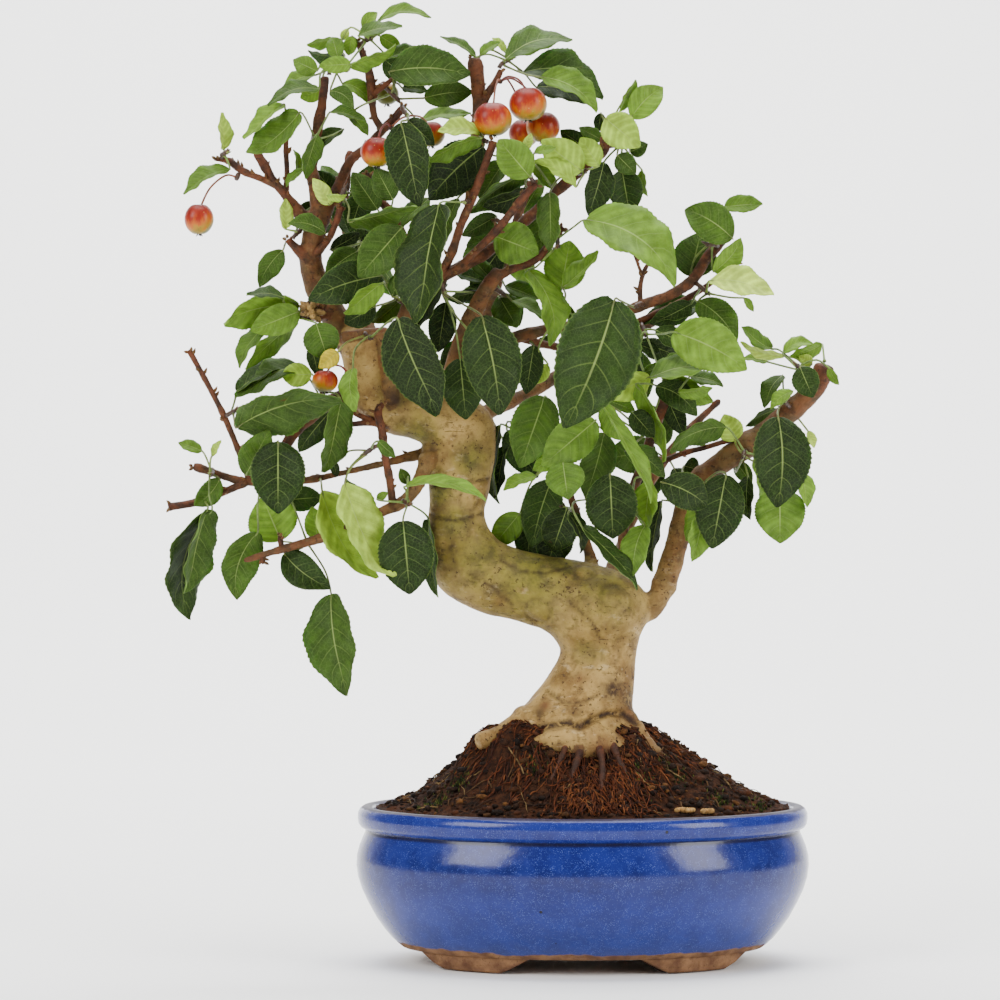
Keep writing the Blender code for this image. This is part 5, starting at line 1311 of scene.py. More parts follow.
def stalk_material():
    """Fresh green stalk, slightly glossy, coloured by the piece's attribute."""
    skin = Skin("fresh stalk", "#6f8a3a", 0.45, 1.45)
    tint = skin.shaded(skin.clouded(0.35, 0.65, "#b9b9b9", "#ffffff", 2.5, 4.0))
    return skin.finished(tint, skin.grain(0.8, 3.0), 0.08, 0.5)


def fruit_material():
    """Crabapple skin: waxy, red where the sun strikes from above and yellow-green below, with
    pale pores and fine streaks. The attribute holds how ripe each point is; on the shaded fruit it
    is set low as painted shade, olive and dark."""
    skin = Skin("crabapple skin", "#8a2416", 0.4, 1.45, 0.25)
    streak = skin.maths("MULTIPLY_ADD", skin.grain(3.2, 5.0, 0.6, (1.6, 1.6, 0.5)), 0.7, -0.35)
    tint = skin.node("ShaderNodeValToRGB", {
        "Fac": skin.maths("ADD", skin.own("ripe_and_shade", "Fac"), streak),
    }, (
        (0.12, "#545718"), (0.95, "#640f0c"), (0.32, "#94700f"), (0.48, "#a8520a"),
        (0.66, "#88230c"),
    ))["Color"]
    tint = skin.laid(tint, skin.ranged(skin.cells(520.0), 0.16, 0.06), 0.5, "#c89c50")
    skin.keep("Coat Weight", 0.08)
    skin.keep("Coat Roughness", 0.2)
    return skin.finished(tint, skin.grain(2.0, 2.0), 0.06, 0.4)


def plastic_material():
    """Moulded polyethylene mesh: black, matt with a faint sheen from the mould."""
    skin = Skin("moulded polyethylene", "#121314", 0.5, 1.5)
    tint = skin.mixed(skin.grain(5.0), "#101113", "#222427")
    return skin.finished(tint, skin.grain(0.6, 2.0), 0.05, 0.4)


def clear_selection():
    if bpy.context.object and bpy.context.object.mode != "OBJECT":
        bpy.ops.object.mode_set(mode="OBJECT")
    bpy.ops.object.select_all(action="DESELECT")


def only(obj):
    """Selects one object alone and makes it the active one."""
    clear_selection()
    obj.select_set(True)
    bpy.context.view_layer.objects.active = obj


def keep_place(obj):
    """Puts the object's place, turn and size into its mesh."""
    only(obj)
    bpy.ops.object.transform_apply(location=True, rotation=True, scale=True)


def taken_apart(obj):
    """The points and faces of what was modelled, for its copies. The object itself goes."""
    points = [v.co.copy() for v in obj.data.vertices]
    faces = [tuple(face.vertices) for face in obj.data.polygons]
    bpy.data.objects.remove(obj)
    return points, faces


def linked(name, data):
    """A new object in the scene."""
    obj = bpy.data.objects.new(name, data)
    bpy.context.scene.collection.objects.link(obj)
    return obj


def finish_piece(obj, name, nodes=()):
    """Names a piece, lets it ride with the plant and stand for its nodes."""
    clear_selection()
    obj.name = name
    obj.data.name = name
    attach(obj, "root")
    if nodes:
        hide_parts(*nodes)


class Shape:
    """Gathers vertices in mm, faces, their materials, colours and blade places for one piece."""

    def __init__(self):
        self.verts = []
        self.faces = []
        self.slots = []
        self.tints = []
        self.spread = []

    def take(self, verts, faces, slot=0, tint=(1, 1, 1, 1), spread=None):
        start = len(self.verts)
        self.verts += verts
        self.faces += [tuple(start + i for i in face) for face in faces]
        self.slots += slot if isinstance(slot, list) else [slot] * len(faces)
        self.tints += tint if isinstance(tint[0], (list, tuple)) else [tint] * len(verts)
        self.spread += spread if spread else [NO_BLADE] * len(verts)

    def tube(self, path, sizes, sides, slot, tint):
        self.take(*tube(path, sizes, sides), slot, tint)

    def made(self, name, materials, layer="tint"):
        mesh = bpy.data.meshes.new(name)
        mesh.from_pydata([v * TO_METRES for v in self.verts], [], self.faces)
        for mat in materials:
            mesh.materials.append(mat)
        mesh.polygons.foreach_set("material_index", self.slots)
        mesh.polygons.foreach_set("use_smooth", [True] * len(self.faces))
        colour = mesh.attributes.new(layer, "FLOAT_COLOR", "POINT")
        colour.data.foreach_set("color", [c for tint in self.tints for c in tint])
        if any(place != NO_BLADE for place in self.spread):
            uv = mesh.uv_layers.new(name="blade")
            for loop in mesh.loops:
                uv.data[loop.index].uv = self.spread[loop.vertex_index]
        mesh.update()
        return linked(name, mesh)


def eased(points, k, t):
    """The place at a share t of the way from point k to the next one, on a rounded path."""
    p0, p3 = points[max(k - 1, 0)], points[min(k + 2, len(points) - 1)]
    p1, p2 = points[k], points[k + 1]
    return 0.5 * (
        2 * p1 + (p2 - p0) * t + (2 * p0 - 5 * p1 + 4 * p2 - p3) * t * t
        + (3 * p1 - p0 - 3 * p2 + p3) * t * t * t
    )


def smooth_path(points, step):
    """A rounded path through points, cut into pieces of about a step, with its shares."""
    found = []
    for k in range(len(points) - 1):
        pieces = max(1, round((points[k + 1] - points[k]).length / step))
        found += [(eased(points, k, i / pieces), k + i / pieces) for i in range(pieces)]
    return found + [(points[-1], len(points) - 1)]


def between(values, at):
    k = min(int(at), len(values) - 2)
    return values[k] + (values[k + 1] - values[k]) * (at - k)


def smooth_middles(verts, sides, rings, step):
    """A rounded path through the middles of a tube's rings."""
    middles = [sum(verts[k * sides:(k + 1) * sides], Vector()) / sides for k in range(rings)]
    return middles, [point for point, _ in smooth_path(middles, step)]


def oval_plate(half_x, half_y, z):
    """A flat oval face at the pot's middle."""
    bpy.ops.mesh.primitive_circle_add(
        vertices=POT_SIDES, radius=1.0, fill_type="NGON",
        location=(POT_MIDDLE_X * TO_METRES, 0, z * TO_METRES),
    )
    obj = bpy.context.object
    obj.scale = (half_x * TO_METRES, half_y * TO_METRES, 1)
    keep_place(obj)
    return obj


def extrude_ring(half_x, half_y, z, last):
    """Extrudes the selected ring or face to a new half length, half depth and height."""
    bpy.ops.mesh.extrude_region_move(
        TRANSFORM_OT_translate={"value": (0, 0, (z - last[2]) * TO_METRES)}
    )
    bpy.ops.transform.resize(
        value=(half_x / last[0], half_y / last[1], 1),
        center_override=(POT_MIDDLE_X * TO_METRES, 0, z * TO_METRES),
    )


def faced_outward(mesh, close=False):
    """Turns a closed mesh's faces outward, after filling an open rim where there is one."""
    build = bmesh.new()
    build.from_mesh(mesh)
    rim = [edge for edge in build.edges if edge.is_boundary]
    if close and rim:
        bmesh.ops.contextual_create(build, geom=rim)
    bmesh.ops.recalc_face_normals(build, faces=build.faces)
    if close and build.calc_volume(signed=True) < 0:
        bmesh.ops.reverse_faces(build, faces=build.faces)
    build.to_mesh(mesh)
    build.free()


class BONSAI_OT_pot(bpy.types.Operator):
    """Turn the glazed pot ring by ring, and set its four clay feet"""

    bl_idname = "bonsai.pot"
    bl_label = "Pot"

    def execute(self, context):
        clear_selection()
        pot = oval_plate(*FINE_POT[0])
        bpy.ops.object.mode_set(mode="EDIT")
        bpy.ops.mesh.select_all(action="SELECT")
        for ring, last in zip(FINE_POT[1:], FINE_POT):
            extrude_ring(*ring, last)
        bpy.ops.object.mode_set(mode="OBJECT")
        # The bottom face went with the first extrusion, so the open ring there is filled.
        faced_outward(pot.data, close=True)
        pot.data.materials.append(glaze_material())
        pot.data.materials.append(clay_material())
        for x in (-1, 1):
            for y in (-1, 1):
                self.add_foot(pot, x, y)
        only(pot)
        bpy.ops.object.shade_smooth_by_angle(angle=math.radians(50))
        finish_piece(pot, "glazed_pot", ("pot",))
        return {"FINISHED"}

    def add_foot(self, pot, mirror_x, mirror_y):
        verts, faces = foot(mirror_x, mirror_y)
        mesh = bpy.data.meshes.new("foot")
        mesh.from_pydata([v * TO_METRES for v in verts], [], faces)
        for mat in pot.data.materials:
            mesh.materials.append(mat)
        mesh.polygons.foreach_set("material_index", [1] * len(faces))
        faced_outward(mesh)
        made = linked("foot", mesh)
        only(made)
        rounding = made.modifiers.new("rounding", "BEVEL")
        rounding.width = 0.0011
        rounding.segments = 3
        rounding.angle_limit = math.radians(40)
        bpy.ops.object.modifier_apply(modifier="rounding")
        pot.select_set(True)
        bpy.context.view_layer.objects.active = pot
        bpy.ops.object.join()


def ground_height(x, y):
    """The soil's surface with its lumps, in mm."""
    z = soil_height(x, y)
    for across, back, tall, spread in MOUNDS:
        z += tall * math.exp(-((x - across) ** 2 + (y - back) ** 2) / spread ** 2)
    rough = noise.noise(Vector((x * 0.16, y * 0.16, 1.0))) * 1.0
    rough += noise.noise(Vector((x * 0.45, y * 0.45, 5.0))) * 0.8
    rough += abs(noise.noise(Vector((x * 1.1, y * 1.1, 9.0)))) * 0.9
    return z + rough - 0.2


def crumb(points, size, rng, stretch):
    """One crumb: a knobbly lump with a few faces."""
    turn = Matrix.Rotation(rng.uniform(0, ANY_TURN), 3, "Z")
    turn = turn @ Matrix.Rotation(rng.uniform(-0.6, 0.6), 3, "X")
    verts = []
    for v in points:
        lump = size * (1 + rng.uniform(-0.28, 0.28))
        verts.append(turn @ Vector((v[0] * lump * stretch, v[1] * lump, v[2] * lump * 0.8)))
    return verts


class BONSAI_OT_soil(bpy.types.Operator):
    """Heap the peat round the trunk, with crumbs, fibres and tufts of moss on it"""

    bl_idname = "bonsai.soil"
    bl_label = "Soil"

    def execute(self, context):
        rng = random.Random(11)
        shape = Shape()
        shape.take(*self.heap())
        trunk = spot(573, 740, 0)
        self.add_crumbs(shape, rng, trunk)
        self.add_fibres(shape, rng, trunk)
        self.add_moss(shape, rng)
        obj = shape.made("heaped_peat", [
            peat_material(), tinted_material("peat crumbs", 0.9, 1.6, "#8c8c8c", "#ffffff"),
        ])
        finish_piece(obj, "heaped_peat", ("soil",))
        return {"FINISHED"}

    def heap(self):
        """The peat's body: its rough top, and two rings down inside the pot."""
        sides = PEAT_SIDES
        turns = [math.tau * i / sides for i in range(sides)]
        verts = []
        for k in range(PEAT_RINGS + 1):
            share = 0.02 + 0.98 * (k / PEAT_RINGS) ** 0.85
            for turn in turns:
                x = POT_MIDDLE_X + PEAT_HALF_LENGTH * share * math.cos(turn)
                y = PEAT_HALF_DEPTH * share * math.sin(turn)
                verts.append(Vector((x, y, ground_height(x, y))))
        for depth, inset in ((3.0, 0.0), (9.0, 0.6)):
            for turn in turns:
                verts.append(Vector((
                    POT_MIDDLE_X + (PEAT_HALF_LENGTH - inset) * math.cos(turn),
                    (PEAT_HALF_DEPTH - inset) * math.sin(turn), SOIL_EDGE_HEIGHT - depth,
                )))
        faces = [tuple(range(sides))]
        for k in range(PEAT_RINGS + 2):
            for i in range(sides):
                a, b = k * sides + i, k * sides + (i + 1) % sides
                faces.append((a, a + sides, b + sides, b))
        last = (PEAT_RINGS + 2) * sides
        faces.append(tuple(range(last + sides - 1, last - 1, -1)))
        return verts, faces

    def add_crumbs(self, shape, rng, trunk):
        """Crumbs all over the heap but on the trunk, each a copy of one ball."""
        clear_selection()
        bpy.ops.mesh.primitive_ico_sphere_add(subdivisions=1, radius=1.0)
        ball, ball_faces = taken_apart(bpy.context.object)
        for _ in range(CRUMBS):
            turn = rng.uniform(0, math.tau)
            share = math.sqrt(rng.uniform(0.02, 1.0)) * 0.97
            x = POT_MIDDLE_X + 81.5 * share * math.cos(turn)
            y = 61.5 * share * math.sin(turn)
            if math.hypot(x - trunk.x, y) < 20:
                continue
            size = rng.choice((0.35, 0.45, 0.55, 0.6, 0.7, 0.9, 1.2, 1.6))
            centre = Vector((x, y, ground_height(x, y) + size * rng.uniform(-0.1, 0.5)))
            tint = linear(rng.choice(CRUMB_TINTS))
            lump = [centre + v for v in crumb(ball, size, rng, rng.uniform(0.8, 1.9))]
            tint = blend_colours(tint, linear("#150d08"), rng.uniform(0.1, 0.7))
            shape.take(lump, ball_faces, 1, tint)

    def add_fibres(self, shape, rng, trunk):
        """Fine dead roots and straws that lie on the peat, rusty near the trunk."""
        for k in range(FIBRES):
            near = k < NEAR_FIBRES
            if near:
                turn = rng.uniform(3.5, 6.1)
                away = rng.uniform(20, 46)
                x, y = trunk.x + away * math.cos(turn), away * math.sin(turn) * 0.95
                if k % 2:
                    x, y = rng.gauss(38, 9), rng.uniform(-50, -28)
                tint = linear(rng.choice(RUSTY_FIBRES))
            else:
                turn, share = rng.uniform(0, ANY_TURN), math.sqrt(rng.uniform(0.1, 0.92))
                x = POT_MIDDLE_X + 80 * share * math.cos(turn)
                y = 60 * share * math.sin(turn)
                tint = linear(rng.choice(DRY_FIBRES))
            way = rng.uniform(0, ANY_TURN)
            if near:
                way = math.atan2(y, x - trunk.x) + rng.uniform(-0.6, 0.6)
            path = []
            length = rng.uniform(3, 13)
            for i in range(6):
                x += math.cos(way) * length / 5
                y += math.sin(way) * length / 5
                way += rng.uniform(-0.5, 0.5)
                if math.hypot((x - POT_MIDDLE_X) / 82, y / 62) > 0.97:
                    break
                lift = 0.35 + (2.2 if near and k % 2 else 1.1) * math.sin(i * 0.6) * rng.random()
                path.append(Vector((x, y, ground_height(x, y) + lift)))
            if len(path) > 2:
                thick = rng.uniform(0.13, 0.34)
                shape.tube(path, [thick] * (len(path) - 1) + [thick * 0.4], 4, 1, tint)

    def add_moss(self, shape, rng):
        """Small tufts of moss, each a cluster of short pointed blades."""
        for px, py, depth, spread, count in MOSS:
            centre = spot(px, py, depth)
            for _ in range(count):
                x = centre.x + rng.gauss(0, spread)
                y = centre.y + rng.gauss(0, spread)
                tall = rng.uniform(0.9, 2.1)
                lean = Vector((rng.uniform(-0.5, 0.5), rng.uniform(-0.5, 0.5), 1)) * tall
                base = Vector((x, y, ground_height(x, y) - 0.2))
                path = [base, base + lean * 0.5, base + lean]
                shape.tube(path, [0.3, 0.26, 0.04], 3, 1, linear(rng.choice(MOSS_TINTS)))


def fold_away(v, fold):
    """How far a point of the wood's front is from a fold of bark, in mm."""
    heights = [z for _, z in fold]
    best = OUT_OF_REACH
    if v.y > -3 or not min(heights) - 5 < v.z < max(heights) + 5:
        return best
    for (x1, z1), (x2, z2) in zip(fold, fold[1:]):
        long, tall = x2 - x1, z2 - z1
        share = ((v.x - x1) * long + (v.z - z1) * tall) / (long ** 2 + tall ** 2)
        share = min(max(share, 0.0), 1.0)
        best = min(best, math.hypot(v.x - x1 - share * long, v.z - z1 - share * tall))
    return best


class BONSAI_OT_wood(bpy.types.Operator):
    """Grow the trunk, limbs, twigs and roots as one body of wood with bark"""

    bl_idname = "bonsai.wood"
    bl_label = "Wood"

    def execute(self, context):
        solid = Shape()
        solid.take(*self.fine_trunk())
        thin = []
        for name, points in LIMBS.items():
            if max(r for _, _, r, _ in points) >= 6.5:
                solid.take(*self.fine_limb(points, 12, 2.0, name))
            else:
                thin.append(self.fine_limb(points, 9, 1.3, name))
        body = solid.made("wood_body", [])
        only(body)
        melt = body.modifiers.new("melt", "REMESH")
        melt.mode = "VOXEL"
        melt.voxel_size = settings().wood_voxel
        soften = body.modifiers.new("soften", "SMOOTH")
        soften.factor = 0.5
        soften.iterations = 4
        bpy.ops.object.modifier_apply(modifier="melt")
        bpy.ops.object.modifier_apply(modifier="soften")
        normals = [v.normal.copy() for v in body.data.vertices]
        verts, faces = taken_apart(body)
        thin.insert(0, ([self.barked(v / TO_METRES, n) for v, n in zip(verts, normals)], faces))
        shape = Shape()
        marks = self.zone_marks()
        for verts, faces in thin:
            shape.take(verts, faces, 0, [self.zones(v, marks) for v in verts])
        for points in THIN_ROOTS:
            shape.take(*self.fine_root(points), 0, (1.0, 0.0, 0.55, 1))
        self.add_buds(shape)
        obj = shape.made("wood_and_bark", [bark_material()], "zones")
        finish_piece(obj, "wood_and_bark", ("wood",))
        return {"FINISHED"}

    def fine_trunk(self):
        edges = [(spot(a, b, 0), spot(c, d, 0)) for a, b, c, d in TRUNK_EDGES]
        sides, pieces = 40, 3
        verts = []
        for row in range((len(edges) - 1) * pieces + 1):
            k = min(row // pieces, len(edges) - 2)
            t = (row - k * pieces) / pieces
            a, b = (eased([edge[side] for edge in edges], k, t) for side in (0, 1))
            half = (b - a) / 2
            for j in range(sides):
                turn = math.tau * j / sides
                ripple = 1 + 0.03 * math.sin(3 * turn + 0.45 * (k + t)) * math.sin(turn) ** 2
                verts.append(
                    (a + b) / 2 - half * math.cos(turn)
                    - Vector((0, math.sin(turn) * half.length * TRUNK_DEPTH_SHARE * ripple, 0))
                )
        faces = []
        last = len(verts) - sides
        for k in range(0, last, sides):
            for j in range(sides):
                i = k + (j + 1) % sides
                faces.append((k + j, i, i + sides, k + j + sides))
        faces.append(tuple(range(sides - 1, -1, -1)))
        faces.append(tuple(range(last, last + sides)))
        return verts, faces

    def fine_limb(self, points, sides, step, name):
        rng = random.Random(name)
        coarse, radii = limb_line(points, 1.0 if sides > 9 or "root" in name else TWIG_SLIM)
        path = smooth_path(coarse, step)
        sizes = []
        phase = rng.uniform(0, ANY_TURN)
        for k, (_, at) in enumerate(path):
            knob = max(0.0, math.sin(k * 0.55 + phase)) ** 6 * 0.16
            sizes.append(between(radii, at) * (1 + knob + rng.uniform(-0.04, 0.04)))
        sizes[-1] *= 0.8
        return tube([point for point, _ in path], sizes, sides, 0.3)

    def fine_root(self, points):
        rng = random.Random(points[0][0])
        path = smooth_path(root_line(points), 1.5)
        sizes = [between([r for _, _, r in points], at) * rng.uniform(0.4, 0.68) for _, at in path]
        return tube([p for p, _ in path], sizes, 10)

    def barked(self, v, normal):
        """Bark relief: long swells, cross ridges and small bumps."""
        swell = noise.noise(v * 0.055) * 0.8 + noise.noise(v * 0.16 + Vector((7, 0, 0))) * 0.38
        ridge = noise.noise(Vector((v.x * 0.35, v.y * 0.35, v.z * 0.95))) * 0.2
        for centre, reach, depth in KNOTS:
            away = (v - centre).length / reach
            if away < 2.2:
                ring = math.exp(-((away - 0.95) ** 2) * 14)
                swell += depth * (math.exp(-away * away * 2.2) - 0.6 * ring)
        for depth, width, fold in FOLDS:
            away = fold_away(v, fold) / width
            if away < 6:
                lip = math.exp(-((away - 2) ** 2) / 1.5)
                swell += depth * (0.43 * lip - math.exp(-away * away))
        return v + normal * (swell + ridge) * 0.62

    def zone_marks(self):
        """Points along the wood with how young it is there, for the nearest to give its colour."""
        marks = []
        for a, b, c, d in TRUNK_EDGES:
            left, right = spot(a, b, 0), spot(c, d, 0)
            marks.append(((left + right) / 2, 0.0, (right - left).length / 2))
        for name, points in LIMBS.items():
            low, high = YOUNG.get(name, (0.9, 1.0))
            coarse, radii = limb_line(points)
            for place, at in smooth_path(coarse, 2.5):
                share = (at / (len(points) - 1)) ** 0.6
                marks.append((place, low + (high - low) * share, between(radii, at)))
        for points in THIN_ROOTS:
            x, y, _ = points[1]
            marks.append((Vector((x, y, soil_height(x, y))), 0.85, 2.5))
        return marks

    def zones(self, v, marks):
        """How young and mossy the wood is at a point, and how dark: from scars, knot rings, nearness to
        the soil and painted shade in fold creases.
        """
        best, young = 1e9, 0.0
        for place, level, radius in marks:
            away = (v - place).length_squared / (radius * radius + 2)
            if away < best:
                best, young = away, level
        moss = dark_marks_and_crease_shade = 0.0
        for centre, reach, kind in PATCHES:
            level = math.exp(-((v - centre).length / reach) ** 2 * 1.6)
            if kind == "moss":
                moss = max(moss, level)
            elif kind == "rust":
                young = max(young, 0.75 * level)
            else:
                dark_marks_and_crease_shade = max(dark_marks_and_crease_shade, level)
        # Painted shade along each fold's crease, darker where the fold is deeper.
        for depth, width, fold in FOLDS:
            line = math.exp(-((fold_away(v, fold) / width / 1.15) ** 2))
            dark_marks_and_crease_shade = max(dark_marks_and_crease_shade, min(depth, 1.2) / 1.2 * line)
        for centre, reach, depth in KNOTS:
            ring = (v - centre).length / reach - 0.95
            dark_marks_and_crease_shade = max(dark_marks_and_crease_shade, 0.42 * math.exp(-ring * ring * 40))
        # Below that height the bark is darker, the lower the darker, in uneven patches.
        if v.z < DARKENED_BELOW:
            low_darkening = min(0.8, (DARKENED_BELOW - v.z) / 14)
            dark_marks_and_crease_shade = max(dark_marks_and_crease_shade, low_darkening * (0.6 + 0.7 * noise.noise(v * 0.14)))
        return (young, moss * (1 - 0.7 * young), dark_marks_and_crease_shade, 1)

    def add_buds(self, shape):
        """Pointed scaly buds at the ends and along the sides of twigs, and a fat bunch of them."""
        rng = random.Random(5)
        for k in range(16):
            way = Vector((rng.uniform(-0.9, 0.9), rng.uniform(-1, 0.1), rng.uniform(-0.5, 1)))
            way.normalize()
            base = spot(311, 312, -13) + way * 1.0
            long = rng.uniform(3.4, 5.2)
            path = [base, base + way * long * 0.3, base + way * long * 0.75, base + way * long]
            tint = (rng.uniform(0.1, 0.5), 0, rng.uniform(0, 0.4), 1)
            shape.tube(path, [0.9, 1.45, 1.1, 0.25], 8, 0, tint)
        for name, points in LIMBS.items():
            if max(r for _, _, r, _ in points) > 8 or "root" in name:
                continue
            line, _ = limb_line(points)
            for k in range(1, len(points)):
                along = (line[k] - line[k - 1]).normalized()
                for _ in range(2 if k < len(points) - 1 else 3):
                    way = Vector((rng.uniform(-1, 1), rng.uniform(-1, 1), rng.uniform(-0.3, 1)))
                    way = (way - along * way.dot(along)).normalized() + along * 0.7
                    base = line[k] + way.normalized() * points[k][2] * STEP * 0.7
                    base -= along * rng.uniform(0, 3)
                    long = rng.uniform(1.3, 2.4)
                    path = [base, base + way * long * 0.35, base + way * long * 0.7, base + way * long]
                    shape.tube(path, [0.55, 0.75, 0.5, 0.08], 6, 0, (0.75, 0, 0.1, 1))


def blade_master(rows, columns):
    """A blade's pattern, modelled once: a thin grid from base to tip and from edge to edge."""
    clear_selection()
    bpy.ops.mesh.primitive_grid_add(x_subdivisions=rows, y_subdivisions=columns, size=2.0)
    obj = bpy.context.object
    skin = obj.modifiers.new("skin", "SOLIDIFY")
    skin.thickness = 0.02
    skin.offset = 0.0
    bpy.ops.object.modifier_apply(modifier="skin")
    points, faces = taken_apart(obj)
    places = [((v.x + 1) / 2, v.y, 1 if v.z > 0 else -1) for v in points]
    slots = [int(sum(places[i][2] for i in face) < 0) for face in faces]
    return places, faces, slots, rows


def fine_blade(leaf, master):
    """The leaf's blade over the pattern: folded, arched, waved, quilted and toothed."""
    places, faces, slots, rows = master
    verts = []
    thick = settings().blade_thick / TO_METRES / 2
    edge_wave = 0.12 * leaf.half
    for s, v, h in places:
        row = round(s * rows)
        at = min(max(s, 0.012), 0.992)
        far = abs(v)
        if far > BLADE_EDGE:
            at = min(at + 0.35 / rows * (row % 2), 0.995)
        half = max(leaf.half_width(at) * (1.04 - 0.5 * max(at - 0.72, 0)), 0.55 * (1 - at) ** 3)
        if far > BLADE_EDGE:
            half *= 1.015 if row % 2 else 0.975
        way = 1 if v > 0 else -1
        out = half * far
        wave = 0.1 * leaf.half * math.sin(9 * at + leaf.phase[v > 0]) * far * far
        wave += edge_wave * math.sin(21 * at + leaf.phase[0] + way) * far ** 3 * 0.6
        sweep = math.cos(math.tau * VEINS * (at - VEIN_SWEEP * far ** VEIN_POWER))
        quilt = 0.03 * leaf.half * sweep * math.sin(math.pi * min(far, 1))
        groove = -0.25 if far < 0.01 else 0.0
        up = out * math.sin(leaf.fold) * (0.55 + 0.45 * far) + wave - quilt + groove
        point = leaf.middle(at) + leaf.side * way * out * math.cos(leaf.fold * (0.5 + 0.5 * far))
        taper = thick * (1.0 - 0.55 * far ** 4)
        # The tip is drawn out and curls back, and the blade's sides twist a little about the rib.
        curl = -0.09 * leaf.length * max(0.0, at - 0.62) ** 2 / 0.1444 * math.sin(leaf.phase[0])
        twist = way * out * 0.14 * math.sin(leaf.phase[1]) * (at - 0.4)
        verts.append(point + leaf.normal * (up + curl + twist + h * taper))
    return verts, faces, slots, [(s, v / 2 + 0.5) for s, v, _ in places]


def fine_stalk(leaf):
    """The stalk and, under the blade, the midrib that it runs into."""
    coarse = [leaf.root - leaf.out * 0.5, leaf.root + leaf.out * 0.5] + leaf.stalk()
    under = -leaf.normal * (0.25 + settings().blade_thick / TO_METRES / 2)
    coarse += [leaf.middle(s) + under * (1 - s) for s in (0.12, 0.3, 0.5, 0.72)]
    path = smooth_path(coarse, 1.6)
    blade_from = len(coarse) - 5
    sizes = []
    for _, at in path:
        flare = 0.45 * max(0.0, 1 - at / 1.4)
        sizes.append(0.44 + flare if at <= blade_from else 0.44 - 0.3 * (at - blade_from) / 4)
    return tube([p for p, _ in path], sizes, 6)


def leaf_kit():
    """What every leaf is made with, made once: a large and a small pattern, and the materials."""
    if not LEAF_KIT:
        LEAF_KIT.append([blade_master(*pattern) for pattern in BLADE_PATTERNS])
        LEAF_KIT.append([
            leaf_material("waxy leaf face", False), leaf_material("downy leaf back", True),
            stalk_material(),
        ])
    return LEAF_KIT


def add_leaf(shape, leaf, masters, rng):
    """One leaf's blade and stalk in the shape, green by its tone, which holds its own colour and painted
    light and shade.
    """
    master = masters[0] if leaf.length > LONG_LEAF else masters[1]
    points, parts, slots, spread = fine_blade(leaf, master)
    low, high = LEAF_TONES[leaf.tone]
    tone = blend_colours(linear(low), linear(high), rng.random())
    back = blend_colours(tone, linear("#6c8a44"), 0.6 if leaf.tone < LIGHT else 0.35)
    shape.take(points, parts, slots, [tone if h > 0 else back for _, _, h in master[0]], spread)
    green = blend_colours(linear("#748c3e"), tone, 0.25)
    tint = blend_colours(green, linear("#5c2c1c"), rng.uniform(0, 0.35))
    shape.take(*fine_stalk(leaf), 2, tint)


class BONSAI_OT_sprays(bpy.types.Operator):
    """Grow every leafy shoot: stalks, veined and toothed blades, buds"""

    bl_idname = "bonsai.sprays"
    bl_label = "Leafy sprays"

    def execute(self, context):
        masters, materials = leaf_kit()
        shoots, grown, _ = plant_plan()
        for name in SPRAYS:
            rng = random.Random(name + " colour")
            shape = Shape()
            self.add_shoot(shape, shoots[name][0], rng)
            for _, leaf in grown[name]:
                add_leaf(shape, leaf, masters, rng)
            obj = shape.made(name + "_leaves", materials)
            finish_piece(obj, name + "_leaves", (name,))
        return {"FINISHED"}

    def add_shoot(self, shape, verts, rng):
        """The short shoot as a ringed, scaly spur with a bud at its tip."""
        rings, path = smooth_middles(verts, 5, 4, 0.7)
        sizes = [
            SHOOT_RADIUS * (1.12 if k % 3 == 0 else 0.94) * rng.uniform(0.95, 1.05)
            for k in range(len(path))
        ]
        shape.tube(path, sizes, 9, 2, linear("#442c1c"))
        along = (rings[3] - rings[2]).normalized()
        for k in range(4):
            way = along + Vector((
                rng.uniform(-0.5, 0.5), rng.uniform(-0.5, 0.5), rng.uniform(-0.3, 0.6)
            ))
            base = rings[3] - along * 0.6
            path = [base, base + way * 0.8, base + way * 1.6, base + way * 2.4]
            tint = linear(rng.choice(("#5e4226", "#6f7a38", "#3f2a1a")))
            shape.tube(path, [0.5, 0.62, 0.4, 0.06], 6, 2, tint)


class BONSAI_OT_inner(bpy.types.Operator):
    """Fill the crown with the leaves that hang behind and between the sprays"""

    bl_idname = "bonsai.inner"
    bl_label = "Inner leaves"

    def execute(self, context):
        masters, materials = leaf_kit()
        marks = []
        for name, points in LIMBS.items():
            if "root" not in name:
                line, radii = limb_line(points)
                marks += [(place, between(radii, at)) for place, at in smooth_path(line, 3.0)]
        shape = Shape()
        rng = random.Random("inner leaves")
        for bx, bz, tx, tz, width, depth, tone, bow in INNER_LEAVES:
            base = spot(bx, bz, depth)
            tip = spot(tx, tz, depth + rng.uniform(-4, 4))
            place, radius = min(marks, key=lambda mark: (mark[0] - base).length_squared)
            out = (base - place).normalized()
            root = place + out * radius * 0.7
            aside = out.orthogonal().normalized() * 0.4
            face = [root + Matrix.Rotation(turn, 3, out) @ aside for turn in (0, 2.0944, 4.1888)]
            leaf = Leaf(face, base, tip, width * STEP, tone, bow * STEP, rng)
            add_leaf(shape, leaf, masters, rng)
        finish_piece(shape.made("inner_leaves", materials), "inner_leaves")
        return {"FINISHED"}


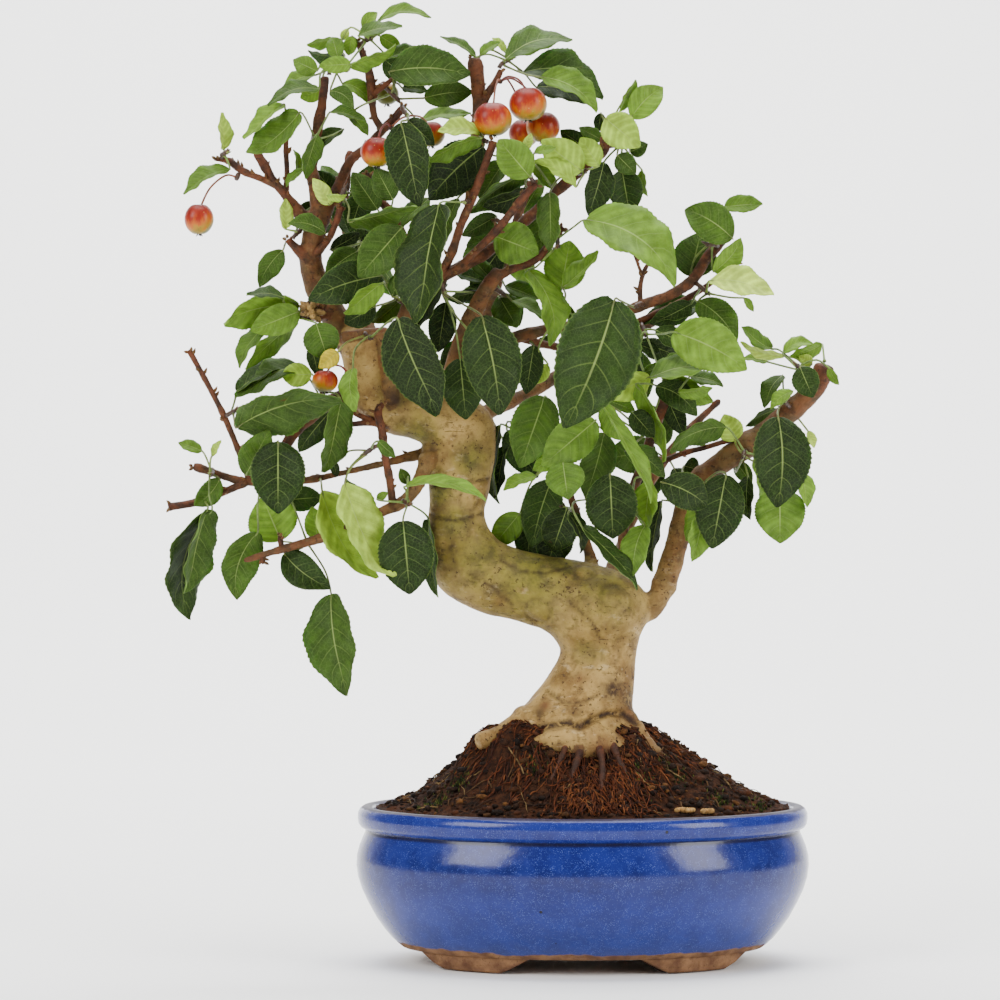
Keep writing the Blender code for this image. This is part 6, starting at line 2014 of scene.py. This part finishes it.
class BONSAI_OT_fruit(bpy.types.Operator):
    """Hang the crabapples on their red stalks"""

    bl_idname = "bonsai.fruit"
    bl_label = "Fruit"

    def execute(self, context):
        clear_selection()
        bpy.ops.mesh.primitive_uv_sphere_add(segments=32, ring_count=20, radius=1.0)
        ball = taken_apart(context.object)
        materials = [fruit_material(), stalk_material()]
        bunches = plant_plan()[2]
        for name, (hub, fruits) in FRUIT.items():
            rng = random.Random(name)
            shape = Shape()
            spur, *parts = bunches[name]
            _, path = smooth_middles(spur[0], 5, 3, 0.7)
            sizes = [1.0 * rng.uniform(0.92, 1.1) for _ in path]
            shape.tube(path, sizes, 9, 1, linear("#442a1a"))
            for (x, z, width, tall, y), stalk in zip(fruits, parts[::2]):
                self.add_stalk(shape, stalk[0], rng)
                self.add_apple(shape, ball, spot(x, z, y), width * STEP / 2, tall, name, rng)
            obj = shape.made(name + "_ripe", materials)
            values = obj.data.attributes.new("ripe_and_shade", "FLOAT", "POINT")
            values.data.foreach_set("value", [tint[0] for tint in shape.tints])
            finish_piece(obj, name + "_ripe", (name,))
        return {"FINISHED"}

    def add_stalk(self, shape, verts, rng):
        _, path = smooth_middles(verts, 3, 4, 0.9)
        sizes = [0.42 + 0.16 * (k < 2) + 0.14 * (k > len(path) - 3) for k in range(len(path))]
        shape.tube(path, sizes, 8, 1, linear(rng.choice(("#7c2c1c", "#70281a", "#86482a"))))

    def add_apple(self, shape, ball, centre, radius, tall, name, rng):
        points, faces = ball
        verts, tints = [], []
        sun = Vector((rng.uniform(-0.5, 0.5), -0.35, 1.0)).normalized()
        # The shaded fruit is set nearly unripe, olive and dark, as painted shade.
        base = {"fruit_shaded": 0.02, "fruit_low_pink": 0.42}.get(name, 0.5)
        for v in points:
            out = math.hypot(v.x, v.y)
            size = 1 + 0.018 * math.sin(5 * math.atan2(v.y, v.x)) * out
            z = v.z
            if z > 0:
                z -= 0.24 * math.exp(-(out / 0.26) ** 2)
            else:
                z += 0.16 * math.exp(-(out / 0.2) ** 2)
            verts.append(centre + Vector((v.x * size, v.y * size, z * tall * 0.98)) * radius)
            ripe_and_shade = base + 0.42 * v.dot(sun)
            tints.append((ripe_and_shade, ripe_and_shade, ripe_and_shade, 1))
        shape.take(verts, faces, 0, tints)
        # The dry calyx: five scraps round the eye below.
        for k in range(5):
            turn = k * 1.2566 + rng.uniform(-0.2, 0.2)
            way = Vector((math.cos(turn), math.sin(turn), 0))
            start = centre + Vector((0, 0, -0.86 * radius * tall)) + way * radius * 0.12
            path = [start + way * out - Vector((0, 0, down)) for out, down in CALYX]
            shape.tube(path, [0.3, 0.26, 0.06], 5, 1, linear("#22150c"))


class BONSAI_OT_litter(bpy.types.Operator):
    """Lay the dry scraps on the soil and finish the drainage screens"""

    bl_idname = "bonsai.litter"
    bl_label = "Scraps and screens"

    def execute(self, context):
        mat = tinted_material("dry stalk scrap", 0.8, 2.0, "#a0a0a0", "#ffffff")
        for name, (x, y, length, turn) in LITTER.items():
            rng = random.Random(name)
            way = Vector((math.cos(math.radians(turn)), math.sin(math.radians(turn)), 0))
            aside = Vector((-way.y, way.x, 0))
            low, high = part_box(name)
            coarse = []
            for along, side in ((-0.5, -0.06), (-0.22, 0.17), (0.15, -0.15), (0.5, 0.1)):
                point = Vector((x, y, 0)) + way * along * length + aside * side * length
                point.z = (low[2] + high[2]) / 2 / TO_METRES + 0.1
                coarse.append(point)
            path = [point for point, _ in smooth_path(coarse, 0.35)]
            sizes = [
                (0.75 + 0.35 * math.sin(math.pi * k / (len(path) - 1))) * (1.06 if k % 3 else 0.86)
                for k in range(len(path))
            ]
            verts, faces = tube(path, sizes, 12)
            shape = Shape()
            shape.take(verts, faces, 0, [linear(rng.choice(SCRAP_TINTS)) for _ in verts])
            obj = shape.made(name + "_scrap", [mat])
            finish_piece(obj, name + "_scrap", (name,))
        plastic = plastic_material()
        for name in ("drain_screen_left", "drain_screen_right"):
            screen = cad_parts[name]
            screen.data.materials.clear()
            screen.data.materials.append(plastic)
        return {"FINISHED"}


class BONSAI_OT_stage(bpy.types.Operator):
    """Set the pale floor, the soft lights and the camera"""

    bl_idname = "bonsai.stage"
    bl_label = "Stage"

    def execute(self, context):
        self.lay_paper()
        world = bpy.data.worlds.new("studio air")
        world.use_nodes = True
        air = world.node_tree.nodes["Background"].inputs
        air["Color"].default_value = (1, 1, 1, 1)
        air["Strength"].default_value = settings().fill_light
        context.scene.world = world
        for name, size_x, size_y, place, toward, watts in LAMPS:
            lamp = bpy.data.lights.new(name, "AREA")
            lamp.shape = "RECTANGLE"
            lamp.size = size_x
            lamp.size_y = size_y
            lamp.energy = watts
            holder = linked(name, lamp)
            holder.location = place
            aim = Vector(toward) - Vector(place)
            holder.rotation_euler = aim.to_track_quat("-Z", "Y").to_euler()
        lens = bpy.data.cameras.new("camera")
        lens.lens = 135.0
        lens.sensor_width = 36.0
        lens.clip_end = 100.0
        camera = linked("camera", lens)
        # The eye is level, at the height that the photo's middle row shows.
        camera.location = (0, -EYE_DISTANCE * TO_METRES, EYE_HEIGHT * TO_METRES)
        camera.rotation_euler = (math.radians(90), 0, 0)
        context.scene.camera = camera
        return {"FINISHED"}

    def lay_paper(self):
        clear_selection()
        bpy.ops.mesh.primitive_plane_add(size=9.0, location=(0, -2.2, -0.0004))
        floor = bpy.context.object
        floor.name = "paper_sweep"
        keep_place(floor)
        # The back edge turns up into a curved wall, as a roll of studio paper does.
        bpy.ops.object.mode_set(mode="EDIT")
        build = bmesh.from_edit_mesh(floor.data)
        for item in list(build.verts) + list(build.edges) + list(build.faces):
            item.select = False
        for edge in build.edges:
            if all(v.co.y > 2.2 for v in edge.verts):
                edge.select_set(True)
        bmesh.update_edit_mesh(floor.data)
        bpy.ops.mesh.extrude_region_move(TRANSFORM_OT_translate={"value": (0, 0, 4.0)})
        bpy.ops.object.mode_set(mode="OBJECT")
        turn = floor.modifiers.new("turn", "BEVEL")
        turn.width = 1.1
        turn.segments = 20
        bpy.ops.object.modifier_apply(modifier="turn")
        bpy.ops.object.shade_smooth()
        skin = Skin("matt white paper", "#fbfbfa", 0.9)
        skin.plug(skin.mixed(skin.grain(400.0, 1.0), "#f7f7f6", "#fdfdfc"), "Base Color")
        floor.data.materials.append(skin.mat)


class BONSAI_PG_settings(bpy.types.PropertyGroup):
    """Sizes and colours that a user would change"""

    glaze: bpy.props.FloatVectorProperty(
        name="Glaze", description="Main blue of the glaze", subtype="COLOR",
        default=linear("#17256e")[:3], min=0, max=1,
    )
    glaze_deep: bpy.props.FloatVectorProperty(
        name="Deep glaze", description="Blue where the glaze lies thick", subtype="COLOR",
        default=linear("#0f1650")[:3], min=0, max=1,
    )
    glaze_pale: bpy.props.FloatVectorProperty(
        name="Flecks", description="Pale flecks in the glaze", subtype="COLOR",
        default=linear("#5f74c4")[:3], min=0, max=1,
    )
    blade_thick: bpy.props.FloatProperty(
        name="Blade thickness", description="Thickness of a leaf blade", unit="LENGTH",
        default=0.00045, min=0.0001, max=0.002,
    )
    wood_voxel: bpy.props.FloatProperty(
        name="Wood grid", description="How finely the trunk and limbs melt together",
        unit="LENGTH", default=0.00095, min=0.0005, max=0.003,
    )
    fill_light: bpy.props.FloatProperty(
        name="Fill light", description="Brightness of the air around the plant",
        default=0.32, min=0, max=4,
    )


class BONSAI_PT_panel(bpy.types.Panel):
    """Lists the pieces of the bonsai"""

    bl_idname = "BONSAI_PT_panel"
    bl_label = "Bonsai"
    bl_space_type = "VIEW_3D"
    bl_region_type = "UI"
    bl_category = "Bonsai"

    def draw(self, context):
        for name in ("glaze", "glaze_deep", "glaze_pale", "blade_thick", "wood_voxel", "fill_light"):
            self.layout.prop(context.scene.bonsai, name)
        for operator in OPERATORS:
            self.layout.operator(operator.bl_idname)


OPERATORS = (
    BONSAI_OT_pot, BONSAI_OT_soil, BONSAI_OT_wood, BONSAI_OT_sprays, BONSAI_OT_inner,
    BONSAI_OT_fruit, BONSAI_OT_litter, BONSAI_OT_stage,
)

# A random turn about an axis, and a distance that stands for none near.
ANY_TURN = 6.28
OUT_OF_REACH = 99.0

# How finely the pot's rings and the heap are cut, and the heap's half length and depth, mm.
POT_SIDES = 128
PEAT_SIDES = 200
PEAT_RINGS = 74
PEAT_HALF_LENGTH = 82.6
PEAT_HALF_DEPTH = 62.6

# How many crumbs and fibres lie on the peat. The near ones lie by the roots.
CRUMBS = 2600
FIBRES = 1040
NEAR_FIBRES = 800
RUSTY_FIBRES = ("#4a2410", "#5c2e16", "#33180c", "#704020")
DRY_FIBRES = ("#38261a", "#584028", "#281910", "#7c6440")
MOSS_TINTS = ("#222e0e", "#343f15", "#181f0b", "#4e5420")
SCRAP_TINTS = ("#a87f4a", "#96703e", "#b8925a")

# How much thinner a twig is than its solid, and the height in mm below which the bark is darkened
# towards the soil.
TWIG_SLIM = 0.84
DARKENED_BELOW = 92

# Six pairs of side veins, how far each sweeps to the tip and how it bends on its way.
VEINS = 6
VEIN_SWEEP = 0.24
VEIN_POWER = 1.25

# The blade patterns, for leaves longer and shorter than the length in mm, and where their edge is.
BLADE_PATTERNS = ((38, 8), (20, 6))
LONG_LEAF = 17
BLADE_EDGE = 0.99
NO_BLADE = (0.5, 0.5)

# How far out and down a scrap of the calyx goes, mm.
CALYX = ((0, 0), (0.35, 0.9), (0.9, 1.3))

# Half length, half depth and height of the pot's rings, mm.
FINE_POT = (
    (55.0, 34.0, 5.8), (70.0, 49.0, 5.8), (72.2, 51.2, 6.2), (73.6, 52.6, 7.3), (76.4, 55.4, 9.8),
    (79.4, 58.6, 13.4), (82.6, 62.0, 18.0), (85.8, 65.4, 23.8), (88.2, 67.9, 29.0),
    (89.8, 69.6, 34.0), (90.4, 70.2, 38.4), (90.2, 70.0, 42.4), (89.2, 69.1, 46.2),
    (87.9, 67.9, 49.4), (87.0, 67.0, 51.4), (86.8, 66.8, 52.4), (87.3, 67.3, 53.0),
    (88.7, 68.7, 53.8), (89.6, 69.6, 55.2), (89.9, 69.9, 57.2), (89.8, 69.8, 59.2),
    (89.0, 69.0, 60.9), (87.6, 67.6, 61.85), (86.0, 66.0, 62.0), (84.4, 64.4, 61.6),
    (83.4, 63.4, 60.6), (83.0, 63.0, 56.0), (83.0, 63.0, 34.0), (77.0, 56.5, 21.0),
    (67.0, 46.5, 12.8),
)

# Heaps of peat by the left root: place, height and spread, mm.
MOUNDS = (
    (-8, -12, 7.5, 8.0), (5, -22, 7.5, 8.0), (-1, -27, 3.6, 5.5), (36, -30, -5.5, 9.0),
    (22, -27, -3.0, 5.0), (66, -14, -2.0, 10.0), (98, -12, 3.0, 14.0),
)
CRUMB_TINTS = ("#331d0f", "#1c1008", "#45260f", "#27160b", "#56301a", "#6a4420", "#38200f")

# Moss tufts: place on the front view, depth, spread in mm and how many blades.
MOSS = (
    (432, 792, -30, 3.2, 90), (462, 778, -24, 2.6, 80), (495, 757, -16, 2.4, 60),
    (536, 790, -34, 2.2, 50), (640, 792, -36, 3.0, 70), (676, 770, -26, 3.4, 90),
    (720, 790, -30, 3.0, 70), (758, 800, -24, 2.6, 50), (560, 762, 26, 4.0, 90),
    (640, 760, 30, 4.0, 80),
)

# How young the wood is at the start and at the end of a limb: 0 is pale bark, 1 red-brown.
YOUNG = {
    "right limb": (0.1, 1.0), "front stub": (0.6, 0.7), "cut top": (0.8, 0.8),
    "left limb": (0.6, 1.0), "centre limb": (0.45, 0.9), "upper limb": (0.6, 1.0),
    "left root": (0.1, 0.1), "root burl": (0.0, 0.0), "green root": (0.0, 0.0),
    "right root": (0.4, 0.4), "right upper limb": (0.7, 1.0), "inner right": (0.8, 1.0),
    "inner left": (0.8, 1.0), "back left limb": (0.6, 1.0), "back middle limb": (0.6, 1.0),
    "back right limb": (0.6, 1.0), "back low limb": (0.6, 1.0), "thick stub": (0.8, 0.95),
    "low left limb": (0.7, 0.95), "lowest left limb": (0.4, 0.9),
}

KNOTS = (
    (spot(537, 612, -12), 5.5, 1.6), (spot(615, 600, -14), 6.5, 1.6),
    (spot(470, 500, -10), 4.5, 1.2), (spot(600, 690, -12), 5.0, -0.8),
    (spot(585, 575, -8), 5.0, 1.1), (spot(450, 560, -8), 5.0, 1.0),
    (spot(575, 720, -14), 7.0, 1.2), (spot(610, 655, -12), 4.0, 0.9),
)

# Folds of bark: depth and width in mm, and the places along each on the front view.
# Each fold's crease is also darkened as painted shade.
FOLDS = tuple((depth, width, tuple(
    ((x - MIDDLE_STEP) * STEP, (GROUND_STEP - z) * STEP) for x, z in line
)) for depth, width, line in (
    (3.0, 1.3, (
        (520, 744), (531, 730), (547, 723), (566, 720), (578, 723), (590, 717), (606, 711),
        (622, 712), (634, 722),
    )),
    (1.0, 0.7, ((428, 484), (445, 488), (462, 487), (478, 481), (492, 478))),
    (1.0, 0.7, ((426, 512), (442, 519), (460, 520), (476, 515), (490, 512))),
    (0.7, 0.6, ((500, 560), (520, 570), (545, 573), (570, 566))),
    (0.8, 0.6, ((556, 596), (575, 606), (592, 622), (600, 640))),
    (0.8, 0.7, ((470, 574), (492, 586), (512, 604))),
    (0.9, 0.8, ((548, 690), (562, 700), (580, 700), (596, 694))),
    (0.7, 0.6, ((404, 446), (420, 452), (440, 450))),
))

# Where algae, dark wounds and red-brown bark lie: place, reach in mm and kind.
PATCHES = tuple((spot(x, z, y), reach, kind) for x, z, y, reach, kind in (
    (530, 572, -6, 36.0, "moss"), (480, 560, -6, 24.0, "moss"), (600, 592, -8, 22.0, "moss"),
    (560, 560, -6, 24.0, "moss"), (470, 460, -8, 12.0, "moss"), (455, 525, -8, 14.0, "moss"),
    (440, 490, -8, 12.0, "moss"), (527, 772, -30, 9.0, "moss"), (420, 432, -6, 14.0, "moss"),
    (400, 390, -6, 12.0, "moss"), (590, 650, -8, 10.0, "moss"),
    (612, 690, -14, 6.0, "dark_marks_and_crease_shade"), (614, 694, -16, 4.0, "dark_marks_and_crease_shade"), (440, 552, -10, 2.6, "dark_marks_and_crease_shade"),
    (452, 548, -12, 2.4, "dark_marks_and_crease_shade"), (630, 700, -8, 6.0, "dark_marks_and_crease_shade"), (392, 400, -12, 6.0, "dark_marks_and_crease_shade"),
    (598, 716, -14, 6.0, "dark_marks_and_crease_shade"), (540, 716, -14, 4.0, "dark_marks_and_crease_shade"),
    (566, 756, -26, 6.5, "rust"), (600, 752, -26, 7.0, "rust"), (586, 738, -26, 4.5, "rust"),
    (578, 764, -30, 5.0, "dark_marks_and_crease_shade"), (548, 752, -24, 4.0, "dark_marks_and_crease_shade"), (632, 716, -12, 6.0, "rust"),
    (545, 705, -14, 4.0, "rust"), (578, 676, -16, 3.5, "rust"), (620, 738, -22, 4.5, "rust"),
    (690, 505, 4, 11.0, "rust"), (700, 480, 4, 9.0, "rust"), (500, 600, -10, 4.0, "rust"),
))

# Leaf colours, darkest and lightest, by tone. The tones hold painted light and shade as well as each
# leaf's own green.
LEAF_TONES = (
    ("#15200a", "#263a10"), ("#2e4215", "#405a1a"), ("#4a661f", "#6b8d2a"),
    ("#8fae38", "#b2ca50"), ("#a8941c", "#b8a428"),
)

LAMPS = (
    ("key", 0.9, 1.1, (-1.25, -1.15, 1.05), (0.02, 0, 0.17), 34.0),
    ("side", 0.7, 1.1, (1.35, -1.0, 0.75), (0.02, 0, 0.17), 26.0),
    ("top", 1.8, 1.6, (0.0, 0.2, 2.2), (0.02, 0.2, 0.0), 80.0),
    ("wall", 2.4, 0.8, (0.0, 1.0, 2.0), (0.0, 2.3, 0.5), 80.0),
)

# Leaves between the sprays: base and tip on the front view, width, depth in mm, tone and bow.
INNER_LEAVES = (
    (322, 490, 372, 582, 40, -19, PALE, -10), (208, 508, 190, 596, 26, -19, MID, -10),
    (512, 232, 466, 246, 30, 30, MID, 0), (500, 250, 470, 290, 30, 30, DARK, 0),
    (546, 196, 540, 262, 34, 20, MID, 0), (492, 290, 456, 300, 20, 8, DARK, 0),
    (498, 296, 520, 326, 34, 14, MID, 0), (505, 286, 540, 300, 18, 10, MID, 0),
    (700, 306, 642, 322, 26, 8, DARK, 0), (604, 432, 584, 500, 34, 12, MID, 0),
    (662, 500, 650, 572, 18, 8, DARK, 0), (534, 345, 526, 394, 28, 6, DARK, 0),
    (330, 412, 298, 452, 26, 4, DARK, 0), (560, 520, 548, 566, 40, 6, DARK, 0),
    (530, 520, 528, 562, 30, 8, DARK, 0), (300, 366, 238, 402, 22, -6, MID, -4),
    (506, 446, 498, 500, 20, 15, DARK, 0), (270, 322, 236, 366, 16, -12, LIGHT, 0),
    (400, 300, 372, 324, 18, 4, MID, 0), (506, 160, 480, 200, 22, 2, MID, 0),
    (668, 400, 684, 436, 22, 4, DARK, 0), (446, 282, 416, 334, 22, 2, DARK, 0),
    (458, 198, 446, 242, 18, -2, MID, 0), (532, 162, 556, 190, 18, 6, LIGHT, 0),
    (284, 104, 246, 142, 14, -12, LIGHT, 0), (602, 140, 578, 128, 14, 2, MID, 0),
    (606, 400, 636, 412, 16, 0, LIGHT, 0), (748, 476, 748, 520, 20, -8, DARK, 0),
    (800, 470, 806, 508, 16, -14, LIGHT, 0), (822, 344, 790, 356, 14, 2, LIGHT, 0),
    (636, 80, 618, 112, 12, -4, LIGHT, 0), (402, 88, 428, 92, 12, 4, DARK, 0),
    (430, 198, 400, 226, 16, -6, MID, 0), (352, 36, 348, 56, 14, -4, LIGHT, 0),
    (400, 150, 440, 190, 26, 20, MID, 0), (360, 240, 330, 200, 24, 24, DARK, 0),
    (610, 330, 640, 380, 30, 18, DARK, 0), (470, 340, 440, 370, 26, 12, DARK, 0),
)


# What is worked out or made once.
PLAN = []
LEAF_KIT = []


def plant_plan():
    """The shoots, leaves and bunches, worked out once."""
    if not PLAN:
        PLAN.append(grow())
    return PLAN[0]


def register():
    for item in (BONSAI_PG_settings,) + OPERATORS + (BONSAI_PT_panel,):
        bpy.utils.register_class(item)
    bpy.types.Scene.bonsai = bpy.props.PointerProperty(type=BONSAI_PG_settings)


def unregister():
    del bpy.types.Scene.bonsai
    for item in reversed((BONSAI_PG_settings,) + OPERATORS + (BONSAI_PT_panel,)):
        bpy.utils.unregister_class(item)


def main():
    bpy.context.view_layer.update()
    register()
    bpy.ops.bonsai.pot()
    bpy.ops.bonsai.soil()
    bpy.ops.bonsai.wood()
    bpy.ops.bonsai.sprays()
    bpy.ops.bonsai.inner()
    bpy.ops.bonsai.fruit()
    bpy.ops.bonsai.litter()
    bpy.ops.bonsai.stage()


if __name__ == "__main__":
    main()
